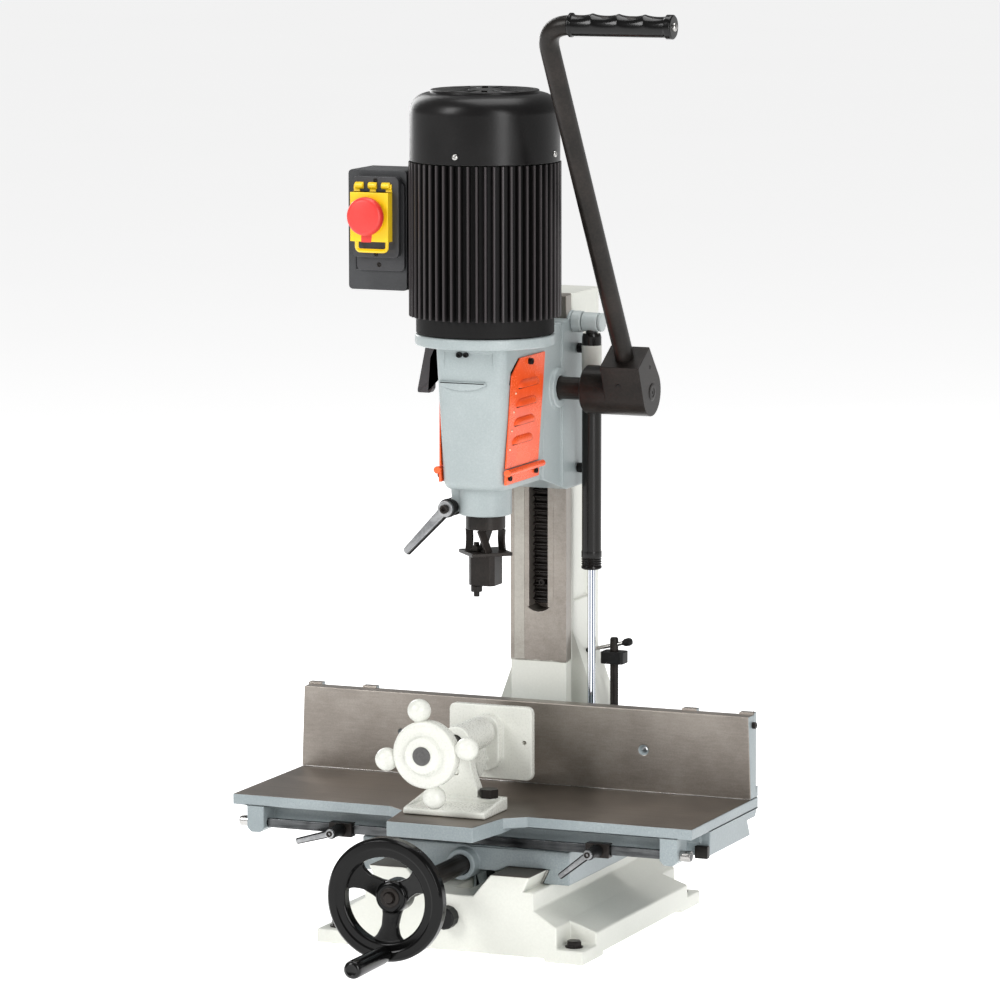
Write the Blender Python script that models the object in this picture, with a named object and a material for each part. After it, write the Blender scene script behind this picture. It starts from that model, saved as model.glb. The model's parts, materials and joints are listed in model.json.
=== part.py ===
"""Benchtop hollow-chisel mortiser, modelled piece by piece at its real size.

Metres, +Z up.  The origin is on the bench under the middle of the base.
+X is the feed lever's side, -Y is the operator's side.
"""
import math

import bmesh
import bpy
from mathutils import Matrix, Vector

# Shared fits
FIT = 0.0003            # gap between faces that rest on each other
RUN = 0.0004            # clearance round what slides or turns
OVERRUN = 0.004         # how far a cutter passes the face it cuts
SIDES_BIG = 28          # sides of a large round piece
SIDES = 20
SIDES_SMALL = 12
TURN = 2 * math.pi

# Base casting
BASE_HALF_WIDTH = 0.145
BASE_HALF_DEPTH = 0.1627
BASE_LIFT = 0.0035
FOOT_LENGTH = 0.055
FOOT_WIDTH = 0.042
PAD_HEIGHT = 0.014
POCKET_INNER = 0.1166
POCKET_LENGTH = 0.036
RIM_HEIGHT = 0.0265
SHOULDER_HALF = 0.113
SHOULDER_HEIGHT = 0.0373
UPPER_HALF = 0.0917
UPPER_FOOT = 0.0506
LEDGE_HEIGHT = 0.0689
WAY_NECK_HALF = 0.0802
WAY_TOP_HALF = 0.0877
WAY_HEIGHT = 0.0841
WAY_INNER_HALF = 0.0456
TROUGH_HALF = 0.0263
TROUGH_HEIGHT = 0.0611
WAY_REAR = 0.062
CAVITY_HALF = 0.082
CAVITY_HEIGHT = 0.050
CAVITY_WALL = 0.013
RIB_HALF = 0.020
CENTRE_PAD_HALF = 0.020
NUT_SLOT_HALF = 0.0085
NUT_SLOT_FRONT = -0.128
NUT_SLOT_REAR = -0.038
BOLT_INSET_X = 0.0165
BOLT_INSET_Y = 0.0175
BOLT_RADIUS = 0.004
BOLT_HEAD_RADIUS = 0.0075
BOLT_HEAD_HEIGHT = 0.0065

# Cross feed
CROSS_HEIGHT = 0.0383
CROSS_RADIUS = 0.006
CROSS_REAR = -0.030
CROSS_KNOB_RADIUS = 0.0115
CROSS_KNOB_LENGTH = 0.014
CROSS_COLLAR_RADIUS = 0.009
CROSS_COLLAR_LENGTH = 0.005

# Column
COLUMN_FOOT_HALF = 0.078
COLUMN_FOOT_FRONT = 0.074
COLUMN_FOOT_REAR = 0.160
COLUMN_FOOT_THICKNESS = 0.012
COLUMN_TOP = 0.640
MACHINED_LOW = 0.2607
WAY_FRONT = 0.0722
WAY_FRONT_HALF = 0.031
WAY_BACK_HALF = 0.026
WAY_THICKNESS = 0.026
CAST_SETBACK = 0.001
WEB_HALF = 0.027
WEB_REAR = 0.176
WEB_POCKET_DEPTH = 0.004
WEB_POCKET_FRONT = 0.103
WEB_POCKET_REAR = 0.150
WEB_POCKET_TOP = 0.320
GUSSET_TOP = 0.292
GUSSET_MID = 0.205
GUSSET_MID_HALF = 0.057
GUSSET_LOW = 0.150
GUSSET_LOW_HALF = 0.074
GUSSET_FRONT = 0.100
GUSSET_REAR = 0.152
RACK_SLOT_HALF = 0.0166
RACK_SLOT_FLOOR = 0.0971
RACK_SLOT_LOW = 0.312
RACK_LOW = 0.319
RACK_TOP = 0.634
RACK_HALF = 0.0095
MODULE = 0.00225
RACK_PITCH_Y = 0.084
PINION_TEETH = 45
TOOTH_SLACK_SHARE = 0.78
ADDENDUM_SHARE = 0.9
DEDENDUM_SHARE = 1.25
FLANK_SHARE = 0.36

# Head casting
MOTOR_Y = -0.0662
HEAD_LOW = 0.4595
HEAD_RING_LOW = 0.6037
HEAD_RING_TOP = 0.6147
HEAD_RING_RADIUS = 0.0703
HEAD_LOW_HALF = 0.0338
HEAD_TOP_HALF = 0.0385
HEAD_LOW_FRONT = -0.102
HEAD_TOP_FRONT = -0.110
HEAD_CORNER = 0.011
HEAD_REAR = 0.010
SLIDE_HALF = 0.038
SLIDE_FRONT = 0.046
SLIDE_REAR = 0.1027
SLIDE_LOW = 0.4430
SLIDE_TOP = 0.617
SLIDE_NECK_HALF = 0.036
SLOPE_REAR = 0.0585
SLOPE_FRONT = -0.0005
NECK_RADIUS = 0.0266
NECK_LOW = 0.4315
NECK_BORE = 0.0205
CHUCK_HALF = 0.0262
CHUCK_FRONT = -0.0935
CHUCK_REAR = -0.031
CHUCK_LOW = 0.466
CHUCK_CEILING = 0.598
WINDOW_FRONT = -0.089
WINDOW_REAR = -0.035
WINDOW_LOW = 0.492
WINDOW_TOP = 0.578
RING_BORE = 0.026
RELIEF_HALF = 0.026
RELIEF_LOW = 0.5715
RELIEF_TOP = 0.599
RELIEF_DEPTH = 0.0015
GIB_THICKNESS = 0.0022
CHAMBER_HALF = 0.0098
CHAMBER_GAP = 0.0022

# Feed lever
SHAFT_RISE = 0.0908
SHAFT_RADIUS = 0.0115
SHAFT_LEFT = -0.029
PINION_HALF = 0.008
BOSS_RADIUS = 0.0205
BOSS_FACE = 0.0412
HUB_LEFT = 0.0695
HUB_RADIUS = 0.0247
HUB_BLOCK_LEFT = 0.0985
HUB_BLOCK_RIGHT = 0.1405
HUB_BLOCK_DEPTH = 0.036
HUB_BLOCK_REACH = 0.0436
LEVER_LEAN = math.radians(31.6)
LEVER_LENGTH = 0.448
LEVER_RADIUS = 0.00975
LEVER_BEND = 0.020
GRIP_START = 0.146
GRIP_END = 0.254
GRIP_RADIUS = 0.0105
GRIP_SWELL = 0.0118
GRIP_RIDGES = 4

# Chuck doors
DOOR_THICKNESS = 0.0025
DOOR_HEIGHT = 0.113
DOOR_FRONT = -0.099
DOOR_REAR_LOW = -0.015
DOOR_REAR_TOP = -0.005
DOOR_CUT_DROP = 0.016
DOOR_CUT_FRONT = -0.091
DOOR_CUT_TOP = -0.070
HINGE_RISE = 0.019
HINGE_RADIUS = 0.0034
HINGE_PIN_RADIUS = 0.0016
LEAF_DROP = 0.012
BARREL_SPLIT_SHARE = 0.5
LOUVRE_COUNT = 4
LOUVRE_FRONT = -0.080
LOUVRE_REAR = -0.030
LOUVRE_RISE_FIRST = 0.027
LOUVRE_PITCH = 0.0185
LOUVRE_HEIGHT = 0.0052
LOUVRE_RISE = 0.0032
DOOR_SCREW_Y = -0.047
DOOR_SCREW_DROP = 0.0055
DOOR_SCREW_RADIUS = 0.0032
DOOR_SCREW_HEAD = 0.0026
DOOR_SCREW_DEPTH = 0.004

# Chisel holder
COLLAR_RADIUS = 0.020
COLLAR_TOP = 0.4312
COLLAR_LOW = 0.4172
PLATE_TOP = 0.3945
PLATE_LOW = 0.3910
PLATE_HALF = 0.0215
PLATE_TURN = math.radians(42)
BLOCK_HALF = 0.014
BLOCK_LOW = 0.3600
BLOCK_CHAMFER = 0.004
CHISEL_BORE = 0.008
STRUT_COUNT = 4
STRUT_WIDTH = 0.0065
STRUT_SPREAD = 0.0172
STRUT_TWIST = math.radians(28)
STUD_X = -0.007
STUD_DY = -0.0068
STUD_RADIUS = 0.003
STUD_NUT_RADIUS = 0.0056
STUD_TOP = 0.4035
STUD_NUT_LOW = 0.3535
STUD_TIP = 0.3485
CLAMP_X = -0.0325
CLAMP_RISE = 0.0070
CLAMP_RADIUS = 0.0036
CLAMP_FRONT = -0.0935
CLAMP_REAR = -0.022
CLAMP_HUB_RADIUS = 0.0088
CLAMP_HUB_BACK = -0.079
CLAMP_ARM = 0.066
CLAMP_ARM_LEAN = math.radians(44)
CLAMP_ARM_ROOT = 0.0052
CLAMP_ARM_TIP = 0.0040
LUG_FRONT = -0.0775
LUG_REAR = -0.034
LUG_RADIUS = 0.0082

# Motor
FIN_COUNT = 54
FIN_RADIUS = 0.0764
FIN_ROOT = 0.0700
FIN_LOW = 0.6327
FIN_TOP = 0.7868
FIN_WIDTH_SHARE = 0.42
BAND_RADIUS = 0.0692
STATOR_BORE = 0.036
MOTOR_CAP = 0.010
COVER_RADIUS = 0.0752
COVER_LOW = 0.7872
COVER_STRAIGHT = 0.835
COVER_TOP = 0.8555
COVER_WALL = 0.0022
COVER_SHOULDER = 0.0195
GRILLE_RADIUS = 0.0545
GRILLE_HEIGHT = 0.0030
GRILLE_SLOTS = 16
GRILLE_INNER = 0.017
GRILLE_OUTER = 0.049
GRILLE_SLOT_WIDTH = 0.0052
ROTOR_RADIUS = 0.0335
ROTOR_RISE = 0.0223
ROTOR_HEIGHT = 0.095
SPINDLE_RADIUS = 0.008
SPINDLE_DROP = 0.0477
SPINDLE_RISE = 0.019
FAN_RISE = 0.0088
FAN_THICKNESS = 0.004
FAN_BLADES = 8
FAN_RADIUS = 0.060
FAN_BLADE_HEIGHT = 0.016
FAN_BLADE_WIDTH = 0.003
FAN_HUB_RADIUS = 0.016
CHUCK_RADIUS = 0.0185
CHUCK_BOTTOM = 0.492
CHUCK_NOSE_RADIUS = 0.010

# Switch
SWITCH_FRONT = -0.095
SWITCH_REAR = -0.042
SWITCH_LEFT = -0.1367
SWITCH_RIGHT = -0.0725
SWITCH_LOW = 0.6565
SWITCH_TOP = 0.7770
SWITCH_WALL = 0.0030
SWITCH_CORNER = 0.004
PLATE_LEFT = -0.1305
PLATE_RIGHT = -0.0795
SWITCH_PLATE_LOW = 0.6745
SWITCH_PLATE_TOP = 0.7705
SWITCH_PLATE_THICKNESS = 0.003
FLAP_LEFT = -0.1255
FLAP_RIGHT = -0.0840
FLAP_LOW = 0.7065
FLAP_TOP = 0.7560
FLAP_DEPTH = 0.0175
FLAP_WALL = 0.0022
FLAP_PIVOT_DROP = 0.0045
FLAP_PIVOT_INSET = 0.0048
FLAP_BARREL_RADIUS = 0.0040
FLAP_BARREL_HALF = 0.0032
FLAP_EAR_OFFSET = 0.0088
FLAP_LOOP_DROP = 0.0095
FLAP_LOOP_WIDTH = 0.0060
FLAP_LOOP_HALF = 0.0135
STOP_RADIUS = 0.0182
STOP_X = -0.1055
STOP_HEIGHT = 0.7325
STOP_LENGTH = 0.0145
STOP_NECK_RADIUS = 0.0085
STOP_TRAVEL = 0.004
START_RADIUS = 0.0060
START_LENGTH = 0.006
START_X = -0.096
START_HEIGHT = 0.7165
GLAND_RADIUS = 0.0085
GLAND_LENGTH = 0.016
GLAND_BORE = 0.0042
GLAND_X = -0.105
GLAND_HEIGHT = 0.676

# Gas strut
GAS_X = 0.058
GAS_Y = 0.075
BARREL_RADIUS = 0.0101
BARREL_TOP = 0.6025
BARREL_LOW = 0.3595
ROD_RADIUS = 0.0040
ROD_TOP = 0.385
BARREL_BORE_TOP = 0.520
EYE_RADIUS = 0.0092
EYE_HEIGHT = 0.6140
EYE_HALF = 0.0085
GAS_PIN_RADIUS = 0.0038
GAS_PIN_END = 0.0705
SPACER_RADIUS = 0.0110
SPACER_RIGHT = 0.0485
LUG_TOP_RADIUS = 0.0115
LUG_LEFT = 0.0345
ROD_EYE_RADIUS = 0.0070
ROD_EYE_HEIGHT = 0.0945
ROD_EYE_HALF = 0.005
FOOT_EAR_HALF = 0.0125
FOOT_EAR_WIDTH = 0.004

# Depth stop
STOP_SCREW_X = 0.066
STOP_SCREW_Y = 0.118
STOP_SCREW_RADIUS = 0.0046
STOP_SCREW_TOP = 0.279
STOP_COLLAR_TOP = 0.2680
STOP_COLLAR_LOW = 0.2555
STOP_COLLAR_HALF = 0.0125
STOP_COLLAR_DEPTH = 0.0095
TOMMY_HEIGHT = 0.2745
TOMMY_RADIUS = 0.0015
TOMMY_LEFT = 0.031
TOMMY_RIGHT = 0.0185
TOMMY_TILT = math.radians(14)
TOMMY_KNOB_RADIUS = 0.0035
TOMMY_KNOB_LENGTH = 0.009

# Saddle
SADDLE_HALF = 0.113
SADDLE_FRONT = -0.120
SADDLE_REAR = 0.050
SADDLE_TOP = 0.104
SADDLE_LOW = 0.0695
SADDLE_GIB = 0.003
TABLE_WAY_FRONT = -0.084
TABLE_WAY_REAR = -0.011
TABLE_WAY_DRAFT = 0.006
TABLE_WAY_TOP = 0.1165
SLEEVE_RADIUS = 0.010
SLEEVE_HOLE_WALL = 0.006
WHEEL_HEIGHT = 0.085
BOSS_FRONT = -0.133
NUT_HALF = 0.0075
NUT_FRONT = -0.082
NUT_REAR = -0.060
NUT_LOW = 0.0300

# Handwheel
TABLE_MODULE = 0.002
TABLE_PINION_TEETH = 14
TABLE_PINION_Y = -0.052
TABLE_PINION_HALF = 0.009
WHEEL_RIM_Y = -0.3135
WHEEL_RIM_MAJOR = 0.0535
WHEEL_RIM_MINOR = 0.0080
WHEEL_HUB_RADIUS = 0.0165
WHEEL_HUB_FRONT = -0.305
WHEEL_HUB_REAR = -0.281
WHEEL_SPOKES = 3
SPOKE_WIDTH = 0.0105
SPOKE_THICKNESS = 0.0065
WHEEL_GRIP_RADIUS = 0.0093
WHEEL_GRIP_WAIST = 0.0072
WHEEL_GRIP_LENGTH = 0.076
WHEEL_GRIP_GAP = 0.0004
WHEEL_PIN_RADIUS = 0.0032

# Table
TABLE_HALF = 0.250
TABLE_TOP = 0.1403
TABLE_THICKNESS = 0.011
TABLE_FRONT = -0.137
TABLE_REAR = 0.0513
TONGUE_FRONT = -0.210
TONGUE_FRONT_HALF = 0.0465
TONGUE_ROOT_HALF = 0.055
TONGUE_FLARE_HALF = 0.075
TONGUE_ROOT = -0.153
TONGUE_THICKNESS = 0.0155
RAIL_HALF = 0.240
RAIL_LOW = 0.1055
RAIL_FRONT = -0.110
RAIL_REAR = 0.018
TABLE_GIB = 0.003
TABLE_RACK_HALF = 0.128
TABLE_RACK_WIDTH = 0.0105
CHEEK_INNER = 0.216
CHEEK_LOW = 0.1042
CHEEK_NOTCH = 0.1208
CHEEK_FRONT = -0.0870
CHEEK_REAR = 0.0300
CHEEK_NOTCH_FRONT = 0.0215
CHEEK_TAIL = 0.0440
STOP_LUG_HALF = 0.0094
STOP_LUG_X = 0.2250
STOP_LUG_LOW = 0.1018
STOP_LUG_CORNER = 0.0045
BAR_TOP = 0.1157
BAR_LOW = 0.1065
BAR_BACK = -0.1235
BAR_FRONT = -0.1290
END_BOLT_RADIUS = 0.0054
END_BOLT_LENGTH = 0.0110
STOP_BLOCK_X = {"left": -0.132, "right": 0.148}
STOP_BLOCK_HALF = 0.0125
STOP_BLOCK_MARGIN = 0.0045
STOP_BLOCK_FLOOR = 0.0028
STOP_LEVER_HUB_RADIUS = 0.0055
STOP_LEVER_LENGTH = 0.0385
STOP_LEVER_ROOT = 0.0042
STOP_LEVER_TIP = 0.0032
STOP_LEVER_DEPTH = 0.0235
STOP_STUD_RADIUS = 0.0022
STOP_LEVER_DROPS = {"left": math.radians(16), "right": math.radians(38.5)}

# Fence
FENCE_FRONT = 0.0304
FENCE_REAR = 0.0465
FENCE_TOP = 0.2251
FENCE_DRAFT = 0.0032
FENCE_RIB_REAR = 0.0540
FENCE_RIB_HALF = 0.009
FENCE_RIB_OUTER = 0.2400
FENCE_RIB_INNER = 0.1780
FENCE_RIB_RISE = 0.002
FENCE_HOLE_X = 0.133
FENCE_HOLE_LEFT_X = -0.1365
FENCE_HOLE_HEIGHT = 0.1835
FENCE_HOLE_RADIUS = 0.0034
FENCE_SINK_RADIUS = 0.0056
FENCE_SINK_DEPTH = 0.003

# Vice
VICE_LEFT = -0.046
VICE_RIGHT = 0.0425
VICE_FRONT = -0.171
VICE_REAR = -0.110
VICE_LIP = 0.1480
FLARE_MARGIN = 0.004
VICE_FOOT_TOP = 0.1560
VICE_STEP = -0.128
VICE_WEB_FRONT = -0.126
VICE_WEB_BACK = -0.112
VICE_SCREW_X = -0.008
VICE_SCREW_HEIGHT = 0.2080
VICE_WEB_HALF_LOW = 0.030
VICE_NUT_RADIUS = 0.0160
VICE_NUT_REAR = -0.061
VICE_SCREW_RADIUS = 0.0070
VICE_PIN_DROP = 0.030
VICE_PIN_RADIUS = 0.0034
VICE_PIN_FRONT = -0.1235
JAW_FRONT = -0.038
JAW_THICKNESS = 0.008
JAW_HALF = 0.0455
JAW_X = -0.007
JAW_LOW = 0.1560
JAW_TOP = 0.2315
JAW_CORNER = 0.006
JAW_BOSS_FRONT = -0.050
JAW_BOSS_RADIUS = 0.0150
JAW_HOLE_RADIUS = 0.0023
JAW_HOLE_X = 0.030
JAW_HOLE_HEIGHT = 0.1950
VICE_SCREW_SEAT = 0.006
BALL_PLANE = -0.197
BALL_ORBIT = 0.044
BALL_RADIUS = 0.0117
BALL_COUNT = 4
BALL_TURN = math.radians(10.5)
DISC_RADIUS = 0.0338
DISC_STEP_RADIUS = 0.0185
DISC_BACK = -0.190
DISC_FRONT = -0.205
DISC_STEP_FRONT = -0.210
SCREW_END = -0.211
SCREW_END_RADIUS = 0.0092
HOLD_BOLT_X = 0.0265
HOLD_BOLT_Y = -0.1205
HOLD_BOLT_RADIUS = 0.0045
HOLD_BOLT_HEAD = 0.0098
HOLD_BOLT_HEIGHT = 0.0085

# Head lock lever and gib knobs
LOCK_Y = 0.020
LOCK_DROP = 0.0117
LOCK_HUB_RADIUS = 0.008
LOCK_HUB_END = -0.054
LOCK_STUD_RADIUS = 0.003
LOCK_STUD_DEPTH = 0.012
LOCK_TIP_X = -0.104
LOCK_TIP_HEIGHT = 0.5475
LOCK_ROOT_HALF = 0.005
LOCK_TIP_HALF = 0.0085
LOCK_THICKNESS = 0.010
GIB_KNOB_Y = 0.087
GIB_KNOB_DROP = 0.0315
GIB_KNOB_RISE = 0.019
GIB_KNOB_RADIUS = 0.0052
GIB_KNOB_LENGTH = 0.011
GIB_STUD_RADIUS = 0.0020

# Values that follow from those above
SHAFT_Y = RACK_PITCH_Y - MODULE * PINION_TEETH / 2
WHEEL_PINION_RADIUS = TABLE_MODULE * TABLE_PINION_TEETH / 2
TABLE_RACK_PITCH = WHEEL_HEIGHT + WHEEL_PINION_RADIUS
TABLE_UNDERSIDE = TABLE_TOP - TABLE_THICKNESS
LEVER_AXIS = Vector((0, -math.sin(LEVER_LEAN), math.cos(LEVER_LEAN)))
SHAFT_HEIGHT = HEAD_LOW + SHAFT_RISE
FAN_HEIGHT = COVER_LOW + FAN_RISE
ROTOR_LOW = FIN_LOW + ROTOR_RISE
ROTOR_TOP = ROTOR_LOW + ROTOR_HEIGHT
SPINDLE_LOW = HEAD_RING_LOW - SPINDLE_DROP
SPINDLE_TOP = FAN_HEIGHT + SPINDLE_RISE
LOCK_HEIGHT = HEAD_RING_LOW - LOCK_DROP
CLAMP_HEIGHT = NECK_LOW + CLAMP_RISE
HINGE_HEIGHT = HEAD_LOW + HINGE_RISE
DOOR_TOP = HINGE_HEIGHT + DOOR_HEIGHT
DOOR_CUT_HEIGHT = DOOR_TOP - DOOR_CUT_DROP
DOOR_SCREW_HEIGHT = DOOR_TOP - DOOR_SCREW_DROP
LEAF_LOW = HINGE_HEIGHT - LEAF_DROP
LOUVRE_LOW = HINGE_HEIGHT + LOUVRE_RISE_FIRST
GIB_KNOB_HEIGHTS = (SLIDE_TOP - GIB_KNOB_DROP, SLIDE_LOW + GIB_KNOB_RISE)
HEAD_WALL_SLOPE = (HEAD_TOP_HALF - HEAD_LOW_HALF) / (HEAD_RING_LOW - HEAD_LOW)

COLOURS = {
    "cast_white": ((0.80, 0.81, 0.78), 0.0, 0.35),
    "hammered_grey": ((0.36, 0.42, 0.43), 0.2, 0.45),
    "machined_iron": ((0.42, 0.38, 0.35), 0.8, 0.38),
    "black_paint": ((0.03, 0.03, 0.03), 0.1, 0.45),
    "black_oxide": ((0.05, 0.045, 0.04), 0.6, 0.40),
    "orange_paint": ((0.85, 0.13, 0.03), 0.0, 0.40),
    "yellow_plastic": ((0.95, 0.68, 0.02), 0.0, 0.40),
    "red_plastic": ((0.80, 0.04, 0.03), 0.0, 0.35),
    "green_plastic": ((0.03, 0.40, 0.10), 0.0, 0.40),
    "black_plastic": ((0.02, 0.02, 0.02), 0.0, 0.50),
    "bright_steel": ((0.62, 0.62, 0.63), 1.0, 0.25),
    "chrome": ((0.80, 0.80, 0.82), 1.0, 0.08),
    "satin_zinc": ((0.60, 0.60, 0.61), 0.9, 0.35),
}


def clear_scene():
    for item in list(bpy.data.objects):
        bpy.data.objects.remove(item, do_unlink=True)


def to_mesh(bm):
    bmesh.ops.recalc_face_normals(bm, faces=bm.faces)
    mesh = bpy.data.meshes.new("shape")
    bm.to_mesh(mesh)
    bm.free()
    return mesh


def loft(sections):
    """Closed solid through rings of points that all hold the same number of points."""
    bm = bmesh.new()
    rings = [[bm.verts.new(p) for p in ring] for ring in sections]
    count = len(rings[0])
    for low, high in zip(rings, rings[1:]):
        for i in range(count):
            j = (i + 1) % count
            bm.faces.new((low[i], low[j], high[j], high[i]))
    bm.faces.new(rings[0])
    bm.faces.new(rings[-1])
    return to_mesh(bm)


def prism(outline, axis, start, end):
    """Outline drawn square to an axis, pushed from start to end along it."""
    place = {
        "X": lambda u, v, t: (t, u, v),
        "Y": lambda u, v, t: (u, t, v),
        "Z": lambda u, v, t: (u, v, t),
    }[axis]
    return loft([[place(u, v, t) for u, v in outline] for t in (start, end)])


def box(x0, x1, y0, y1, z0, z1):
    return prism([(x0, y0), (x1, y0), (x1, y1), (x0, y1)], "Z", z0, z1)


def turned(profile, axis, centre, sides=SIDES, turn=0.0):
    """Solid turned about an axis from (radius, place along it) pairs; ends are flat or points."""
    cx, cy, cz = centre
    place = {
        "X": lambda r, t, a: (cx + t, cy + r * math.cos(a), cz + r * math.sin(a)),
        "Y": lambda r, t, a: (cx + r * math.cos(a), cy + t, cz + r * math.sin(a)),
        "Z": lambda r, t, a: (cx + r * math.cos(a), cy + r * math.sin(a), cz + t),
    }[axis]
    rings = []
    for radius, along in profile:
        rings.append([place(radius, along, turn + TURN * i / sides) for i in range(sides)])
    return loft(rings)


def cylinder(axis, centre, radius, start, end, sides=SIDES, turn=0.0):
    return turned([(radius, start), (radius, end)], axis, centre, sides, turn)


def ball(centre, radius, sides=SIDES_SMALL, rings=8):
    profile = []
    for i in range(1, rings):
        angle = math.pi * i / rings
        profile.append((radius * math.sin(angle), -radius * math.cos(angle)))
    return turned(profile, "Z", centre, sides)


def rod(start, end, radius, sides=SIDES_SMALL, end_radius=None):
    """Round bar between two points, tapered if it has an end radius."""
    start = Vector(start)
    run = Vector(end) - start
    frame = run.to_track_quat("Z", "Y").to_matrix()
    rings = []
    for share, r in ((0.0, radius), (1.0, end_radius or radius)):
        ring = []
        for i in range(sides):
            angle = TURN * i / sides
            offset = frame @ Vector((r * math.cos(angle), r * math.sin(angle), 0))
            ring.append(start + run * share + offset)
        rings.append(ring)
    return loft(rings)


def rounded(x0, x1, y0, y1, radius, steps=3):
    """Rectangle outline with rounded corners, anticlockwise."""
    corners = ((x1 - radius, y0 + radius, -0.25), (x1 - radius, y1 - radius, 0.0),
               (x0 + radius, y1 - radius, 0.25), (x0 + radius, y0 + radius, 0.5))
    points = []
    for cx, cy, first in corners:
        for i in range(steps + 1):
            angle = TURN * (first + 0.25 * i / steps)
            points.append((cx + radius * math.cos(angle), cy + radius * math.sin(angle)))
    return points


def boolean(mesh, others, operation):
    """Mesh joined with, or cut by, every other mesh."""
    scene = bpy.context.scene
    work = bpy.data.objects.new("work", mesh)
    scene.collection.objects.link(work)
    tools = []
    for other in others:
        tool = bpy.data.objects.new("tool", other)
        scene.collection.objects.link(tool)
        step = work.modifiers.new("step", "BOOLEAN")
        step.operation = operation
        step.solver = "EXACT"
        step.object = tool
        tools.append(tool)
    graph = bpy.context.evaluated_depsgraph_get()
    result = bpy.data.meshes.new_from_object(work.evaluated_get(graph))
    for item in [work] + tools:
        bpy.data.objects.remove(item, do_unlink=True)
    return result


def joined(mesh, *others):
    return boolean(mesh, others, "UNION")


def cut(mesh, *others):
    return boolean(mesh, others, "DIFFERENCE")


def moved(mesh, matrix):
    mesh.transform(matrix)
    return mesh


def about(centre, axis, angle):
    """Turn about an axis through a point."""
    place = Matrix.Translation(Vector(centre))
    return place @ Matrix.Rotation(angle, 4, axis) @ place.inverted()


def finish(name, colour):
    """Material of one sub-part."""
    rgb, metallic, roughness = COLOURS[colour]
    material = bpy.data.materials.new(name + "_finish")
    material.use_nodes = True
    shader = material.node_tree.nodes["Principled BSDF"]
    shader.inputs["Base Color"].default_value = (*rgb, 1.0)
    shader.inputs["Metallic"].default_value = metallic
    shader.inputs["Roughness"].default_value = roughness
    material.diffuse_color = (*rgb, 1.0)
    return material


def add(name, mesh, colour, carrier, origin=None):
    """Object of one sub-part, hung on its carrier, with its origin on its own joint axis."""
    home = Vector(origin) if origin else carrier_home(carrier)
    mesh.transform(Matrix.Translation(-home))
    mesh.name = name
    mesh.materials.clear()
    mesh.materials.append(finish(name, colour))
    mesh.shade_smooth()
    mesh.set_sharp_from_angle(angle=math.radians(32))
    item = bpy.data.objects.new(name, mesh)
    bpy.context.scene.collection.objects.link(item)
    item.parent = carrier
    item.location = home - carrier_home(carrier)
    return item


def carrier_home(carrier):
    """World place of a carrier, which is only ever moved and not turned."""
    home = Vector((0, 0, 0))
    while carrier:
        home += carrier.location
        carrier = carrier.parent
    return home


def empty(name, carrier, home):
    """Empty that carries the pieces which move together."""
    item = bpy.data.objects.new(name, None)
    bpy.context.scene.collection.objects.link(item)
    item.parent = carrier
    item.location = Vector(home) - carrier_home(carrier)
    return item


def rack_outline(first, last, pitch_line, back, module, tooth_at):
    """Rack outline as (along, across); teeth stand from the pitch line away from the back."""
    side = 1 if pitch_line > back else -1
    pitch = math.pi * module
    half = pitch / 4 * TOOTH_SLACK_SHARE
    lean = module * FLANK_SHARE
    tip = pitch_line + side * module * ADDENDUM_SHARE
    root = pitch_line - side * module * DEDENDUM_SHARE
    points = [(last, back), (first, back), (first, root)]
    count = math.ceil((first - tooth_at) / pitch + 0.5)
    centre = tooth_at + count * pitch
    while centre + pitch / 2 < last:
        points.append((centre - half - lean, root))
        points.append((centre - half + lean, tip))
        points.append((centre + half - lean, tip))
        points.append((centre + half + lean, root))
        centre += pitch
    points.append((last, root))
    return points


def gear_outline(cx, cy, teeth, module, gap_angle):
    """Pinion outline with a tooth gap at the given angle."""
    radius = module * teeth / 2
    tip = radius + module * ADDENDUM_SHARE
    root = radius - module * DEDENDUM_SHARE
    half = TURN / teeth / 4 * TOOTH_SLACK_SHARE
    lean = module * FLANK_SHARE / radius
    points = []
    for i in range(teeth):
        centre = gap_angle + TURN * (i + 0.5) / teeth
        for angle, r in ((-half - lean, root), (-half + lean, tip), (half - lean, tip), (half + lean, root)):
            points.append((cx + r * math.cos(centre + angle), cy + r * math.sin(centre + angle)))
    return points


def mirrored(points):
    """Outline of one side completed by its mirror image across the first coordinate's zero."""
    return points + [(-u, v) for u, v in reversed(points)]


def way_outline(gap, grow_right=0.0):
    """Section of the column's dovetail way, opened up all round by a gap."""
    back = WAY_FRONT + WAY_THICKNESS
    return [
        (-WAY_FRONT_HALF - gap, WAY_FRONT - gap),
        (WAY_FRONT_HALF + gap + grow_right, WAY_FRONT - gap),
        (WAY_BACK_HALF + gap + grow_right, back),
        (-WAY_BACK_HALF - gap, back),
    ]


def head_wall(height):
    """Half-width of the head's drafted front body at a height."""
    return HEAD_LOW_HALF + HEAD_WALL_SLOPE * (height - HEAD_LOW)


def base_flank(height):
    """Half-width of the base's dovetail at a height."""
    share = (height - LEDGE_HEIGHT) / (WAY_HEIGHT - LEDGE_HEIGHT)
    return WAY_NECK_HALF + (WAY_TOP_HALF - WAY_NECK_HALF) * share


def table_flank(height):
    """How far the saddle's top dovetail draws in at a height, measured from its top edge."""
    return TABLE_WAY_DRAFT * (TABLE_WAY_TOP - height) / (TABLE_WAY_TOP - SADDLE_TOP)


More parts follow.
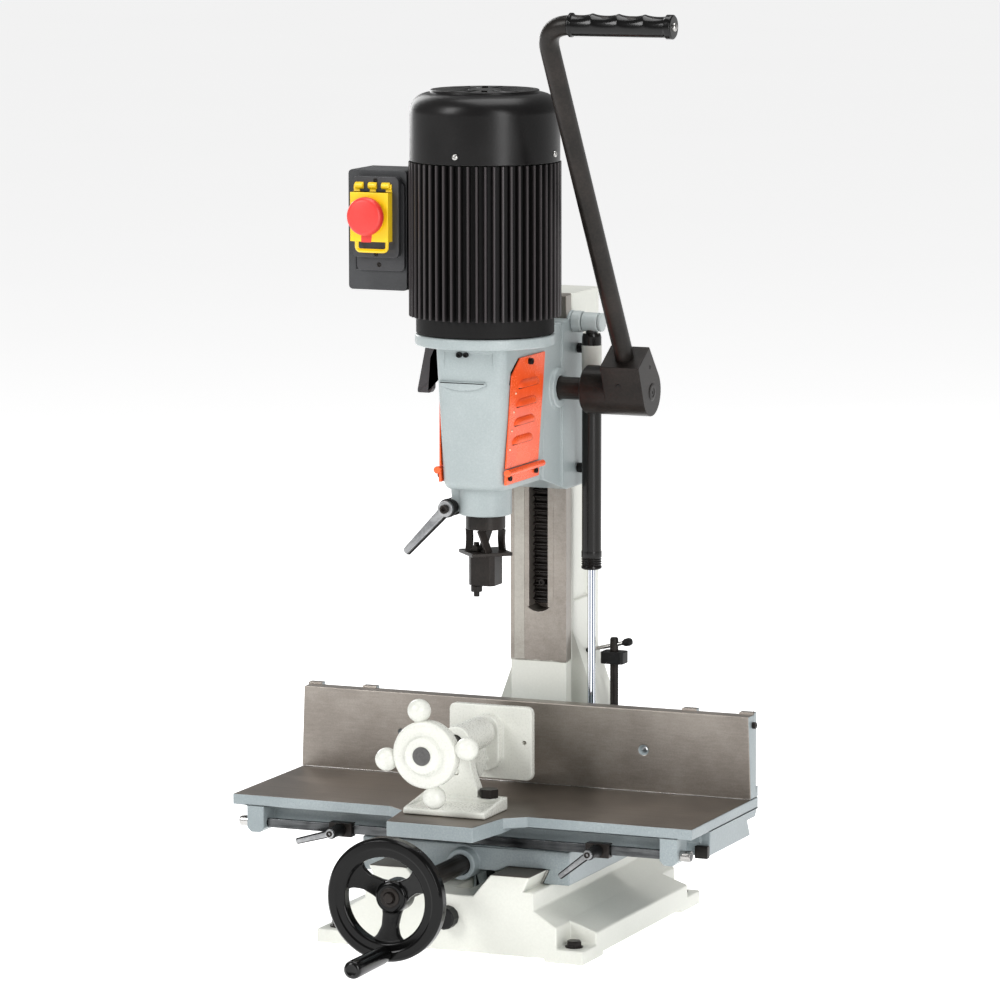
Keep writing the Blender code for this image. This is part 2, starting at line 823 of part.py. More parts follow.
def base_outline():
    """Front view of the base, right half, from the middle of the underside upwards."""
    return mirrored([
        (BASE_HALF_WIDTH, BASE_LIFT),
        (BASE_HALF_WIDTH, RIM_HEIGHT),
        (SHOULDER_HALF, SHOULDER_HEIGHT),
        (UPPER_HALF, UPPER_FOOT),
        (UPPER_HALF, LEDGE_HEIGHT),
        (WAY_NECK_HALF, LEDGE_HEIGHT),
        (WAY_TOP_HALF, WAY_HEIGHT),
        (WAY_INNER_HALF, WAY_HEIGHT),
        (TROUGH_HALF, TROUGH_HEIGHT),
    ])


def make_base(root):
    body = prism(base_outline(), "Y", -BASE_HALF_DEPTH, BASE_HALF_DEPTH)
    feet = []
    pockets = []
    holes = []
    for sx in (-1, 1):
        for sy in (-1, 1):
            x0, x1 = sorted((sx * BASE_HALF_WIDTH, sx * (BASE_HALF_WIDTH - FOOT_WIDTH)))
            y0, y1 = sorted((sy * BASE_HALF_DEPTH, sy * (BASE_HALF_DEPTH - FOOT_LENGTH)))
            feet.append(box(x0, x1, y0, y1, 0, PAD_HEIGHT))
            x0, x1 = sorted((sx * POCKET_INNER, sx * (BASE_HALF_WIDTH + OVERRUN)))
            y0, y1 = sorted((sy * (BASE_HALF_DEPTH + OVERRUN), sy * (BASE_HALF_DEPTH - POCKET_LENGTH)))
            pockets.append(box(x0, x1, y0, y1, PAD_HEIGHT, SHOULDER_HEIGHT + OVERRUN))
            centre = (sx * (BASE_HALF_WIDTH - BOLT_INSET_X), sy * (BASE_HALF_DEPTH - BOLT_INSET_Y), 0)
            holes.append(cylinder("Z", centre, BOLT_RADIUS + RUN, -OVERRUN, PAD_HEIGHT + OVERRUN,
                                  SIDES_SMALL))
    pad = box(-CENTRE_PAD_HALF, CENTRE_PAD_HALF, -RIB_HALF, RIB_HALF, 0, PAD_HEIGHT)
    body = joined(body, pad, *feet)
    cavities = []
    for side in (-1, 1):
        y0, y1 = sorted((side * RIB_HALF, side * (BASE_HALF_DEPTH - CAVITY_WALL)))
        cavities.append(box(-CAVITY_HALF, CAVITY_HALF, y0, y1, -OVERRUN, CAVITY_HEIGHT))
    rear_top = box(-UPPER_HALF, UPPER_HALF, WAY_REAR, BASE_HALF_DEPTH + OVERRUN,
                   LEDGE_HEIGHT, WAY_HEIGHT + OVERRUN)
    slot = box(-NUT_SLOT_HALF, NUT_SLOT_HALF, NUT_SLOT_FRONT, NUT_SLOT_REAR,
               CAVITY_HEIGHT - OVERRUN, TROUGH_HEIGHT + OVERRUN)
    bore = cylinder("Y", (0, 0, CROSS_HEIGHT), CROSS_RADIUS + RUN,
                    -BASE_HALF_DEPTH - OVERRUN, -BASE_HALF_DEPTH + CAVITY_WALL + OVERRUN, SIDES_SMALL)
    body = cut(body, *cavities, *pockets, *holes, rear_top, slot, bore)
    add("base_casting", body, "cast_white", root)
    names = {(-1, -1): "front_left", (1, -1): "front_right", (-1, 1): "rear_left", (1, 1): "rear_right"}
    for (sx, sy), place in names.items():
        centre = (sx * (BASE_HALF_WIDTH - BOLT_INSET_X), sy * (BASE_HALF_DEPTH - BOLT_INSET_Y), 0)
        seat = PAD_HEIGHT + FIT
        shank = cylinder("Z", centre, BOLT_RADIUS, RUN, seat + FIT, SIDES_SMALL)
        head = cylinder("Z", centre, BOLT_HEAD_RADIUS, seat, seat + BOLT_HEAD_HEIGHT, 6)
        add("hold_down_bolt_" + place, joined(head, shank), "black_oxide", root)


def make_cross_feed(root):
    centre = (0, 0, CROSS_HEIGHT)
    face = -BASE_HALF_DEPTH - FIT
    inner = -BASE_HALF_DEPTH + CAVITY_WALL + FIT
    carrier = empty("cross_feed_axis", root, (0, -BASE_HALF_DEPTH, CROSS_HEIGHT))
    screw = turned([
        (CROSS_KNOB_RADIUS * 0.85, face - CROSS_KNOB_LENGTH),
        (CROSS_KNOB_RADIUS, face - CROSS_KNOB_LENGTH + CROSS_KNOB_RADIUS * 0.15),
        (CROSS_KNOB_RADIUS, face),
        (CROSS_RADIUS, face),
        (CROSS_RADIUS, inner),
        (CROSS_COLLAR_RADIUS, inner),
        (CROSS_COLLAR_RADIUS, inner + CROSS_COLLAR_LENGTH),
        (CROSS_RADIUS, inner + CROSS_COLLAR_LENGTH),
        (CROSS_RADIUS, CROSS_REAR),
    ], "Y", centre, SIDES_SMALL)
    add("cross_feed_screw", screw, "black_oxide", carrier)


def make_column(root):
    low = LEDGE_HEIGHT + FIT
    foot = prism(rounded(-COLUMN_FOOT_HALF, COLUMN_FOOT_HALF, COLUMN_FOOT_FRONT, COLUMN_FOOT_REAR,
                         FOOT_EAR_HALF), "Z", low, low + COLUMN_FOOT_THICKNESS)
    way = prism(way_outline(0), "Z", low, COLUMN_TOP)
    web = prism(rounded(-WEB_HALF, WEB_HALF, WAY_FRONT + WAY_THICKNESS - CAST_SETBACK, WEB_REAR,
                        CAST_SETBACK * 6), "Z", low, COLUMN_TOP)
    gusset = prism(mirrored([
        (COLUMN_FOOT_HALF - CAST_SETBACK, low + CAST_SETBACK),
        (GUSSET_LOW_HALF, GUSSET_LOW),
        (GUSSET_MID_HALF, GUSSET_MID),
        (WEB_HALF - CAST_SETBACK, GUSSET_TOP),
    ]), "Y", GUSSET_FRONT, GUSSET_REAR)
    ears = []
    for side in (-1, 1):
        x0 = GAS_X + side * (ROD_EYE_HALF + FIT)
        x1 = x0 + side * FOOT_EAR_WIDTH
        ear_low = low + COLUMN_FOOT_THICKNESS - CAST_SETBACK
        ears.append(box(min(x0, x1), max(x0, x1), GAS_Y - FIT, GAS_Y + FOOT_EAR_HALF,
                        ear_low, ROD_EYE_HEIGHT + ROD_EYE_RADIUS / 2))
    body = joined(way, web, foot, gusset, *ears)
    setback = box(-COLUMN_FOOT_HALF, COLUMN_FOOT_HALF, WAY_FRONT - OVERRUN, WAY_FRONT + CAST_SETBACK,
                  low - OVERRUN, MACHINED_LOW)
    slot = joined(
        box(-RACK_SLOT_HALF, RACK_SLOT_HALF, WAY_FRONT - OVERRUN, RACK_SLOT_FLOOR,
            RACK_SLOT_LOW + RACK_SLOT_HALF, COLUMN_TOP + OVERRUN),
        cylinder("Y", (0, 0, RACK_SLOT_LOW + RACK_SLOT_HALF), RACK_SLOT_HALF,
                 WAY_FRONT - OVERRUN, RACK_SLOT_FLOOR))
    pockets = []
    for side in (-1, 1):
        x0, x1 = sorted((side * (WEB_HALF - WEB_POCKET_DEPTH), side * (WEB_HALF + OVERRUN)))
        pockets.append(box(x0, x1, WEB_POCKET_FRONT, WEB_POCKET_REAR,
                           WEB_POCKET_TOP, COLUMN_TOP - WEB_POCKET_REAR / 4))
    stop_hole = cylinder("Z", (STOP_SCREW_X, STOP_SCREW_Y, low), STOP_SCREW_RADIUS + RUN,
                         CAST_SETBACK * 2, COLUMN_FOOT_THICKNESS + GUSSET_LOW, SIDES_SMALL)
    body = cut(body, setback, slot, *pockets, stop_hole)
    add("column", body, "cast_white", root)

    outline = rack_outline(RACK_LOW, RACK_TOP, RACK_PITCH_Y, RACK_SLOT_FLOOR - FIT, MODULE, SHAFT_HEIGHT)
    rack = prism([(y, z) for z, y in outline], "X", -RACK_HALF, RACK_HALF)
    add("feed_rack", rack, "black_oxide", root)


def make_depth_stop(root):
    centre = (STOP_SCREW_X, STOP_SCREW_Y, 0)
    foot = LEDGE_HEIGHT + FIT + CAST_SETBACK * 2 + FIT
    carrier = empty("depth_stop_axis", root, centre)
    screw = cylinder("Z", centre, STOP_SCREW_RADIUS, foot, STOP_SCREW_TOP)
    level = (STOP_SCREW_X, STOP_SCREW_Y, TOMMY_HEIGHT)
    bar = turned([
        (TOMMY_KNOB_RADIUS, -TOMMY_LEFT),
        (TOMMY_KNOB_RADIUS, -TOMMY_LEFT + TOMMY_KNOB_LENGTH),
        (TOMMY_RADIUS, -TOMMY_LEFT + TOMMY_KNOB_LENGTH),
        (TOMMY_RADIUS, TOMMY_RIGHT - TOMMY_KNOB_LENGTH),
        (TOMMY_KNOB_RADIUS, TOMMY_RIGHT - TOMMY_KNOB_LENGTH),
        (TOMMY_KNOB_RADIUS, TOMMY_RIGHT),
    ], "X", level, SIDES_SMALL)
    bar = moved(bar, about(level, "Y", -TOMMY_TILT))
    add("depth_stop_screw", joined(screw, bar), "black_oxide", carrier)
    collar = prism(rounded(STOP_SCREW_X - STOP_COLLAR_HALF, STOP_SCREW_X + STOP_COLLAR_HALF,
                           STOP_SCREW_Y - STOP_COLLAR_DEPTH, STOP_SCREW_Y + STOP_COLLAR_DEPTH,
                           TOMMY_KNOB_RADIUS), "Z", STOP_COLLAR_LOW, STOP_COLLAR_TOP)
    bore = cylinder("Z", centre, STOP_SCREW_RADIUS + RUN, STOP_COLLAR_LOW - OVERRUN,
                    STOP_COLLAR_TOP + OVERRUN)
    add("depth_stop_collar", cut(collar, bore), "black_paint", root, (STOP_SCREW_X, STOP_SCREW_Y, 0))


def make_gas_strut(root, head):
    centre = (GAS_X, GAS_Y, 0)
    stem = cylinder("Z", centre, ROD_RADIUS, ROD_EYE_HEIGHT, ROD_TOP)
    eye = cylinder("X", (GAS_X, GAS_Y, ROD_EYE_HEIGHT), ROD_EYE_RADIUS, -ROD_EYE_HALF, ROD_EYE_HALF)
    add("gas_strut_rod", joined(stem, eye), "chrome", root)
    barrel = cylinder("Z", centre, BARREL_RADIUS, BARREL_LOW, BARREL_TOP)
    bore = cylinder("Z", centre, ROD_RADIUS + RUN, BARREL_LOW - OVERRUN, BARREL_BORE_TOP)
    level = (GAS_X, GAS_Y, EYE_HEIGHT)
    eye = cylinder("X", level, EYE_RADIUS, -EYE_HALF, EYE_HALF)
    stem = cylinder("Z", centre, ROD_RADIUS, BARREL_TOP - CAST_SETBACK, EYE_HEIGHT)
    hole = cylinder("X", level, GAS_PIN_RADIUS + FIT, -EYE_HALF - OVERRUN, EYE_HALF + OVERRUN, SIDES_SMALL)
    add("gas_strut_barrel", cut(joined(barrel, eye, stem), bore, hole), "black_paint", head)
    flat = (0, GAS_Y, EYE_HEIGHT)
    pin = turned([
        (GAS_PIN_RADIUS, LUG_LEFT + CAST_SETBACK), (GAS_PIN_RADIUS, SLIDE_HALF + FIT),
        (SPACER_RADIUS, SLIDE_HALF + FIT), (SPACER_RADIUS, SPACER_RIGHT),
        (GAS_PIN_RADIUS, SPACER_RIGHT), (GAS_PIN_RADIUS, GAS_PIN_END),
    ], "X", flat)
    add("gas_strut_pin", pin, "black_oxide", head)


def head_body():
    """Front body, slide, ring, neck and bosses of the head, joined."""
    low = [(x, y, HEAD_LOW) for x, y in rounded(
        -HEAD_LOW_HALF, HEAD_LOW_HALF, HEAD_LOW_FRONT, HEAD_REAR, HEAD_CORNER)]
    rim = [(x, y, HEAD_LOW + HEAD_CORNER / 2) for x, y in rounded(
        -HEAD_LOW_HALF, HEAD_LOW_HALF, HEAD_LOW_FRONT, HEAD_REAR, HEAD_CORNER)]
    low = [(x * 0.93, y if y > MOTOR_Y else y + HEAD_CORNER / 3, z) for x, y, z in low]
    top = [(x, y, HEAD_RING_LOW + CAST_SETBACK) for x, y in rounded(
        -HEAD_TOP_HALF, HEAD_TOP_HALF, HEAD_TOP_FRONT, HEAD_REAR, HEAD_CORNER)]
    front = loft([low, rim, top])
    neck_piece = prism([
        (SLOPE_FRONT, HEAD_LOW), (SLOPE_REAR, SLIDE_LOW), (SLOPE_REAR, HEAD_RING_TOP),
        (SLOPE_FRONT, HEAD_RING_TOP),
    ], "X", -SLIDE_NECK_HALF, SLIDE_NECK_HALF)
    slope = SLIDE_LOW + (SLOPE_REAR - SLIDE_FRONT) * (HEAD_LOW - SLIDE_LOW) / (SLOPE_REAR - SLOPE_FRONT)
    slide = prism([
        (SLIDE_FRONT, slope), (SLOPE_REAR, SLIDE_LOW), (SLIDE_REAR, SLIDE_LOW),
        (SLIDE_REAR, SLIDE_TOP), (SLIDE_FRONT, SLIDE_TOP),
    ], "X", -SLIDE_HALF, SLIDE_HALF)
    ring = cylinder("Z", (0, MOTOR_Y, 0), HEAD_RING_RADIUS, HEAD_RING_LOW, HEAD_RING_TOP, SIDES_BIG)
    neck = cylinder("Z", (0, MOTOR_Y, 0), NECK_RADIUS, NECK_LOW, HEAD_LOW + HEAD_CORNER)
    boss = cylinder("X", (0, SHAFT_Y, SHAFT_HEIGHT), BOSS_RADIUS, 0, BOSS_FACE)
    strut_lug = cylinder("X", (0, GAS_Y, EYE_HEIGHT), LUG_TOP_RADIUS, LUG_LEFT, SLIDE_HALF)
    clamp_lug = joined(
        cylinder("Y", (CLAMP_X, 0, CLAMP_HEIGHT), LUG_RADIUS, LUG_FRONT, LUG_REAR, SIDES_SMALL),
        box(CLAMP_X, CLAMP_X + NECK_RADIUS, LUG_FRONT, LUG_REAR,
            CLAMP_HEIGHT - LUG_RADIUS / 2, HEAD_LOW + HEAD_CORNER))
    return joined(front, neck_piece, slide, ring, neck, boss, strut_lug, clamp_lug)


def head_cutters():
    """Everything cut from the head: chambers, way, bores, windows and screw holes."""
    chamber = box(-CHUCK_HALF, CHUCK_HALF, CHUCK_FRONT, CHUCK_REAR, CHUCK_LOW, CHUCK_CEILING)
    window = box(-SLIDE_HALF - HEAD_CORNER, SLIDE_HALF + HEAD_CORNER, WINDOW_FRONT, WINDOW_REAR,
                 WINDOW_LOW, WINDOW_TOP)
    neck_bore = cylinder("Z", (0, MOTOR_Y, 0), NECK_BORE, NECK_LOW - OVERRUN, CHUCK_LOW + OVERRUN)
    ring_bore = cylinder("Z", (0, MOTOR_Y, 0), RING_BORE, CHUCK_CEILING - OVERRUN, HEAD_RING_TOP + OVERRUN)
    way = prism(way_outline(RUN, GIB_THICKNESS), "Z", SLIDE_LOW - OVERRUN, SLIDE_TOP + LUG_TOP_RADIUS)
    back = WAY_FRONT + WAY_THICKNESS
    web = box(-WEB_HALF - RUN, WEB_HALF + GIB_THICKNESS + RUN, back - FIT, SLIDE_REAR + OVERRUN,
              SLIDE_LOW - OVERRUN, SLIDE_TOP + LUG_TOP_RADIUS)
    reach = MODULE * (PINION_TEETH / 2 + ADDENDUM_SHARE) + CHAMBER_GAP
    pinion = box(-CHAMBER_HALF, CHAMBER_HALF, SHAFT_Y - reach, WAY_FRONT, SHAFT_HEIGHT - reach,
                 SHAFT_HEIGHT + reach)
    shaft = cylinder("X", (0, SHAFT_Y, SHAFT_HEIGHT), SHAFT_RADIUS + RUN, SHAFT_LEFT - FIT,
                     BOSS_FACE + OVERRUN)
    strut_pin = cylinder("X", (0, GAS_Y, EYE_HEIGHT), GAS_PIN_RADIUS + FIT, LUG_LEFT - OVERRUN,
                         SLIDE_HALF + OVERRUN, SIDES_SMALL)
    clamp = cylinder("Y", (CLAMP_X, 0, CLAMP_HEIGHT), CLAMP_RADIUS + RUN, LUG_FRONT - OVERRUN,
                     LUG_REAR + OVERRUN, SIDES_SMALL)
    lock = cylinder("X", (0, LOCK_Y, LOCK_HEIGHT), LOCK_STUD_RADIUS + RUN, -SLIDE_HALF - OVERRUN,
                    -SLIDE_NECK_HALF + LOCK_STUD_DEPTH, SIDES_SMALL)
    cutters = [chamber, window, neck_bore, ring_bore, way, web, pinion, shaft, strut_pin, clamp, lock]
    for height in GIB_KNOB_HEIGHTS:
        cutters.append(cylinder("X", (0, GIB_KNOB_Y, height), GIB_STUD_RADIUS + RUN, WAY_BACK_HALF,
                                SLIDE_HALF + OVERRUN, SIDES_SMALL))
    relief_front = HEAD_TOP_FRONT - OVERRUN
    relief_back = HEAD_TOP_FRONT + RELIEF_DEPTH
    relief = loft([
        [(x, relief_front, z) for x, z in relief_outline()],
        [(x, relief_back, z) for x, z in relief_outline()],
    ])
    cutters.append(relief)
    for side in (-1, 1):
        wall = side * head_wall(DOOR_SCREW_HEIGHT)
        start, end = sorted((wall - side * DOOR_SCREW_DEPTH, wall + side * OVERRUN))
        cutters.append(cylinder("X", (0, DOOR_SCREW_Y, DOOR_SCREW_HEIGHT), DOOR_SCREW_RADIUS / 2 + RUN,
                                start, end, SIDES_SMALL))
    return cutters


def relief_outline():
    """Shallow panel on the head's front, with a bulge on its lower edge."""
    points = [(-RELIEF_HALF, RELIEF_TOP), (-RELIEF_HALF, RELIEF_LOW)]
    for i in range(1, 6):
        share = i / 6
        x = -RELIEF_HALF * math.cos(math.pi * share)
        points.append((x, RELIEF_LOW - HEAD_CORNER * 0.8 * math.sin(math.pi * share)))
    points += [(RELIEF_HALF, RELIEF_LOW), (RELIEF_HALF, RELIEF_TOP)]
    return points


def make_head(head):
    add("head_casting", cut(head_body(), *head_cutters()), "hammered_grey", head)
    gap = RUN / 2
    back = WAY_FRONT + WAY_THICKNESS
    gib = prism([
        (WAY_FRONT_HALF + gap, WAY_FRONT + RUN),
        (WAY_FRONT_HALF + gap + GIB_THICKNESS - RUN, WAY_FRONT + RUN),
        (WAY_BACK_HALF + gap + GIB_THICKNESS - RUN, back - FIT),
        (WAY_BACK_HALF + gap, back - FIT),
    ], "Z", SLIDE_LOW + CAST_SETBACK, SLIDE_TOP - CAST_SETBACK)
    slope = (WAY_FRONT_HALF - WAY_BACK_HALF) / WAY_THICKNESS
    dent = WAY_FRONT_HALF + GIB_THICKNESS - (GIB_KNOB_Y - WAY_FRONT) * slope
    add("head_gib", gib, "bright_steel", head)
    for place, height in zip(("upper", "lower"), GIB_KNOB_HEIGHTS):
        flat = (0, GIB_KNOB_Y, height)
        knob = joined(
            cylinder("X", flat, GIB_KNOB_RADIUS, SLIDE_HALF + FIT, SLIDE_HALF + GIB_KNOB_LENGTH, SIDES_SMALL),
            cylinder("X", flat, GIB_STUD_RADIUS, dent + CAST_SETBACK, SLIDE_HALF + FIT * 2, SIDES_SMALL))
        carrier = empty("gib_knob_axis_" + place, head, flat)
        add("gib_lock_knob_" + place, knob, "black_plastic", carrier)


def make_lock_lever(head):
    pivot = (0, LOCK_Y, LOCK_HEIGHT)
    carrier = empty("head_lock_axis", head, pivot)
    hub = cylinder("X", pivot, LOCK_HUB_RADIUS, LOCK_HUB_END, -SLIDE_NECK_HALF - CAST_SETBACK * 2.5)
    stud = cylinder("X", pivot, LOCK_STUD_RADIUS, -SLIDE_NECK_HALF - CAST_SETBACK * 3,
                    -SLIDE_NECK_HALF + LOCK_STUD_DEPTH / 2, SIDES_SMALL)
    run = Vector((LOCK_TIP_X - LOCK_HUB_END, LOCK_TIP_HEIGHT - LOCK_HEIGHT))
    side = Vector((-run.y, run.x)).normalized()
    root = Vector((LOCK_HUB_END + LOCK_HUB_RADIUS / 2, LOCK_HEIGHT))
    tip = Vector((LOCK_TIP_X, LOCK_TIP_HEIGHT))
    arm = prism([tuple(p) for p in (
        root + side * LOCK_ROOT_HALF, root - side * LOCK_ROOT_HALF,
        tip - side * LOCK_TIP_HALF, tip + side * LOCK_TIP_HALF)],
        "Y", LOCK_Y - LOCK_THICKNESS / 2, LOCK_Y + LOCK_THICKNESS / 2)
    add("head_lock_lever", joined(hub, stud, arm), "black_plastic", carrier)


def make_feed_lever(head):
    pivot = (0, SHAFT_Y, SHAFT_HEIGHT)
    carrier = empty("feed_lever_axis", head, pivot)
    outline = gear_outline(SHAFT_Y, SHAFT_HEIGHT, PINION_TEETH, MODULE, 0.0)
    pinion = prism(outline, "X", -PINION_HALF, PINION_HALF)
    shaft = cylinder("X", pivot, SHAFT_RADIUS, SHAFT_LEFT, HUB_BLOCK_LEFT)
    add("feed_pinion_shaft", joined(pinion, shaft), "black_oxide", carrier)

    hub = cylinder("X", pivot, HUB_RADIUS, HUB_LEFT, HUB_BLOCK_RIGHT)
    block = box(HUB_BLOCK_LEFT, HUB_BLOCK_RIGHT, SHAFT_Y - HUB_BLOCK_DEPTH / 2,
                SHAFT_Y + HUB_BLOCK_DEPTH / 2, SHAFT_HEIGHT, SHAFT_HEIGHT + HUB_BLOCK_REACH)
    lean = about(pivot, "X", LEVER_LEAN)
    block = moved(block, lean)
    bar_x = (HUB_BLOCK_LEFT + HUB_BLOCK_RIGHT) / 2
    shaft_bore = cylinder("X", pivot, SHAFT_RADIUS + FIT, HUB_LEFT - OVERRUN, HUB_BLOCK_LEFT + FIT)
    socket = moved(cylinder("Z", (bar_x, SHAFT_Y, SHAFT_HEIGHT), LEVER_RADIUS + FIT, 0,
                            HUB_BLOCK_REACH + OVERRUN), lean)
    add("lever_hub", cut(joined(hub, block), shaft_bore, socket), "black_oxide", carrier)

    foot = Vector((bar_x, SHAFT_Y, SHAFT_HEIGHT)) + LEVER_AXIS * FIT * 4
    bend = Vector((bar_x, SHAFT_Y, SHAFT_HEIGHT)) + LEVER_AXIS * LEVER_LENGTH
    add("lever_bar", bent_bar(foot, bend), "black_oxide", carrier)
    grip_centre = (0, bend.y, bend.z)
    profile = [(GRIP_RADIUS, GRIP_START)]
    step = (GRIP_END - GRIP_START) / (GRIP_RIDGES * 2)
    for i in range(1, GRIP_RIDGES * 2):
        profile.append((GRIP_SWELL if i % 2 else GRIP_RADIUS * 0.93, GRIP_START + step * i))
    profile += [(GRIP_SWELL, GRIP_END - step / 3), (GRIP_RADIUS * 0.8, GRIP_END)]
    grip = turned(profile, "X", grip_centre)
    bore = cylinder("X", grip_centre, LEVER_RADIUS * 0.8 + FIT, GRIP_START - OVERRUN, GRIP_END - step)
    add("lever_grip", cut(grip, bore), "black_plastic", carrier)


def bent_bar(foot, bend):
    """Lever bar that turns into the grip's spindle through a round bend, as one swept tube."""
    across = Vector((1, 0, 0))
    along = (bend - foot).normalized()
    start = bend - along * LEVER_BEND
    path = [(foot, along, LEVER_RADIUS), (start, along, LEVER_RADIUS)]
    centre = start + across * LEVER_BEND
    for i in range(1, 7):
        angle = TURN / 4 * i / 6
        point = centre - across * LEVER_BEND * math.cos(angle) + along * LEVER_BEND * math.sin(angle)
        heading = along * math.cos(angle) + across * math.sin(angle)
        path.append((point, heading, LEVER_RADIUS))
    shoulder = Vector((GRIP_START - FIT, bend.y, bend.z))
    path.append((shoulder, across, LEVER_RADIUS))
    path.append((shoulder, across, LEVER_RADIUS * 0.8))
    step = (GRIP_END - GRIP_START) / (GRIP_RIDGES * 2)
    path.append((Vector((GRIP_END - step - FIT, bend.y, bend.z)), across, LEVER_RADIUS * 0.8))
    side = along.cross(across).normalized()
    rings = []
    for point, heading, radius in path:
        other = heading.cross(side).normalized()
        ring = []
        for i in range(SIDES_SMALL):
            angle = TURN * i / SIDES_SMALL
            ring.append(point + side * radius * math.cos(angle) + other * radius * math.sin(angle))
        rings.append(ring)
    return loft(rings)


def make_doors(head):
    """Bottom-hinged louvred doors over the chuck windows, one on each side of the head."""
    for side, place in ((1, "right"), (-1, "left")):
        wall = head_wall(HINGE_HEIGHT) + FIT
        axis_x = wall + HINGE_RADIUS
        pivot = Vector((side * axis_x, 0, HINGE_HEIGHT))
        lean = Matrix.Rotation(math.atan(HEAD_WALL_SLOPE), 4, "Y")
        carrier = empty("chuck_door_axis_" + place, head, pivot)
        panel = prism([
            (DOOR_FRONT, HINGE_HEIGHT), (DOOR_REAR_LOW, HINGE_HEIGHT), (DOOR_REAR_TOP, DOOR_TOP),
            (DOOR_CUT_TOP, DOOR_TOP), (DOOR_CUT_FRONT, DOOR_CUT_HEIGHT),
        ], "X", wall, wall + DOOR_THICKNESS)
        middle = DOOR_FRONT + (DOOR_REAR_LOW - DOOR_FRONT) * BARREL_SPLIT_SHARE
        barrel = cylinder("Y", (axis_x, 0, HINGE_HEIGHT), HINGE_RADIUS, middle + FIT, DOOR_REAR_LOW,
                          SIDES_SMALL)
        clear = cylinder("Y", (axis_x, 0, HINGE_HEIGHT), HINGE_RADIUS + RUN, DOOR_FRONT - OVERRUN,
                         middle, SIDES_SMALL)
        louvres = []
        for i in range(LOUVRE_COUNT):
            low = LOUVRE_LOW + LOUVRE_PITCH * i
            face = wall + DOOR_THICKNESS
            louvres.append(prism([
                (face - CAST_SETBACK, low), (face + LOUVRE_RISE, low),
                (face - CAST_SETBACK, low + LOUVRE_HEIGHT * 1.6),
            ], "Y", LOUVRE_FRONT + LOUVRE_RISE * i / 2, LOUVRE_REAR))
        door = joined(cut(panel, clear), barrel, *louvres)
        slits = []
        for i in range(LOUVRE_COUNT):
            low = LOUVRE_LOW + LOUVRE_PITCH * i
            face = wall + DOOR_THICKNESS
            slits.append(prism([
                (wall - OVERRUN, low - CAST_SETBACK), (face + LOUVRE_RISE / 2, low - CAST_SETBACK),
                (wall - OVERRUN, low + LOUVRE_HEIGHT),
            ], "Y", LOUVRE_FRONT + LOUVRE_RISE * 2, LOUVRE_REAR - LOUVRE_RISE))
        pin_bore = cylinder("Y", (axis_x, 0, HINGE_HEIGHT), HINGE_PIN_RADIUS + FIT, DOOR_FRONT - OVERRUN,
                            DOOR_REAR_LOW + OVERRUN, SIDES_SMALL)
        screw_hole = cylinder("X", (0, DOOR_SCREW_Y, DOOR_SCREW_HEIGHT), DOOR_SCREW_RADIUS / 2 + RUN * 2,
                              wall - OVERRUN, wall + DOOR_THICKNESS + OVERRUN, SIDES_SMALL)
        door = cut(door, pin_bore, screw_hole, *slits)
        leaf = prism([
            (wall, LEAF_LOW), (wall + DOOR_THICKNESS, LEAF_LOW), (wall + DOOR_THICKNESS, HINGE_HEIGHT),
            (wall, HINGE_HEIGHT),
        ], "Y", DOOR_FRONT, DOOR_REAR_LOW)
        clear = cylinder("Y", (axis_x, 0, HINGE_HEIGHT), HINGE_RADIUS + RUN, middle,
                         DOOR_REAR_LOW + OVERRUN, SIDES_SMALL)
        knuckle = cylinder("Y", (axis_x, 0, HINGE_HEIGHT), HINGE_RADIUS, DOOR_FRONT, middle - FIT,
                           SIDES_SMALL)
        pin = cylinder("Y", (axis_x, 0, HINGE_HEIGHT), HINGE_PIN_RADIUS, DOOR_FRONT, DOOR_REAR_LOW,
                       SIDES_SMALL)
        leaf = joined(cut(leaf, clear), knuckle, pin)
        seat = wall + DOOR_THICKNESS + FIT
        screw = joined(
            cylinder("X", (0, DOOR_SCREW_Y, DOOR_SCREW_HEIGHT), DOOR_SCREW_RADIUS, seat,
                     seat + DOOR_SCREW_HEAD, SIDES_SMALL),
            cylinder("X", (0, DOOR_SCREW_Y, DOOR_SCREW_HEIGHT), DOOR_SCREW_RADIUS / 2, wall - RUN, seat + FIT,
                     SIDES_SMALL))
        turn = about((axis_x, 0, HINGE_HEIGHT), "Y", math.atan(HEAD_WALL_SLOPE))
        flip = Matrix.Diagonal((side, 1, 1, 1))
        parts = (("chuck_door_" + place, door, "orange_paint", carrier),
                 ("door_hinge_leaf_" + place, leaf, "orange_paint", head),
                 ("door_latch_screw_" + place, screw, "black_oxide", head))
        for name, mesh, colour, holder in parts:
            mesh.transform(flip @ turn)
            if side < 0:
                mesh.flip_normals()
            add(name, mesh, colour, holder)


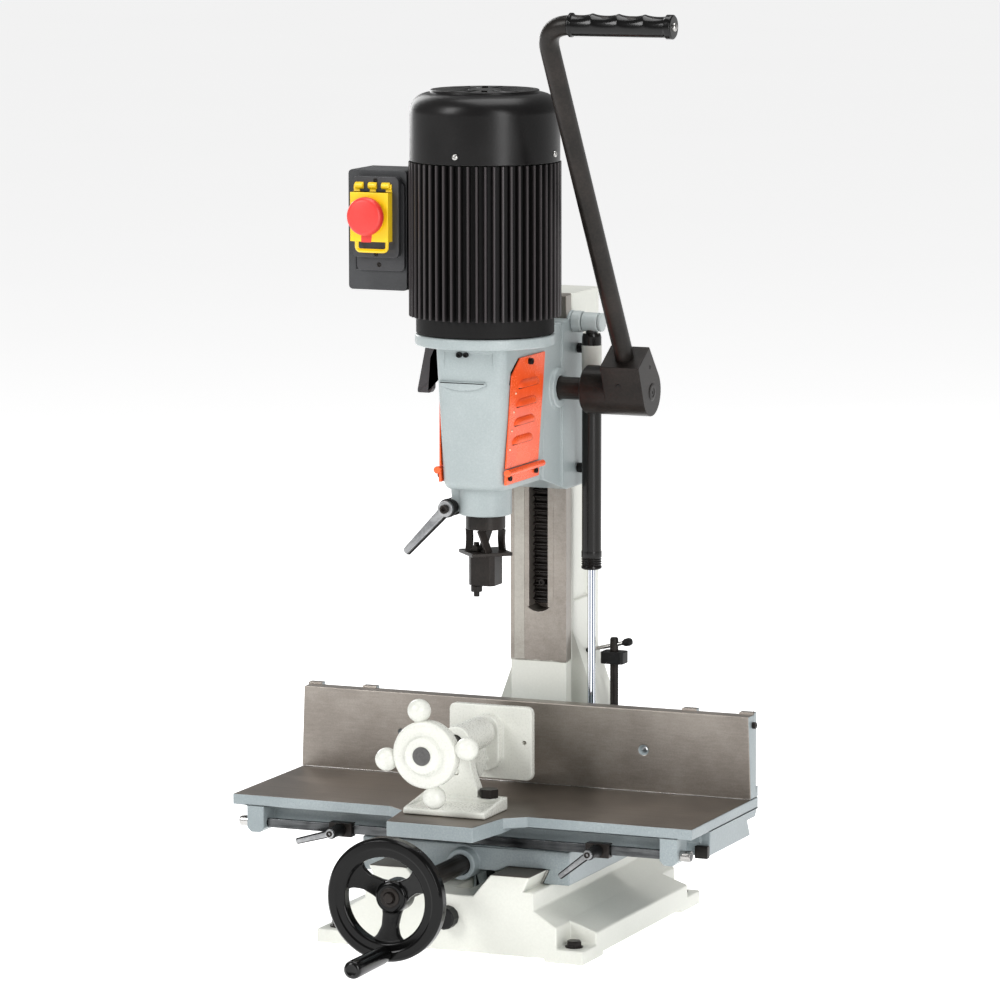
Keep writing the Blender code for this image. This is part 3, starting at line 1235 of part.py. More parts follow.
def make_chisel_holder(head):
    centre = (0, MOTOR_Y, 0)
    collar = cylinder("Z", centre, COLLAR_RADIUS, COLLAR_LOW, COLLAR_TOP - FIT, SIDES_BIG)
    spigot = cylinder("Z", centre, NECK_BORE - RUN, COLLAR_LOW, NECK_LOW + LUG_RADIUS, SIDES_BIG)
    plate = moved(box(-PLATE_HALF, PLATE_HALF, MOTOR_Y - PLATE_HALF, MOTOR_Y + PLATE_HALF,
                      PLATE_LOW, PLATE_TOP), about(centre, "Z", PLATE_TURN))
    block = prism(rounded(-BLOCK_HALF, BLOCK_HALF, MOTOR_Y - BLOCK_HALF, MOTOR_Y + BLOCK_HALF,
                          BLOCK_CHAMFER, 1), "Z", BLOCK_LOW, PLATE_TOP - CAST_SETBACK)
    struts = []
    for i in range(STRUT_COUNT):
        rings = []
        for step in range(4):
            share = step / 3
            angle = TURN * (i + 0.5) / STRUT_COUNT + STRUT_TWIST * (share - 0.5)
            height = PLATE_TOP - CAST_SETBACK + (COLLAR_LOW - PLATE_TOP + CAST_SETBACK * 2) * share
            ring = []
            for du, dr in ((-0.5, -0.35), (0.5, -0.35), (0.5, 0.35), (-0.5, 0.35)):
                radius = STRUT_SPREAD - STRUT_WIDTH * 0.35 + STRUT_WIDTH * dr
                spot = angle + STRUT_WIDTH * du / STRUT_SPREAD
                ring.append((radius * math.cos(spot), MOTOR_Y + radius * math.sin(spot), height))
            rings.append(ring)
        struts.append(loft(rings))
    body = joined(collar, spigot, plate, block, *struts)
    stud = (STUD_X, MOTOR_Y + STUD_DY, 0)
    bore = cylinder("Z", centre, CHISEL_BORE, BLOCK_LOW - OVERRUN, COLLAR_TOP + NECK_RADIUS)
    bolt = turned([
        (STUD_RADIUS * 0.8, STUD_TIP), (STUD_RADIUS * 0.8, STUD_NUT_LOW), (STUD_NUT_RADIUS, STUD_NUT_LOW),
        (STUD_NUT_RADIUS, BLOCK_LOW + CAST_SETBACK), (STUD_RADIUS, BLOCK_LOW + CAST_SETBACK),
        (STUD_RADIUS, STUD_TOP),
    ], "Z", stud, SIDES_SMALL)
    add("chisel_holder", joined(cut(body, bore), bolt), "black_oxide", head)


def make_clamp_lever(head):
    pivot = (CLAMP_X, 0, CLAMP_HEIGHT)
    carrier = empty("chisel_clamp_axis", head, (CLAMP_X, CLAMP_FRONT, CLAMP_HEIGHT))
    bolt = turned([
        (CLAMP_RADIUS, CLAMP_HUB_BACK - CLAMP_RADIUS), (CLAMP_RADIUS, LUG_REAR + FIT),
        (CLAMP_RADIUS * 1.7, LUG_REAR + FIT), (CLAMP_RADIUS * 1.7, CLAMP_REAR),
    ], "Y", pivot, SIDES_SMALL)
    hub = cylinder("Y", pivot, CLAMP_HUB_RADIUS, CLAMP_FRONT, CLAMP_HUB_BACK)
    tip = Vector((CLAMP_X - math.sin(CLAMP_ARM_LEAN) * CLAMP_ARM, CLAMP_FRONT + CLAMP_ARM_ROOT / 2,
                  CLAMP_HEIGHT - math.cos(CLAMP_ARM_LEAN) * CLAMP_ARM))
    arm = rod((CLAMP_X, CLAMP_FRONT + CLAMP_ARM_ROOT, CLAMP_HEIGHT), tip, CLAMP_ARM_ROOT, SIDES_SMALL,
              CLAMP_ARM_TIP)
    add("chisel_clamp_lever", joined(hub, arm, bolt), "satin_zinc", carrier)


def fin_outline():
    points = []
    half = TURN / FIN_COUNT * FIN_WIDTH_SHARE / 2
    for i in range(FIN_COUNT):
        angle = TURN * i / FIN_COUNT
        for offset, radius in ((-half, FIN_ROOT), (-half * 0.8, FIN_RADIUS), (half * 0.8, FIN_RADIUS),
                               (half, FIN_ROOT)):
            points.append((radius * math.cos(angle + offset), MOTOR_Y + radius * math.sin(angle + offset)))
    return points


def make_motor(head):
    centre = (0, MOTOR_Y, 0)
    low = HEAD_RING_TOP + FIT
    fins = prism(fin_outline(), "Z", FIN_LOW, FIN_TOP)
    band = cylinder("Z", centre, BAND_RADIUS, low, FIN_LOW + CAST_SETBACK, SIDES_BIG)
    bore = turned([
        (SPINDLE_RADIUS + RUN, low - OVERRUN), (SPINDLE_RADIUS + RUN, low + MOTOR_CAP),
        (STATOR_BORE, low + MOTOR_CAP), (STATOR_BORE, FIN_TOP - MOTOR_CAP),
        (SPINDLE_RADIUS + RUN, FIN_TOP - MOTOR_CAP), (SPINDLE_RADIUS + RUN, FIN_TOP + OVERRUN),
    ], "Z", centre)
    add("motor_housing", cut(joined(fins, band), bore), "black_paint", head)

    outer = [(COVER_RADIUS, COVER_LOW), (COVER_RADIUS, COVER_STRAIGHT)]
    inner = [(COVER_RADIUS - COVER_WALL, COVER_LOW - OVERRUN), (COVER_RADIUS - COVER_WALL, COVER_STRAIGHT)]
    rise = COVER_TOP - COVER_STRAIGHT
    for i in range(1, 5):
        angle = TURN / 4 * i / 4
        along = COVER_STRAIGHT + rise * math.sin(angle)
        radius = COVER_RADIUS - COVER_SHOULDER * (1 - math.cos(angle))
        outer.append((radius, along))
        inner.append((radius - COVER_WALL, along - COVER_WALL * math.sin(angle)))
    shell = turned(outer, "Z", centre, SIDES_BIG)
    disc = cylinder("Z", centre, GRILLE_RADIUS, COVER_TOP - CAST_SETBACK, COVER_TOP + GRILLE_HEIGHT,
                    SIDES_BIG)
    hollow = turned(inner, "Z", centre, SIDES_BIG)
    slots = []
    for i in range(GRILLE_SLOTS):
        slot = box(GRILLE_INNER, GRILLE_OUTER, MOTOR_Y - GRILLE_SLOT_WIDTH / 2,
                   MOTOR_Y + GRILLE_SLOT_WIDTH / 2, COVER_TOP - OVERRUN, COVER_TOP + GRILLE_HEIGHT + OVERRUN)
        slots.append(moved(slot, about(centre, "Z", TURN * (i + 0.5) / GRILLE_SLOTS)))
    add("fan_cover", cut(joined(shell, disc), hollow, *slots), "black_paint", head)


def make_spindle(head):
    centre = (0, MOTOR_Y, 0)
    carrier = empty("spindle_axis", head, centre)
    rotor = turned([
        (SPINDLE_RADIUS, SPINDLE_LOW), (SPINDLE_RADIUS, ROTOR_LOW), (ROTOR_RADIUS, ROTOR_LOW),
        (ROTOR_RADIUS, ROTOR_TOP), (SPINDLE_RADIUS, ROTOR_TOP), (SPINDLE_RADIUS, SPINDLE_TOP),
    ], "Z", centre)
    add("motor_rotor", rotor, "bright_steel", carrier)
    fan = cylinder("Z", centre, FAN_RADIUS, FAN_HEIGHT, FAN_HEIGHT + FAN_THICKNESS)
    hub = cylinder("Z", centre, FAN_HUB_RADIUS, FAN_HEIGHT, FAN_HEIGHT + FAN_BLADE_HEIGHT)
    blades = []
    for i in range(FAN_BLADES):
        blade = box(FAN_HUB_RADIUS - FAN_BLADE_WIDTH, FAN_RADIUS - FAN_BLADE_WIDTH,
                    MOTOR_Y - FAN_BLADE_WIDTH / 2, MOTOR_Y + FAN_BLADE_WIDTH / 2,
                    FAN_HEIGHT + CAST_SETBACK, FAN_HEIGHT + FAN_BLADE_HEIGHT + CAST_SETBACK)
        blades.append(moved(blade, about(centre, "Z", TURN * i / FAN_BLADES)))
    bore = cylinder("Z", centre, SPINDLE_RADIUS + FIT, FAN_HEIGHT - OVERRUN,
                    FAN_HEIGHT + FAN_BLADE_HEIGHT + OVERRUN)
    add("cooling_fan", cut(joined(fan, hub, *blades), bore), "black_plastic", carrier)
    chuck = turned([
        (CHUCK_NOSE_RADIUS, CHUCK_BOTTOM), (CHUCK_RADIUS, CHUCK_BOTTOM + CHUCK_RADIUS),
        (CHUCK_RADIUS, SPINDLE_LOW + CHUCK_NOSE_RADIUS - CAST_SETBACK * 2),
        (CHUCK_RADIUS * 0.8, SPINDLE_LOW + CHUCK_NOSE_RADIUS),
    ], "Z", centre)
    jaws = cylinder("Z", centre, SPINDLE_RADIUS * 0.8, CHUCK_BOTTOM - OVERRUN, CHUCK_BOTTOM + CHUCK_RADIUS)
    seat = cylinder("Z", centre, SPINDLE_RADIUS + FIT, SPINDLE_LOW - FIT, SPINDLE_LOW + CHUCK_RADIUS)
    add("drill_chuck", cut(chuck, jaws, seat), "bright_steel", carrier)


def make_switch(head):
    front = SWITCH_FRONT
    case = prism(rounded(SWITCH_LEFT, SWITCH_RIGHT, SWITCH_LOW, SWITCH_TOP, SWITCH_CORNER), "Y",
                 front, SWITCH_REAR)
    motor_clear = cylinder("Z", (0, MOTOR_Y, 0), (FIN_RADIUS + FIT) / math.cos(math.pi / SIDES_BIG),
                           SWITCH_LOW - OVERRUN, SWITCH_TOP + OVERRUN, SIDES_BIG)
    hollow = box(PLATE_LEFT + SWITCH_WALL, PLATE_RIGHT - SWITCH_WALL * 2,
                 front - OVERRUN, SWITCH_REAR - SWITCH_WALL,
                 SWITCH_PLATE_LOW + SWITCH_WALL, SWITCH_PLATE_TOP - SWITCH_WALL)
    gland_hole = cylinder("Y", (GLAND_X, 0, GLAND_HEIGHT + GLAND_RADIUS), GLAND_BORE + SWITCH_WALL / 2 + FIT,
                          SWITCH_REAR - SWITCH_WALL - OVERRUN, SWITCH_REAR + OVERRUN, SIDES_SMALL)
    add("switch_box", cut(case, motor_clear, hollow, gland_hole), "black_paint", head)
    gland = joined(
        cylinder("Y", (GLAND_X, 0, GLAND_HEIGHT + GLAND_RADIUS), GLAND_RADIUS, SWITCH_REAR + FIT,
                 SWITCH_REAR + GLAND_LENGTH, 6),
        cylinder("Y", (GLAND_X, 0, GLAND_HEIGHT + GLAND_RADIUS), GLAND_BORE + SWITCH_WALL / 2,
                 SWITCH_REAR - SWITCH_WALL, SWITCH_REAR + SWITCH_WALL, SIDES_SMALL))
    gland_bore = cylinder("Y", (GLAND_X, 0, GLAND_HEIGHT + GLAND_RADIUS), GLAND_BORE,
                          SWITCH_REAR - SWITCH_WALL * 2, SWITCH_REAR + GLAND_LENGTH + OVERRUN, SIDES_SMALL)
    add("cable_gland", cut(gland, gland_bore), "black_plastic", head)

    plate_front = front - FIT - SWITCH_PLATE_THICKNESS
    plate = prism(rounded(PLATE_LEFT, PLATE_RIGHT, SWITCH_PLATE_LOW, SWITCH_PLATE_TOP, SWITCH_CORNER),
                  "Y", plate_front, front - FIT)
    start_hole = cylinder("Y", (START_X, 0, START_HEIGHT), START_RADIUS + RUN, plate_front - OVERRUN,
                          front + OVERRUN, SIDES_SMALL)
    ears = []
    pivot_z = FLAP_TOP + FLAP_PIVOT_DROP
    pivot_y = plate_front - FLAP_PIVOT_INSET
    middle = (FLAP_LEFT + FLAP_RIGHT) / 2
    for x in (middle - FLAP_EAR_OFFSET, middle + FLAP_EAR_OFFSET):
        ears.append(box(x - FLAP_WALL, x + FLAP_WALL, pivot_y - FLAP_WALL, plate_front + FIT,
                        pivot_z - FLAP_WALL, pivot_z + FLAP_WALL))
    pin = cylinder("X", (0, pivot_y, pivot_z), FLAP_WALL * 0.7, FLAP_LEFT + FLAP_WALL,
                   FLAP_RIGHT - FLAP_WALL, SIDES_SMALL)
    add("switch_plate", cut(joined(plate, *ears, pin), start_hole), "black_plastic", head)

    carrier = empty("switch_flap_axis", head, (middle, pivot_y, pivot_z))
    flap_front = plate_front - FLAP_DEPTH
    flap_back = plate_front - FIT * 2
    shell = box(FLAP_LEFT, FLAP_RIGHT, flap_front, flap_back, FLAP_LOW, FLAP_TOP)
    hollow = box(FLAP_LEFT + FLAP_WALL, FLAP_RIGHT - FLAP_WALL, flap_front + FLAP_WALL,
                 flap_back + OVERRUN, FLAP_LOW + FLAP_WALL, FLAP_TOP - FLAP_WALL)
    shell = cut(shell, hollow)
    barrels = []
    thirds = (FLAP_LEFT + FLAP_WALL * 1.5, middle, FLAP_RIGHT - FLAP_WALL * 1.5)
    for x in thirds:
        barrels.append(cylinder("X", (x, pivot_y, pivot_z), FLAP_BARREL_RADIUS, -FLAP_BARREL_HALF,
                                FLAP_BARREL_HALF, SIDES_SMALL))
        barrels.append(box(x - FLAP_BARREL_HALF, x + FLAP_BARREL_HALF, pivot_y - FLAP_BARREL_HALF,
                           pivot_y + FLAP_BARREL_HALF, FLAP_TOP - FLAP_WALL, pivot_z))
    loop = prism([
        (middle - FLAP_LOOP_HALF, FLAP_LOW + FLAP_WALL), (middle - FLAP_LOOP_HALF, FLAP_LOW - FLAP_LOOP_DROP),
        (middle + FLAP_LOOP_HALF, FLAP_LOW - FLAP_LOOP_DROP), (middle + FLAP_LOOP_HALF, FLAP_LOW + FLAP_WALL),
    ], "Y", flap_front, flap_front + FLAP_LOOP_WIDTH)
    loop_hole = box(middle - FLAP_LOOP_HALF + FLAP_WALL * 1.4, middle + FLAP_LOOP_HALF - FLAP_WALL * 1.4,
                    flap_front - OVERRUN, flap_front + FLAP_LOOP_WIDTH + OVERRUN,
                    FLAP_LOW - FLAP_LOOP_DROP + FLAP_WALL * 1.4, FLAP_LOW)
    pin_hole = cylinder("X", (0, pivot_y, pivot_z), FLAP_WALL * 0.7 + FIT, FLAP_LEFT - OVERRUN,
                        FLAP_RIGHT + OVERRUN, SIDES_SMALL)
    stop_hole = cylinder("Y", (STOP_X, 0, STOP_HEIGHT), STOP_NECK_RADIUS + RUN, flap_front - OVERRUN,
                         flap_front + FLAP_WALL + OVERRUN)
    add("switch_cover", cut(joined(shell, loop, *barrels), pin_hole, loop_hole, stop_hole),
        "yellow_plastic", carrier)

    slide = empty("stop_button_axis", carrier, (STOP_X, flap_front, STOP_HEIGHT))
    gap = STOP_TRAVEL + FIT * 2
    dome = STOP_LENGTH - gap
    button = turned([
        (STOP_RADIUS * 0.55, -STOP_LENGTH), (STOP_RADIUS * 0.85, -STOP_LENGTH + dome * 0.2),
        (STOP_RADIUS, -STOP_LENGTH + dome * 0.55), (STOP_RADIUS, -gap - CAST_SETBACK),
        (STOP_NECK_RADIUS * 1.2, -gap), (STOP_NECK_RADIUS, -gap),
        (STOP_NECK_RADIUS, FLAP_WALL + STOP_TRAVEL / 2),
    ], "Y", (STOP_X, flap_front, STOP_HEIGHT), SIDES_BIG)
    add("stop_button", button, "red_plastic", slide)
    start = cylinder("Y", (START_X, 0, START_HEIGHT), START_RADIUS, plate_front - START_LENGTH / 2,
                     front + START_LENGTH / 2, SIDES_SMALL)
    press = empty("start_button_axis", head, (START_X, plate_front, START_HEIGHT))
    add("start_button", start, "green_plastic", press)


def saddle_outline():
    """Section of the saddle across the bed: it straddles the base's dovetail ways."""
    gap = RUN
    return [
        (-SADDLE_HALF, SADDLE_TOP), (-SADDLE_HALF, SADDLE_LOW), (-base_flank(SADDLE_LOW) - gap, SADDLE_LOW),
        (-base_flank(WAY_HEIGHT + FIT) - gap, WAY_HEIGHT + FIT), (-WAY_INNER_HALF + gap, WAY_HEIGHT + FIT),
        (-WAY_INNER_HALF + SLEEVE_RADIUS, WAY_HEIGHT - SLEEVE_RADIUS / 2),
        (WAY_INNER_HALF - SLEEVE_RADIUS, WAY_HEIGHT - SLEEVE_RADIUS / 2),
        (WAY_INNER_HALF - gap, WAY_HEIGHT + FIT),
        (base_flank(WAY_HEIGHT + FIT) + gap + SADDLE_GIB, WAY_HEIGHT + FIT),
        (base_flank(SADDLE_LOW) + gap + SADDLE_GIB, SADDLE_LOW),
        (SADDLE_HALF, SADDLE_LOW), (SADDLE_HALF, SADDLE_TOP),
    ]


def make_saddle(saddle):
    body = prism(saddle_outline(), "Y", SADDLE_FRONT, SADDLE_REAR)
    low = SADDLE_TOP - CAST_SETBACK
    table_way = prism([
        (TABLE_WAY_FRONT + table_flank(low), low), (TABLE_WAY_REAR - table_flank(low), low),
        (TABLE_WAY_REAR, TABLE_WAY_TOP), (TABLE_WAY_FRONT, TABLE_WAY_TOP),
    ], "X", -SADDLE_HALF, SADDLE_HALF)
    boss_radius = SLEEVE_RADIUS + SLEEVE_HOLE_WALL
    boss = cylinder("Y", (0, 0, WHEEL_HEIGHT), boss_radius, BOSS_FRONT, SADDLE_FRONT + OVERRUN)
    tube = cylinder("Y", (0, 0, WHEEL_HEIGHT), boss_radius, SADDLE_FRONT, SADDLE_REAR)
    nut = box(-NUT_HALF, NUT_HALF, NUT_FRONT, NUT_REAR, NUT_LOW, WAY_HEIGHT)
    body = joined(body, table_way, boss, tube, nut)
    bore = cylinder("Y", (0, 0, WHEEL_HEIGHT), SLEEVE_RADIUS + RUN, BOSS_FRONT - OVERRUN,
                    TABLE_PINION_Y + TABLE_PINION_HALF + SLEEVE_RADIUS)
    nut_bore = cylinder("Y", (0, 0, CROSS_HEIGHT), CROSS_RADIUS + RUN, NUT_FRONT - OVERRUN,
                        NUT_REAR + OVERRUN, SIDES_SMALL)
    reach = WHEEL_PINION_RADIUS + TABLE_MODULE + CHAMBER_GAP
    pit = box(-reach, reach, TABLE_PINION_Y - TABLE_PINION_HALF - CHAMBER_GAP,
              TABLE_PINION_Y + TABLE_PINION_HALF + CHAMBER_GAP, WHEEL_HEIGHT, TABLE_WAY_TOP + OVERRUN)
    lower_pit = cylinder("Y", (0, 0, WHEEL_HEIGHT), reach,
                         TABLE_PINION_Y - TABLE_PINION_HALF - CHAMBER_GAP,
                         TABLE_PINION_Y + TABLE_PINION_HALF + CHAMBER_GAP)
    groove = box(-SADDLE_HALF - OVERRUN, SADDLE_HALF + OVERRUN, TABLE_PINION_Y - TABLE_RACK_WIDTH - RUN * 2,
                 TABLE_PINION_Y + TABLE_RACK_WIDTH + RUN * 2,
                 TABLE_RACK_PITCH - TABLE_MODULE * 2, TABLE_WAY_TOP + OVERRUN)
    add("saddle_casting", cut(body, bore, nut_bore, pit, lower_pit, groove), "hammered_grey", saddle)
    gib_low = SADDLE_LOW + FIT
    gib_top = WAY_HEIGHT - RUN
    thick = SADDLE_GIB - RUN
    gib = prism([
        (base_flank(gib_low) + RUN, gib_low), (base_flank(gib_low) + RUN + thick, gib_low),
        (base_flank(gib_top) + RUN + thick, gib_top), (base_flank(gib_top) + RUN, gib_top),
    ], "Y", SADDLE_FRONT + CAST_SETBACK, SADDLE_REAR - CAST_SETBACK)
    add("saddle_gib", gib, "bright_steel", saddle)


def make_handwheel(saddle):
    centre = (0, 0, WHEEL_HEIGHT)
    carrier = empty("handwheel_axis", saddle, (0, WHEEL_HUB_FRONT, WHEEL_HEIGHT))
    shaft = turned([
        (WHEEL_PIN_RADIUS * 2, WHEEL_HUB_FRONT + CAST_SETBACK), (WHEEL_PIN_RADIUS * 2, WHEEL_HUB_REAR + FIT),
        (SLEEVE_RADIUS, WHEEL_HUB_REAR + FIT),
        (SLEEVE_RADIUS, TABLE_PINION_Y - TABLE_PINION_HALF - CHAMBER_GAP),
        (WHEEL_PIN_RADIUS * 1.6, TABLE_PINION_Y - TABLE_PINION_HALF - CHAMBER_GAP),
        (WHEEL_PIN_RADIUS * 1.6, TABLE_PINION_Y + TABLE_PINION_HALF + SLEEVE_RADIUS / 2),
    ], "Y", centre)
    outline = gear_outline(0, WHEEL_HEIGHT, TABLE_PINION_TEETH, TABLE_MODULE, TURN / 4)
    pinion = prism(outline, "Y", TABLE_PINION_Y - TABLE_PINION_HALF, TABLE_PINION_Y + TABLE_PINION_HALF)
    add("handwheel_shaft", joined(shaft, pinion), "black_oxide", carrier)

    rim = torus((0, WHEEL_RIM_Y, WHEEL_HEIGHT), WHEEL_RIM_MAJOR, WHEEL_RIM_MINOR)
    hub = cylinder("Y", centre, WHEEL_HUB_RADIUS, WHEEL_HUB_FRONT, WHEEL_HUB_REAR)
    hub_y = (WHEEL_HUB_FRONT + WHEEL_HUB_REAR) / 2
    spokes = []
    for i in range(WHEEL_SPOKES):
        inner = WHEEL_HUB_RADIUS * 0.7
        spoke = loft([
            [(-SPOKE_WIDTH * 0.6, hub_y - SPOKE_THICKNESS / 2, WHEEL_HEIGHT - inner),
             (SPOKE_WIDTH * 0.6, hub_y - SPOKE_THICKNESS / 2, WHEEL_HEIGHT - inner),
             (SPOKE_WIDTH * 0.6, hub_y + SPOKE_THICKNESS / 2, WHEEL_HEIGHT - inner),
             (-SPOKE_WIDTH * 0.6, hub_y + SPOKE_THICKNESS / 2, WHEEL_HEIGHT - inner)],
            [(-SPOKE_WIDTH / 2, WHEEL_RIM_Y - SPOKE_THICKNESS / 2, WHEEL_HEIGHT - WHEEL_RIM_MAJOR),
             (SPOKE_WIDTH / 2, WHEEL_RIM_Y - SPOKE_THICKNESS / 2, WHEEL_HEIGHT - WHEEL_RIM_MAJOR),
             (SPOKE_WIDTH / 2, WHEEL_RIM_Y + SPOKE_THICKNESS / 2, WHEEL_HEIGHT - WHEEL_RIM_MAJOR),
             (-SPOKE_WIDTH / 2, WHEEL_RIM_Y + SPOKE_THICKNESS / 2, WHEEL_HEIGHT - WHEEL_RIM_MAJOR)],
        ])
        spokes.append(moved(spoke, about(centre, "Y", TURN * i / WHEEL_SPOKES)))
    bore = cylinder("Y", centre, WHEEL_PIN_RADIUS * 2 + FIT, WHEEL_HUB_FRONT - OVERRUN,
                    WHEEL_HUB_REAR + OVERRUN, SIDES_SMALL)
    rim_low = WHEEL_HEIGHT - WHEEL_RIM_MAJOR
    start = WHEEL_RIM_Y - WHEEL_RIM_MINOR - WHEEL_GRIP_GAP
    end = start - WHEEL_GRIP_LENGTH
    pin = turned([
        (WHEEL_PIN_RADIUS, WHEEL_RIM_Y), (WHEEL_PIN_RADIUS, end - FIT),
        (WHEEL_PIN_RADIUS * 1.5, end - FIT), (WHEEL_PIN_RADIUS * 1.5, end - WHEEL_PIN_RADIUS),
    ], "Y", (0, 0, rim_low), SIDES_SMALL)
    add("handwheel", cut(joined(rim, hub, pin, *spokes), bore), "black_plastic", carrier)

    spin = empty("handwheel_grip_axis", carrier, (0, start, rim_low))
    grip = turned([
        (WHEEL_GRIP_WAIST, start), (WHEEL_GRIP_RADIUS * 0.95, start - WHEEL_GRIP_LENGTH * 0.25),
        (WHEEL_GRIP_RADIUS, start - WHEEL_GRIP_LENGTH * 0.6),
        (WHEEL_GRIP_RADIUS, start - WHEEL_GRIP_LENGTH * 0.92), (WHEEL_GRIP_WAIST, end),
    ], "Y", (0, 0, rim_low))
    bore = cylinder("Y", (0, 0, rim_low), WHEEL_PIN_RADIUS + RUN, end - OVERRUN, start + OVERRUN, SIDES_SMALL)
    add("handwheel_grip", cut(grip, bore), "black_plastic", spin)


def torus(centre, major, minor):
    """Rim about a line along Y; its section is flattened across the wheel."""
    cx, cy, cz = centre
    bm = bmesh.new()
    rings = []
    for i in range(SIDES_BIG):
        angle = TURN * i / SIDES_BIG
        ring = []
        for j in range(10):
            bend = TURN * j / 10
            radius = major + minor * math.cos(bend)
            ring.append(bm.verts.new((cx + radius * math.cos(angle), cy + minor * math.sin(bend),
                                      cz + radius * math.sin(angle))))
        rings.append(ring)
    for i in range(SIDES_BIG):
        near, far = rings[i], rings[(i + 1) % SIDES_BIG]
        for j in range(10):
            k = (j + 1) % 10
            bm.faces.new((near[j], near[k], far[k], far[j]))
    return to_mesh(bm)


def table_outline():
    """Table seen from above, with the vice tongue at the front."""
    return mirrored([
        (TONGUE_FRONT_HALF, TONGUE_FRONT),
        (TONGUE_ROOT_HALF, TONGUE_ROOT),
        (TONGUE_FLARE_HALF, TABLE_FRONT),
        (TABLE_HALF, TABLE_FRONT),
        (TABLE_HALF, TABLE_REAR),
    ])


def make_table(table):
    plate = prism(table_outline(), "Z", TABLE_UNDERSIDE, TABLE_TOP)
    tongue = prism(mirrored([
        (TONGUE_FRONT_HALF, TONGUE_FRONT), (TONGUE_ROOT_HALF, TONGUE_ROOT),
        (TONGUE_ROOT_HALF, TABLE_FRONT + TONGUE_THICKNESS),
    ]), "Z", TABLE_TOP - TONGUE_THICKNESS, TABLE_TOP)
    gap = RUN
    rail_top = TABLE_WAY_TOP + FIT
    front_way = TABLE_WAY_FRONT - gap - TABLE_GIB
    rear_way = TABLE_WAY_REAR + gap
    rear_top = TABLE_UNDERSIDE + CAST_SETBACK
    rails = [
        prism([
            (RAIL_FRONT, TABLE_UNDERSIDE + CAST_SETBACK), (RAIL_FRONT, RAIL_LOW),
            (front_way + table_flank(RAIL_LOW), RAIL_LOW), (front_way + table_flank(rail_top), rail_top),
            (front_way, TABLE_UNDERSIDE + CAST_SETBACK),
        ], "X", -CHEEK_INNER, CHEEK_INNER),
        prism([
            (rear_way, TABLE_UNDERSIDE + CAST_SETBACK), (rear_way - table_flank(rail_top), rail_top),
            (rear_way - table_flank(RAIL_LOW), RAIL_LOW), (RAIL_REAR, RAIL_LOW),
            (RAIL_REAR, TABLE_UNDERSIDE + CAST_SETBACK),
        ], "X", -RAIL_HALF, RAIL_HALF),
    ]
    seat_low = TABLE_WAY_TOP + FIT
    seat = box(-RAIL_HALF, RAIL_HALF, TABLE_WAY_FRONT - gap - TABLE_GIB, TABLE_WAY_REAR + gap,
               seat_low, TABLE_UNDERSIDE + CAST_SETBACK)
    lugs = []
    for side in (-1, 1):
        x = side * STOP_LUG_X
        lugs.append(prism([
            (x - STOP_LUG_HALF, rear_top), (x - STOP_LUG_HALF, STOP_LUG_LOW + STOP_LUG_CORNER),
            (x - STOP_LUG_HALF + STOP_LUG_CORNER, STOP_LUG_LOW), (x + STOP_LUG_HALF - STOP_LUG_CORNER, STOP_LUG_LOW),
            (x + STOP_LUG_HALF, STOP_LUG_LOW + STOP_LUG_CORNER), (x + STOP_LUG_HALF, rear_top),
        ], "Y", TABLE_FRONT + FIT, RAIL_FRONT + CAST_SETBACK))
    cheeks = []
    for side in (-1, 1):
        x0, x1 = sorted((side * CHEEK_INNER, side * (TABLE_HALF - FIT)))
        cheeks.append(prism([
            (CHEEK_FRONT, CHEEK_LOW), (CHEEK_REAR, CHEEK_LOW), (CHEEK_NOTCH_FRONT, CHEEK_NOTCH),
            (CHEEK_TAIL, CHEEK_NOTCH), (TABLE_REAR - FIT, rear_top), (TABLE_WAY_FRONT, rear_top),
        ], "X", x0, x1))
    body = joined(plate, tongue, seat, *rails, *lugs, *cheeks)
    groove = box(-TABLE_RACK_HALF - RUN, TABLE_RACK_HALF + RUN, TABLE_PINION_Y - TABLE_RACK_WIDTH - FIT,
                 TABLE_PINION_Y + TABLE_RACK_WIDTH + FIT, seat_low - OVERRUN, TABLE_UNDERSIDE - CAST_SETBACK)
    holes = []
    for side in (-1, 1):
        x = side * STOP_LUG_X
        reach = STOP_LUG_HALF + OVERRUN
        holes.append(cylinder("X", (0, (BAR_FRONT + BAR_BACK) / 2, (BAR_TOP + BAR_LOW) / 2),
                              END_BOLT_RADIUS / 2 + RUN, x - reach, x + reach, SIDES_SMALL))
    holes.append(cylinder("Z", (HOLD_BOLT_X, HOLD_BOLT_Y, 0), HOLD_BOLT_RADIUS + RUN,
                          TABLE_UNDERSIDE - OVERRUN, TABLE_TOP + OVERRUN, SIDES_SMALL))
    add("table_casting", cut(body, groove, *holes), "machined_iron", table)
    ceiling = TABLE_UNDERSIDE - CAST_SETBACK - FIT
    outline = rack_outline(-TABLE_RACK_HALF, TABLE_RACK_HALF, TABLE_RACK_PITCH, ceiling, TABLE_MODULE, 0.0)
    rack = prism(outline, "Y", TABLE_PINION_Y - TABLE_RACK_WIDTH, TABLE_PINION_Y + TABLE_RACK_WIDTH)
    add("table_rack", rack, "bright_steel", table)
    gib_low = RAIL_LOW + FIT
    gib_top = TABLE_WAY_TOP - FIT
    near = TABLE_WAY_FRONT - gap
    far = near - TABLE_GIB + RUN
    gib = prism([
        (near + table_flank(gib_low), gib_low), (far + table_flank(gib_low), gib_low),
        (far + table_flank(gib_top), gib_top), (near + table_flank(gib_top), gib_top),
    ], "X", FIT - CHEEK_INNER, CHEEK_INNER - FIT)
    add("table_gib", gib, "bright_steel", table)


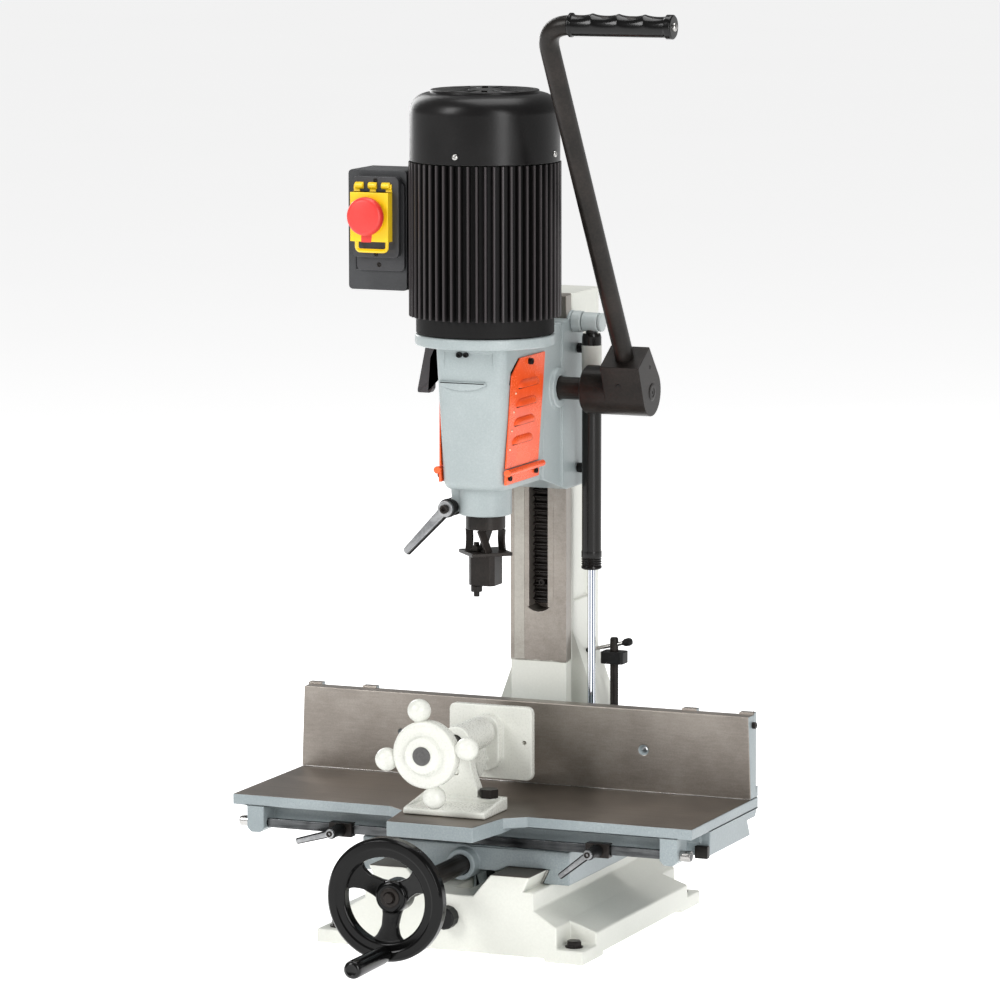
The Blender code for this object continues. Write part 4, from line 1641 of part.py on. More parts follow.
def make_fence(table):
    low = TABLE_TOP + FIT
    wall = loft([
        [(x, y, low) for x, y in ((-TABLE_HALF, FENCE_FRONT), (TABLE_HALF, FENCE_FRONT),
                                  (TABLE_HALF, FENCE_REAR), (-TABLE_HALF, FENCE_REAR))],
        [(x, y, FENCE_TOP) for x, y in ((FENCE_DRAFT - TABLE_HALF, FENCE_FRONT),
                                        (TABLE_HALF - FENCE_DRAFT, FENCE_FRONT),
                                        (TABLE_HALF - FENCE_DRAFT, FENCE_REAR),
                                        (FENCE_DRAFT - TABLE_HALF, FENCE_REAR))],
    ])
    ribs = []
    for x in (-FENCE_RIB_OUTER, -FENCE_RIB_INNER, FENCE_RIB_INNER, FENCE_RIB_OUTER):
        ribs.append(box(x - FENCE_RIB_HALF, x + FENCE_RIB_HALF - FENCE_RIB_RISE, FENCE_REAR - CAST_SETBACK,
                        FENCE_RIB_REAR, low, FENCE_TOP + FENCE_RIB_RISE))
    flange = box(-TABLE_HALF, TABLE_HALF, FENCE_REAR - CAST_SETBACK, TABLE_REAR, low, low + TABLE_THICKNESS)
    holes = []
    for x in (FENCE_HOLE_X, FENCE_HOLE_LEFT_X):
        level = (x, 0, FENCE_HOLE_HEIGHT)
        holes.append(cylinder("Y", level, FENCE_HOLE_RADIUS, FENCE_FRONT - OVERRUN, FENCE_REAR + OVERRUN,
                              SIDES_SMALL))
    holes.append(turned([
        (FENCE_SINK_RADIUS, FENCE_FRONT - CAST_SETBACK), (FENCE_SINK_RADIUS, FENCE_FRONT),
        (FENCE_HOLE_RADIUS * 0.9, FENCE_FRONT + FENCE_SINK_DEPTH)], "Y",
        (FENCE_HOLE_X, 0, FENCE_HOLE_HEIGHT), SIDES_SMALL))
    add("fence", cut(joined(wall, flange, *ribs), *holes), "machined_iron", table)


def make_stop_rail(table):
    """Flat bar between the table's two front lugs, its end bolts and the two table stops on it."""
    inner = STOP_LUG_X - STOP_LUG_HALF - FIT
    outer = STOP_LUG_X + STOP_LUG_HALF + FIT
    pieces = [box(-inner, inner, BAR_FRONT, BAR_BACK, BAR_LOW, BAR_TOP)]
    level = (0, (BAR_FRONT + BAR_BACK) / 2, (BAR_TOP + BAR_LOW) / 2)
    for side in (-1, 1):
        start, end = sorted((side * (inner - STOP_STUD_RADIUS), side * (outer + END_BOLT_LENGTH / 2)))
        pieces.append(cylinder("X", level, END_BOLT_RADIUS / 2, start, end, SIDES_SMALL))
        start, end = sorted((side * outer, side * (outer + END_BOLT_LENGTH)))
        pieces.append(cylinder("X", level, END_BOLT_RADIUS, start, end, 6))
    for place in STOP_BLOCK_X:
        make_table_stop(table, place)
    add("stop_rail", joined(*pieces), "bright_steel", table)


def make_table_stop(table, place):
    x = STOP_BLOCK_X[place]
    middle = (BAR_TOP + BAR_LOW) / 2
    carrier = empty("table_stop_axis_" + place, table, (x, BAR_FRONT, middle))
    grow = STOP_BLOCK_MARGIN
    block = box(x - STOP_BLOCK_HALF, x + STOP_BLOCK_HALF, BAR_FRONT - grow, BAR_BACK + RUN * 2,
                BAR_LOW - STOP_BLOCK_FLOOR, BAR_TOP + grow / 2)
    window = box(x - STOP_BLOCK_HALF - OVERRUN, x + STOP_BLOCK_HALF + OVERRUN, BAR_FRONT - RUN,
                 BAR_BACK + RUN * 2 + OVERRUN, BAR_LOW - RUN, BAR_TOP + RUN)
    hole = cylinder("Y", (x, 0, middle), STOP_STUD_RADIUS + FIT, BAR_FRONT - grow - OVERRUN,
                    BAR_FRONT, SIDES_SMALL)
    add("table_stop_" + place, cut(block, window, hole), "black_paint", carrier)
    front = BAR_FRONT - grow - FIT
    lever_axis = empty("table_stop_lever_axis_" + place, carrier, (x, front, middle))
    hub = cylinder("Y", (x, 0, middle), STOP_LEVER_HUB_RADIUS, front - STOP_LEVER_DEPTH, front, SIDES_SMALL)
    stud = cylinder("Y", (x, 0, middle), STOP_STUD_RADIUS, front - FIT, BAR_FRONT - RUN, SIDES_SMALL)
    drop = STOP_LEVER_DROPS[place]
    arm_y = front - STOP_LEVER_DEPTH + STOP_LEVER_ROOT / 2
    tip = (x - STOP_LEVER_LENGTH * math.cos(drop), arm_y, middle - STOP_LEVER_LENGTH * math.sin(drop))
    arm = rod((x, arm_y, middle), tip, STOP_LEVER_ROOT / 2, SIDES_SMALL, STOP_LEVER_TIP)
    add("table_stop_lever_" + place, joined(hub, stud, arm), "satin_zinc", lever_axis)


def make_vice(table):
    low = TABLE_TOP + FIT
    foot = loft([
        [(x, y, low) for x, y in ((VICE_LEFT, VICE_FRONT), (VICE_RIGHT, VICE_FRONT),
                                  (VICE_RIGHT, VICE_REAR), (VICE_LEFT, VICE_REAR))],
        [(VICE_LEFT, VICE_FRONT, VICE_LIP - CAST_SETBACK), (VICE_RIGHT, VICE_FRONT, VICE_LIP - CAST_SETBACK),
         (VICE_RIGHT, VICE_REAR, VICE_FOOT_TOP), (VICE_LEFT, VICE_REAR, VICE_FOOT_TOP)],
    ])
    scoop = box(VICE_LEFT + FLARE_MARGIN, VICE_RIGHT - FLARE_MARGIN, VICE_FRONT - OVERRUN, VICE_STEP,
                VICE_LIP, VICE_FOOT_TOP + OVERRUN)
    web_points = []
    rise = VICE_SCREW_HEIGHT - VICE_LIP
    for i in range(6):
        share = i / 5
        half = VICE_NUT_RADIUS * 0.9 + (VICE_WEB_HALF_LOW - VICE_NUT_RADIUS * 0.9) * (1 - share) ** 2
        web_points.append((VICE_SCREW_X + half, VICE_LIP + rise * share))
    left = [(2 * VICE_SCREW_X - x, z) for x, z in reversed(web_points)]
    web = prism(web_points + left, "Y", VICE_WEB_FRONT, VICE_WEB_BACK)
    spine = prism([
        (VICE_WEB_BACK - CAST_SETBACK, VICE_LIP), (VICE_WEB_BACK - CAST_SETBACK, VICE_SCREW_HEIGHT),
        (VICE_NUT_REAR - CAST_SETBACK, VICE_SCREW_HEIGHT),
        (VICE_NUT_REAR - CAST_SETBACK, VICE_SCREW_HEIGHT - VICE_PIN_DROP - VICE_PIN_RADIUS * 2),
    ], "X", VICE_SCREW_X - VICE_PIN_RADIUS * 2, VICE_SCREW_X + VICE_PIN_RADIUS * 2)
    axis = (VICE_SCREW_X, 0, VICE_SCREW_HEIGHT)
    nut = cylinder("Y", axis, VICE_NUT_RADIUS, VICE_WEB_FRONT, VICE_NUT_REAR)
    body = joined(cut(foot, scoop), web, spine, nut)
    pin_axis = (VICE_SCREW_X, 0, VICE_SCREW_HEIGHT - VICE_PIN_DROP)
    bores = [
        cylinder("Y", axis, VICE_SCREW_RADIUS + RUN, VICE_WEB_FRONT - OVERRUN, VICE_NUT_REAR + OVERRUN),
        cylinder("Y", pin_axis, VICE_PIN_RADIUS + RUN, VICE_WEB_FRONT - OVERRUN, VICE_NUT_REAR + OVERRUN,
                 SIDES_SMALL),
        cylinder("Z", (HOLD_BOLT_X, HOLD_BOLT_Y, 0), HOLD_BOLT_RADIUS + RUN, low - OVERRUN,
                 VICE_FOOT_TOP + OVERRUN, SIDES_SMALL),
        box(HOLD_BOLT_X - HOLD_BOLT_HEAD - CAST_SETBACK, VICE_RIGHT + OVERRUN, HOLD_BOLT_Y - HOLD_BOLT_HEAD,
            VICE_REAR + OVERRUN, VICE_FOOT_TOP - CAST_SETBACK * 2.5, VICE_FOOT_TOP + OVERRUN),
    ]
    add("vice_casting", cut(body, *bores), "cast_white", table)
    seat = VICE_FOOT_TOP - CAST_SETBACK * 2.5 + FIT
    bolt = joined(
        cylinder("Z", (HOLD_BOLT_X, HOLD_BOLT_Y, 0), HOLD_BOLT_HEAD, seat, seat + HOLD_BOLT_HEIGHT, 6),
        cylinder("Z", (HOLD_BOLT_X, HOLD_BOLT_Y, 0), HOLD_BOLT_RADIUS, TABLE_UNDERSIDE - FIT, seat + FIT,
                 SIDES_SMALL))
    add("vice_hold_down_bolt", bolt, "black_oxide", table)

    carrier = empty("vice_jaw_axis", table, (VICE_SCREW_X, JAW_FRONT, VICE_SCREW_HEIGHT))
    plate = prism(rounded(JAW_X - JAW_HALF, JAW_X + JAW_HALF, JAW_LOW, JAW_TOP, JAW_CORNER), "Y",
                  JAW_FRONT, JAW_FRONT + JAW_THICKNESS)
    boss = prism(rounded(VICE_SCREW_X - JAW_BOSS_RADIUS, VICE_SCREW_X + JAW_BOSS_RADIUS,
                         VICE_SCREW_HEIGHT - VICE_PIN_DROP - JAW_BOSS_RADIUS * 0.8,
                         VICE_SCREW_HEIGHT + JAW_BOSS_RADIUS, JAW_BOSS_RADIUS * 0.95, 5),
                 "Y", JAW_BOSS_FRONT, JAW_FRONT + CAST_SETBACK)
    socket = cylinder("Y", axis, VICE_SCREW_RADIUS * 0.7 + RUN, JAW_BOSS_FRONT - OVERRUN,
                      JAW_BOSS_FRONT + VICE_SCREW_SEAT + RUN)
    hole = cylinder("Y", (JAW_HOLE_X, 0, JAW_HOLE_HEIGHT), JAW_HOLE_RADIUS, JAW_FRONT - OVERRUN,
                    JAW_FRONT + JAW_THICKNESS + OVERRUN, SIDES_SMALL)
    guide = cylinder("Y", pin_axis, VICE_PIN_RADIUS, VICE_PIN_FRONT, JAW_BOSS_FRONT + VICE_SCREW_SEAT,
                     SIDES_SMALL)
    add("vice_jaw", cut(joined(plate, boss, guide), socket, hole), "cast_white", carrier)
    spin = empty("vice_screw_axis", carrier, (VICE_SCREW_X, BALL_PLANE, VICE_SCREW_HEIGHT))
    screw = turned([
        (SCREW_END_RADIUS, SCREW_END), (SCREW_END_RADIUS, DISC_STEP_FRONT - FIT),
        (VICE_SCREW_RADIUS, DISC_STEP_FRONT - FIT), (VICE_SCREW_RADIUS, JAW_BOSS_FRONT - RUN),
        (VICE_SCREW_RADIUS * 0.7, JAW_BOSS_FRONT - RUN),
        (VICE_SCREW_RADIUS * 0.7, JAW_BOSS_FRONT + VICE_SCREW_SEAT),
    ], "Y", axis, SIDES)
    add("vice_screw", screw, "black_oxide", spin)
    disc = turned([
        (DISC_RADIUS * 0.8, DISC_BACK), (DISC_RADIUS, DISC_BACK + CAST_SETBACK * 3),
        (DISC_RADIUS, DISC_FRONT), (DISC_STEP_RADIUS, DISC_FRONT), (DISC_STEP_RADIUS, DISC_STEP_FRONT),
    ], "Y", axis, SIDES_BIG)
    balls = []
    for i in range(BALL_COUNT):
        angle = TURN * i / BALL_COUNT + BALL_TURN
        balls.append(ball((VICE_SCREW_X + BALL_ORBIT * math.cos(angle), BALL_PLANE,
                           VICE_SCREW_HEIGHT + BALL_ORBIT * math.sin(angle)), BALL_RADIUS))
    bore = cylinder("Y", axis, VICE_SCREW_RADIUS + FIT, DISC_STEP_FRONT - OVERRUN, DISC_BACK + OVERRUN)
    add("vice_handwheel", cut(joined(disc, *balls), bore), "cast_white", spin)


def main():
    clear_scene()
    root = empty("mortiser", None, (0, 0, 0))
    head = empty("head_travel_axis", root, (0, WAY_FRONT, SLIDE_LOW))
    saddle = empty("saddle_axis", root, (0, SADDLE_FRONT, SADDLE_TOP))
    table = empty("table_axis", saddle, (0, TABLE_FRONT, TABLE_TOP))
    make_base(root)
    make_cross_feed(root)
    make_column(root)
    make_depth_stop(root)
    make_gas_strut(root, head)
    make_head(head)
    make_lock_lever(head)
    make_feed_lever(head)
    make_doors(head)
    make_chisel_holder(head)
    make_clamp_lever(head)
    make_motor(head)
    make_spindle(head)
    make_switch(head)
    make_saddle(saddle)
    make_handwheel(saddle)
    make_table(table)
    make_fence(table)
    make_stop_rail(table)
    make_vice(table)


main()
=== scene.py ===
# %% [markdown]
# # A benchtop mortiser, dressed over its working frame
#
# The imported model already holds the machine's real sizes and every joint. This lesson adds what the eye
# looks for: hammered and glossy paint, ground iron, motor fins, louvres, screws and soft cast edges.
# Each step says what the piece is on the real machine, how it could be made, and why this way was chosen.

# %% Load the frame
import json
import math

import bmesh
import bpy
from mathutils import Matrix, Vector


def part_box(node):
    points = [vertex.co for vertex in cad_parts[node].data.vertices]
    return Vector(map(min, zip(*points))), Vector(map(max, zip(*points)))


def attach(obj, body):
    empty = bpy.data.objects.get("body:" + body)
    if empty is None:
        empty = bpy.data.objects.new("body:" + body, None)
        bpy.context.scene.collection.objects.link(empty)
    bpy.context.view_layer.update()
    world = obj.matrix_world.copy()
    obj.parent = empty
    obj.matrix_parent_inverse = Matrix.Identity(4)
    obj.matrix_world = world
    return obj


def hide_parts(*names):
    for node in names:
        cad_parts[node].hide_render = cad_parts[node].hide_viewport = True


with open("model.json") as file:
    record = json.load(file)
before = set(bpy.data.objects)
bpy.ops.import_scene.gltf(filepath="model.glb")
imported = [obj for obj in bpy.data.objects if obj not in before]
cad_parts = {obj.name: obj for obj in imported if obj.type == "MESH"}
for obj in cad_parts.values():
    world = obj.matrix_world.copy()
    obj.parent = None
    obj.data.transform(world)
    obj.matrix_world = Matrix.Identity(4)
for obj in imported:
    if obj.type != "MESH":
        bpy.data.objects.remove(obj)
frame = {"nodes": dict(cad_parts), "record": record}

NODES = frame["nodes"]
BODY_OF = {node: body for body, nodes in frame["record"]["behaviour"]["bodies"].items() for node in nodes}
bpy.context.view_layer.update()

# %% [markdown]
# ## Looking from the right place
#
# The picture was taken from the front right with a long lens, so upright edges stay nearly parallel.
# A camera with a 205 mm lens, about five metres away, gives the same calm perspective. Its place and
# its three angles are plain numbers: turn to the left, tilt down, and a hair of roll.

# %% Camera
CAMERA_PLACE = Vector((2.21495, -5.27232, 1.22882))
TURN, TILT, ROLL = math.radians(22.90), math.radians(82.12), math.radians(-0.08)
PHOTO_PIXELS, FOCAL_PIXELS, SENSOR_MM = 1000, 5684, 36

camera = bpy.data.objects.new("camera", bpy.data.cameras.new("camera"))
camera.data.sensor_width = SENSOR_MM
camera.data.lens = FOCAL_PIXELS * SENSOR_MM / PHOTO_PIXELS
camera.data.clip_end = 50
camera.matrix_world = (Matrix.Translation(CAMERA_PLACE) @ Matrix.Rotation(TURN, 4, "Z")
                       @ Matrix.Rotation(TILT, 4, "X") @ Matrix.Rotation(ROLL, 4, "Z"))
bpy.context.scene.collection.objects.link(camera)
bpy.context.scene.camera = camera
print("lens in mm:", round(camera.data.lens, 1))

# %% [markdown]
# ## A pale floor and soft boxes
#
# Glossy paint shows the lights more than itself. Large soft rectangles give the broad, smooth streaks
# seen on the motor and the castings, and a dim even world leaves the shadows some depth. The floor is
# one flat sheet that runs past the edge of the view, and glows a little, so the ground stays white
# as it does in a light tent, and no horizon crosses the machine.

# %% Floor, lights and world
FLOOR_HALF, FLOOR_GLOW = 40.0, 0.64
LIGHTS = (
    # name, place, aimed at, width, height, watts
    ("key", (-1.9, -2.7, 2.4), (0, 0, 0.45), 1.1, 1.9, 70),
    ("fill", (2.7, -2.3, 1.4), (0, 0, 0.45), 0.9, 2.4, 62),
    ("top", (0.2, 0.2, 3.2), (0, 0, 0.3), 2.0, 2.0, 54),
    ("rim", (-2.4, 2.2, 1.6), (0, 0, 0.5), 1.2, 2.2, 34),
)
WORLD_STRENGTH = 0.26

sheet = bpy.data.meshes.new("floor")
sheet.from_pydata([(x, y, 0) for x, y in ((-1, -1), (1, -1), (1, 1), (-1, 1))], [], [(0, 1, 2, 3)])
sheet.transform(Matrix.Scale(FLOOR_HALF, 4))
floor = bpy.data.objects.new("floor", sheet)
bpy.context.scene.collection.objects.link(floor)
for name, place, target, width, height, watts in LIGHTS:
    lamp = bpy.data.lights.new(name, "AREA")
    lamp.shape, lamp.size, lamp.size_y, lamp.energy = "RECTANGLE", width, height, watts
    light = bpy.data.objects.new(name, lamp)
    light.location = place
    light.rotation_euler = (Vector(target) - Vector(place)).to_track_quat("-Z", "Y").to_euler()
    bpy.context.scene.collection.objects.link(light)
bpy.context.scene.world = bpy.data.worlds.new("studio")
bpy.context.scene.world.use_nodes = True
bpy.context.scene.world.node_tree.nodes["Background"].inputs["Color"].default_value = (1, 1, 1, 1)
bpy.context.scene.world.node_tree.nodes["Background"].inputs["Strength"].default_value = WORLD_STRENGTH
bpy.context.scene.view_settings.view_transform = "Standard"
print("soft lights:", len(LIGHTS))

# %% [markdown]
# ## Writing node trees as sums
#
# Materials and geometry trees are both made of sockets and links. A small class wraps one socket, so
# that `1 - dust * 0.3` writes its own Math nodes, and one method adds any other node: its settings
# first, then its inputs. The whole lesson uses these two ideas, because a sum is easier to read and to
# mend than a drawing of forty boxes.


# %% One value on its way through a tree
class Wire:
    """One output socket. Arithmetic on it adds Math nodes to its board."""

    def __init__(self, board, socket):
        self.board, self.socket = board, socket

    def maths(self, operation, *values):
        return self.board.node("ShaderNodeMath", {"operation": operation}, dict(enumerate(values)))

    def __add__(self, other):
        return self.maths("ADD", self, other)

    def __sub__(self, other):
        return self.maths("SUBTRACT", self, other)

    def __rsub__(self, other):
        return self.maths("SUBTRACT", other, self)

    def __mul__(self, other):
        return self.maths("MULTIPLY", self, other)

    def __truediv__(self, other):
        return self.maths("DIVIDE", self, other)

    __radd__ = __add__
    __rmul__ = __mul__

    def ease(self, low, high):
        """0 below low, 1 above high, and a soft step between them."""
        return self.board.node("ShaderNodeMapRange", {"interpolation_type": "SMOOTHSTEP"},
                               {"Value": self, "From Min": low, "From Max": high})


# %% One tree being laid out
class Board:
    """A node tree. node() is the one way to add a node to it."""

    def __init__(self, tree):
        self.tree = tree

    def plug(self, value, socket):
        if isinstance(value, Wire):
            self.tree.links.new(value.socket, socket)
        else:
            socket.default_value = value

    def node(self, kind, settings=None, inputs=None, output=0):
        made = self.tree.nodes.new(kind)
        for name, value in (settings or {}).items():
            setattr(made, name, value)
        for name, value in (inputs or {}).items():
            self.plug(value, made.inputs[name])
        return Wire(self, made.outputs[output])


# %% [markdown]
# ## Mixing a finish
#
# A finish is a Principled shader with patterns placed by Object coordinates. Every piece of this
# machine sits at the origin with its place in its mesh, so Object coordinates are metres on the real
# machine: a noise with scale 500 has blotches two millimetres wide wherever it is used. Colours are
# written as the eye reads them, 0 to 255, and turned into the linear light that the renderer adds up.


# %% A finish being mixed
def shade(red, green, blue):
    """A colour as the eye reads it, as linear light."""
    def linear(value):
        value = value / 255
        return value / 12.92 if value <= 0.04045 else ((value + 0.055) / 1.055) ** 2.4
    return (linear(red), linear(green), linear(blue), 1)


class Finish(Board):
    """A material: the shader's constants first, then what varies over the surface."""

    def __init__(self, name, **constants):
        self.material = bpy.data.materials.new(name)
        self.material.use_nodes = True
        super().__init__(self.material.node_tree)
        self.shader = self.tree.nodes["Principled BSDF"]
        self.place = self.node("ShaderNodeTexCoord", output="Object")
        for label, value in constants.items():
            self.shader.inputs[label.replace("_", " ")].default_value = value

    def varies(self, label, value):
        self.plug(value, self.shader.inputs[label])

    def axis(self, index):
        return self.node("ShaderNodeSeparateXYZ", inputs={0: self.place}, output=index)

    def stretched(self, x, y, z):
        """The place, drawn out along the axes that get a small number."""
        return self.node("ShaderNodeVectorMath", {"operation": "MULTIPLY"}, {0: self.place, 1: (x, y, z)})

    def grain(self, scale, detail=2, roughness=0.5, place=None):
        return self.node("ShaderNodeTexNoise", inputs={
            "Vector": place or self.place, "Scale": scale, "Detail": detail, "Roughness": roughness})

    def cells(self, scale, place=None, feature="SMOOTH_F1"):
        return self.node("ShaderNodeTexVoronoi", {"feature": feature}, {
            "Vector": place or self.place, "Scale": scale})

    def blend(self, amount, first, second):
        """A colour between two, by an amount from 0 to 1."""
        return self.node("ShaderNodeMix", {"data_type": "RGBA"}, {0: amount, 6: first, 7: second}, output=2)

    def relief(self, height, depth, base=None):
        """Makes the surface rise by height, 0 to 1, times depth in metres."""
        inputs = {"Height": height, "Distance": depth}
        if base is not None:
            inputs["Normal"] = base
        return self.node("ShaderNodeBump", inputs=inputs)

    def eased_edges(self, radius):
        """A normal that turns softly over edges, as paint and wear leave them."""
        return self.node("ShaderNodeBevel", {"samples": 6}, {"Radius": radius})


floor_paint = Finish("floor_paint", Roughness=0.9, Emission_Strength=FLOOR_GLOW)
floor_paint.varies("Base Color", floor_paint.blend(
    floor_paint.grain(1.2), shade(246, 246, 246), shade(250, 250, 250)))
floor.data.materials.append(floor_paint.material)
print("floor painted")

# %% [markdown]
# ## The finishes
#
# Hammered enamel is sprayed thick and shrinks into small dimples as it dries, so it is a field of soft
# cells with bright rims. The base, column foot and vice wear a smoother off-white gloss with a slight
# orange peel. Both ease the light over edges, because enamel pulls thin there and catches a line of
# light. Each is a function, so another machine can have the same paint in another colour.


# %% Enamels
def hammered_enamel(name, dark, light):
    """Thick grey enamel with fine dimples, for the head, saddle and table sides."""
    made = Finish(name)
    dimples = made.cells(640) * 0.7 + made.grain(1100, 3) * 0.4
    cloud = made.grain(14, 3)
    made.varies("Base Color", made.blend((dimples * 0.35 + cloud * 0.6).ease(0.2, 0.85), dark, light))
    made.varies("Roughness", 0.26 + dimples * 0.16)
    made.varies("Normal", made.relief(dimples, 0.00012, made.eased_edges(0.0015)))
    return made.material


def gloss_enamel(name, dark, light, roughness=0.24):
    """Smooth gloss enamel over a casting that is never quite flat."""
    made = Finish(name)
    swell = made.grain(38, 2)
    peel = made.grain(420, 2)
    made.varies("Base Color", made.blend((made.grain(9, 3) * 0.6 + swell * 0.4).ease(0.3, 0.7), dark, light))
    made.varies("Roughness", roughness + peel * 0.12)
    made.varies("Normal", made.relief(swell * 0.8 + peel * 0.10, 0.0006, made.eased_edges(0.0016)))
    return made.material


HAMMERED = hammered_enamel("hammered_blue_grey", shade(146, 156, 157), shade(172, 180, 180))
RING_GREY = gloss_enamel("smooth_light_grey", shade(168, 177, 177), shade(184, 191, 190), 0.30)
CAST_WHITE = gloss_enamel("off_white_gloss", shade(213, 214, 206), shade(225, 226, 218), 0.22)
print("enamels mixed: 3")

# %% [markdown]
# ## Ground iron
#
# The table top, fence and column ways are cast iron, ground flat and left bare. The wheel leaves fine
# parallel lines, and a thin brown-grey film of oil and age lies over them in clouds. Drawing the place
# out along one axis turns round noise into lines: a small number keeps them long, a large one thin.
# Where a casting is part painted and part ground, a mask from Object coordinates says which is where,
# with a ragged edge, as a brush leaves it.


# %% Iron and where it shows
def ground_iron(made, lines, dark, light):
    """Colour, roughness and height of ground cast iron with its lines drawn out by lines."""
    along = made.stretched(*lines)
    scratches = made.grain(1, 4, 0.65, along)
    film = made.grain(11, 4, 0.6)
    specks = made.grain(700, 2, 0.6)
    tone = (scratches * 0.22 + film * 0.75 + specks * 0.20).ease(0.34, 0.86)
    return made.blend(tone, dark, light), 0.26 + film * 0.26, scratches


def part_ground(name, where, lines, dark, light, paint_dark, paint_light, hammered=False):
    """A casting with ground faces where the mask says 1, and enamel elsewhere."""
    made = Finish(name)
    mask = where(made)
    colour, roughness, height = ground_iron(made, lines, dark, light)
    peel = made.cells(640) if hammered else made.grain(420, 2)
    paint = made.blend((peel * 0.35 + made.grain(12, 3) * 0.6).ease(0.3, 0.85), paint_dark, paint_light)
    made.varies("Base Color", made.blend(mask, paint, colour))
    made.varies("Roughness", mask * roughness + (1 - mask) * (0.26 + peel * 0.14))
    made.varies("Metallic", mask * 0.82)
    relief = mask * height * 0.20 + (1 - mask) * peel * (0.9 if hammered else 0.12)
    made.varies("Normal", made.relief(relief, 0.00022, made.eased_edges(0.0012)))
    return made.material


IRON_DARK, IRON_LIGHT = shade(92, 85, 78), shade(134, 125, 116)
GREY_DARK, GREY_LIGHT = shade(128, 121, 114), shade(170, 163, 155)
ENAMEL_DARK, ENAMEL_LIGHT = shade(136, 146, 149), shade(160, 169, 171)
WHITE_DARK, WHITE_LIGHT = shade(213, 214, 206), shade(225, 226, 218)


def facing_up(made):
    """1 on faces that look up, from the surface's own normal."""
    normal = made.node("ShaderNodeNewGeometry", output="True Normal")
    return made.node("ShaderNodeSeparateXYZ", inputs={0: normal}, output=2).ease(0.80, 0.90)


def facing(made, axis, sign):
    """1 on faces that look along one axis."""
    normal = made.node("ShaderNodeNewGeometry", output="True Normal")
    return (made.node("ShaderNodeSeparateXYZ", inputs={0: normal}, output=axis) * sign).ease(0.80, 0.90)


def above(made, height, ragged=0.0012):
    """1 above a height, with a brushed edge."""
    return (made.axis(2) + (made.grain(90, 3) - 0.5) * ragged * 4).ease(height - ragged, height + ragged)


TABLE_IRON = part_ground("table_iron", lambda m: facing_up(m) * above(m, 0.1385, 0.0003), (6, 420, 60),
                         IRON_DARK, IRON_LIGHT, ENAMEL_DARK, ENAMEL_LIGHT, True)
FENCE_IRON = part_ground("fence_iron", lambda m: facing(m, 1, -1) + facing_up(m) * above(m, 0.2190, 0.0003), (60, 60, 420),
                         GREY_DARK, GREY_LIGHT, ENAMEL_DARK, ENAMEL_LIGHT, True)
COLUMN_IRON = part_ground("column_iron", lambda m: above(m, 0.2607) * (1 - m.axis(1).ease(0.0985, 0.0990)),
                          (160, 160, 240), GREY_DARK, GREY_LIGHT, WHITE_DARK, WHITE_LIGHT)
BASE_IRON = part_ground("base_iron", lambda m: facing_up(m) * above(m, 0.0835, 0.0003), (300, 8, 60),
                        IRON_DARK, IRON_LIGHT, WHITE_DARK, WHITE_LIGHT)
SADDLE_IRON = part_ground("saddle_iron", lambda m: facing_up(m) * above(m, 0.1158, 0.0003), (8, 300, 60),
                          IRON_DARK, IRON_LIGHT, ENAMEL_DARK, ENAMEL_LIGHT, True)
print("ground castings mixed: 5")

# %% [markdown]
# ## Blacks, metals and plastics
#
# Five blacks that are not the same black: satin motor paint, oiled oxide on turned steel, gloss enamel
# on the handwheel, moulded plastic, and the rough texture of the switch box. Only their roughness,
# their faint height and how metallic they are differ. Bright parts get turning or brushing marks too
# faint to see one by one, which is what keeps them from looking like mirrors.


# %% Blacks
def plain_finish(name, dark, light, rough, spread, height=0.0, scale=300, edge=0.0006, **constants):
    """A finish with clouds of two close colours, uneven gloss and a fine surface."""
    made = Finish(name, **constants)
    fine = made.grain(scale, 3)
    cloud = made.grain(24, 3)
    made.varies("Base Color", made.blend((cloud * 0.7 + fine * 0.3).ease(0.3, 0.7), dark, light))
    made.varies("Roughness", rough + (cloud * 0.6 + fine * 0.4) * spread)
    made.varies("Normal", made.relief(fine, height, made.eased_edges(edge)))
    return made.material


MOTOR_BLACK = plain_finish("satin_motor_black", shade(15, 14, 14), shade(22, 21, 21), 0.26, 0.12, 0.00004, 500, 0.0010, IOR=1.32)
OXIDE_BLACK = plain_finish("oiled_oxide_black", shade(24, 22, 20), shade(44, 39, 36), 0.26, 0.18, 0.00003, 400,
                           0.0008, Metallic=0.3, IOR=1.34)
GLOSS_BLACK = plain_finish("gloss_black_enamel", shade(5, 5, 5), shade(9, 9, 9), 0.10, 0.10, 0.00003, 160,
                           0.0010, IOR=1.30)
GRIP_BLACK = plain_finish("polished_black_plastic", shade(6, 6, 6), shade(11, 11, 11), 0.14, 0.10, 0.00002, 300, IOR=1.38)
BOX_BLACK = plain_finish("grained_black_plastic", shade(40, 41, 43), shade(54, 55, 57), 0.40, 0.14, 0.00010, 1100)
PLATE_GREY = plain_finish("satin_charcoal_plastic", shade(46, 46, 48), shade(58, 58, 60), 0.30, 0.12, 0.00005, 900)
RUBBER_BLACK = plain_finish("soft_black", shade(12, 12, 12), shade(20, 20, 20), 0.40, 0.14, 0.00005, 700, IOR=1.32)
PADDLE_GREY = plain_finish("soft_charcoal", shade(44, 43, 46), shade(56, 55, 58), 0.46, 0.12, 0.00005, 700)
BARREL_BLACK = plain_finish("strut_black", shade(13, 11, 9), shade(20, 18, 16), 0.18, 0.10, 0.00002, 300, IOR=1.36)
# near-black for thin sheets and rings put in openings: painted shade
PAINTED_SHADE = plain_finish("dark_hollow", shade(5, 5, 5), shade(8, 8, 8), 0.8, 0.1, IOR=1.1)


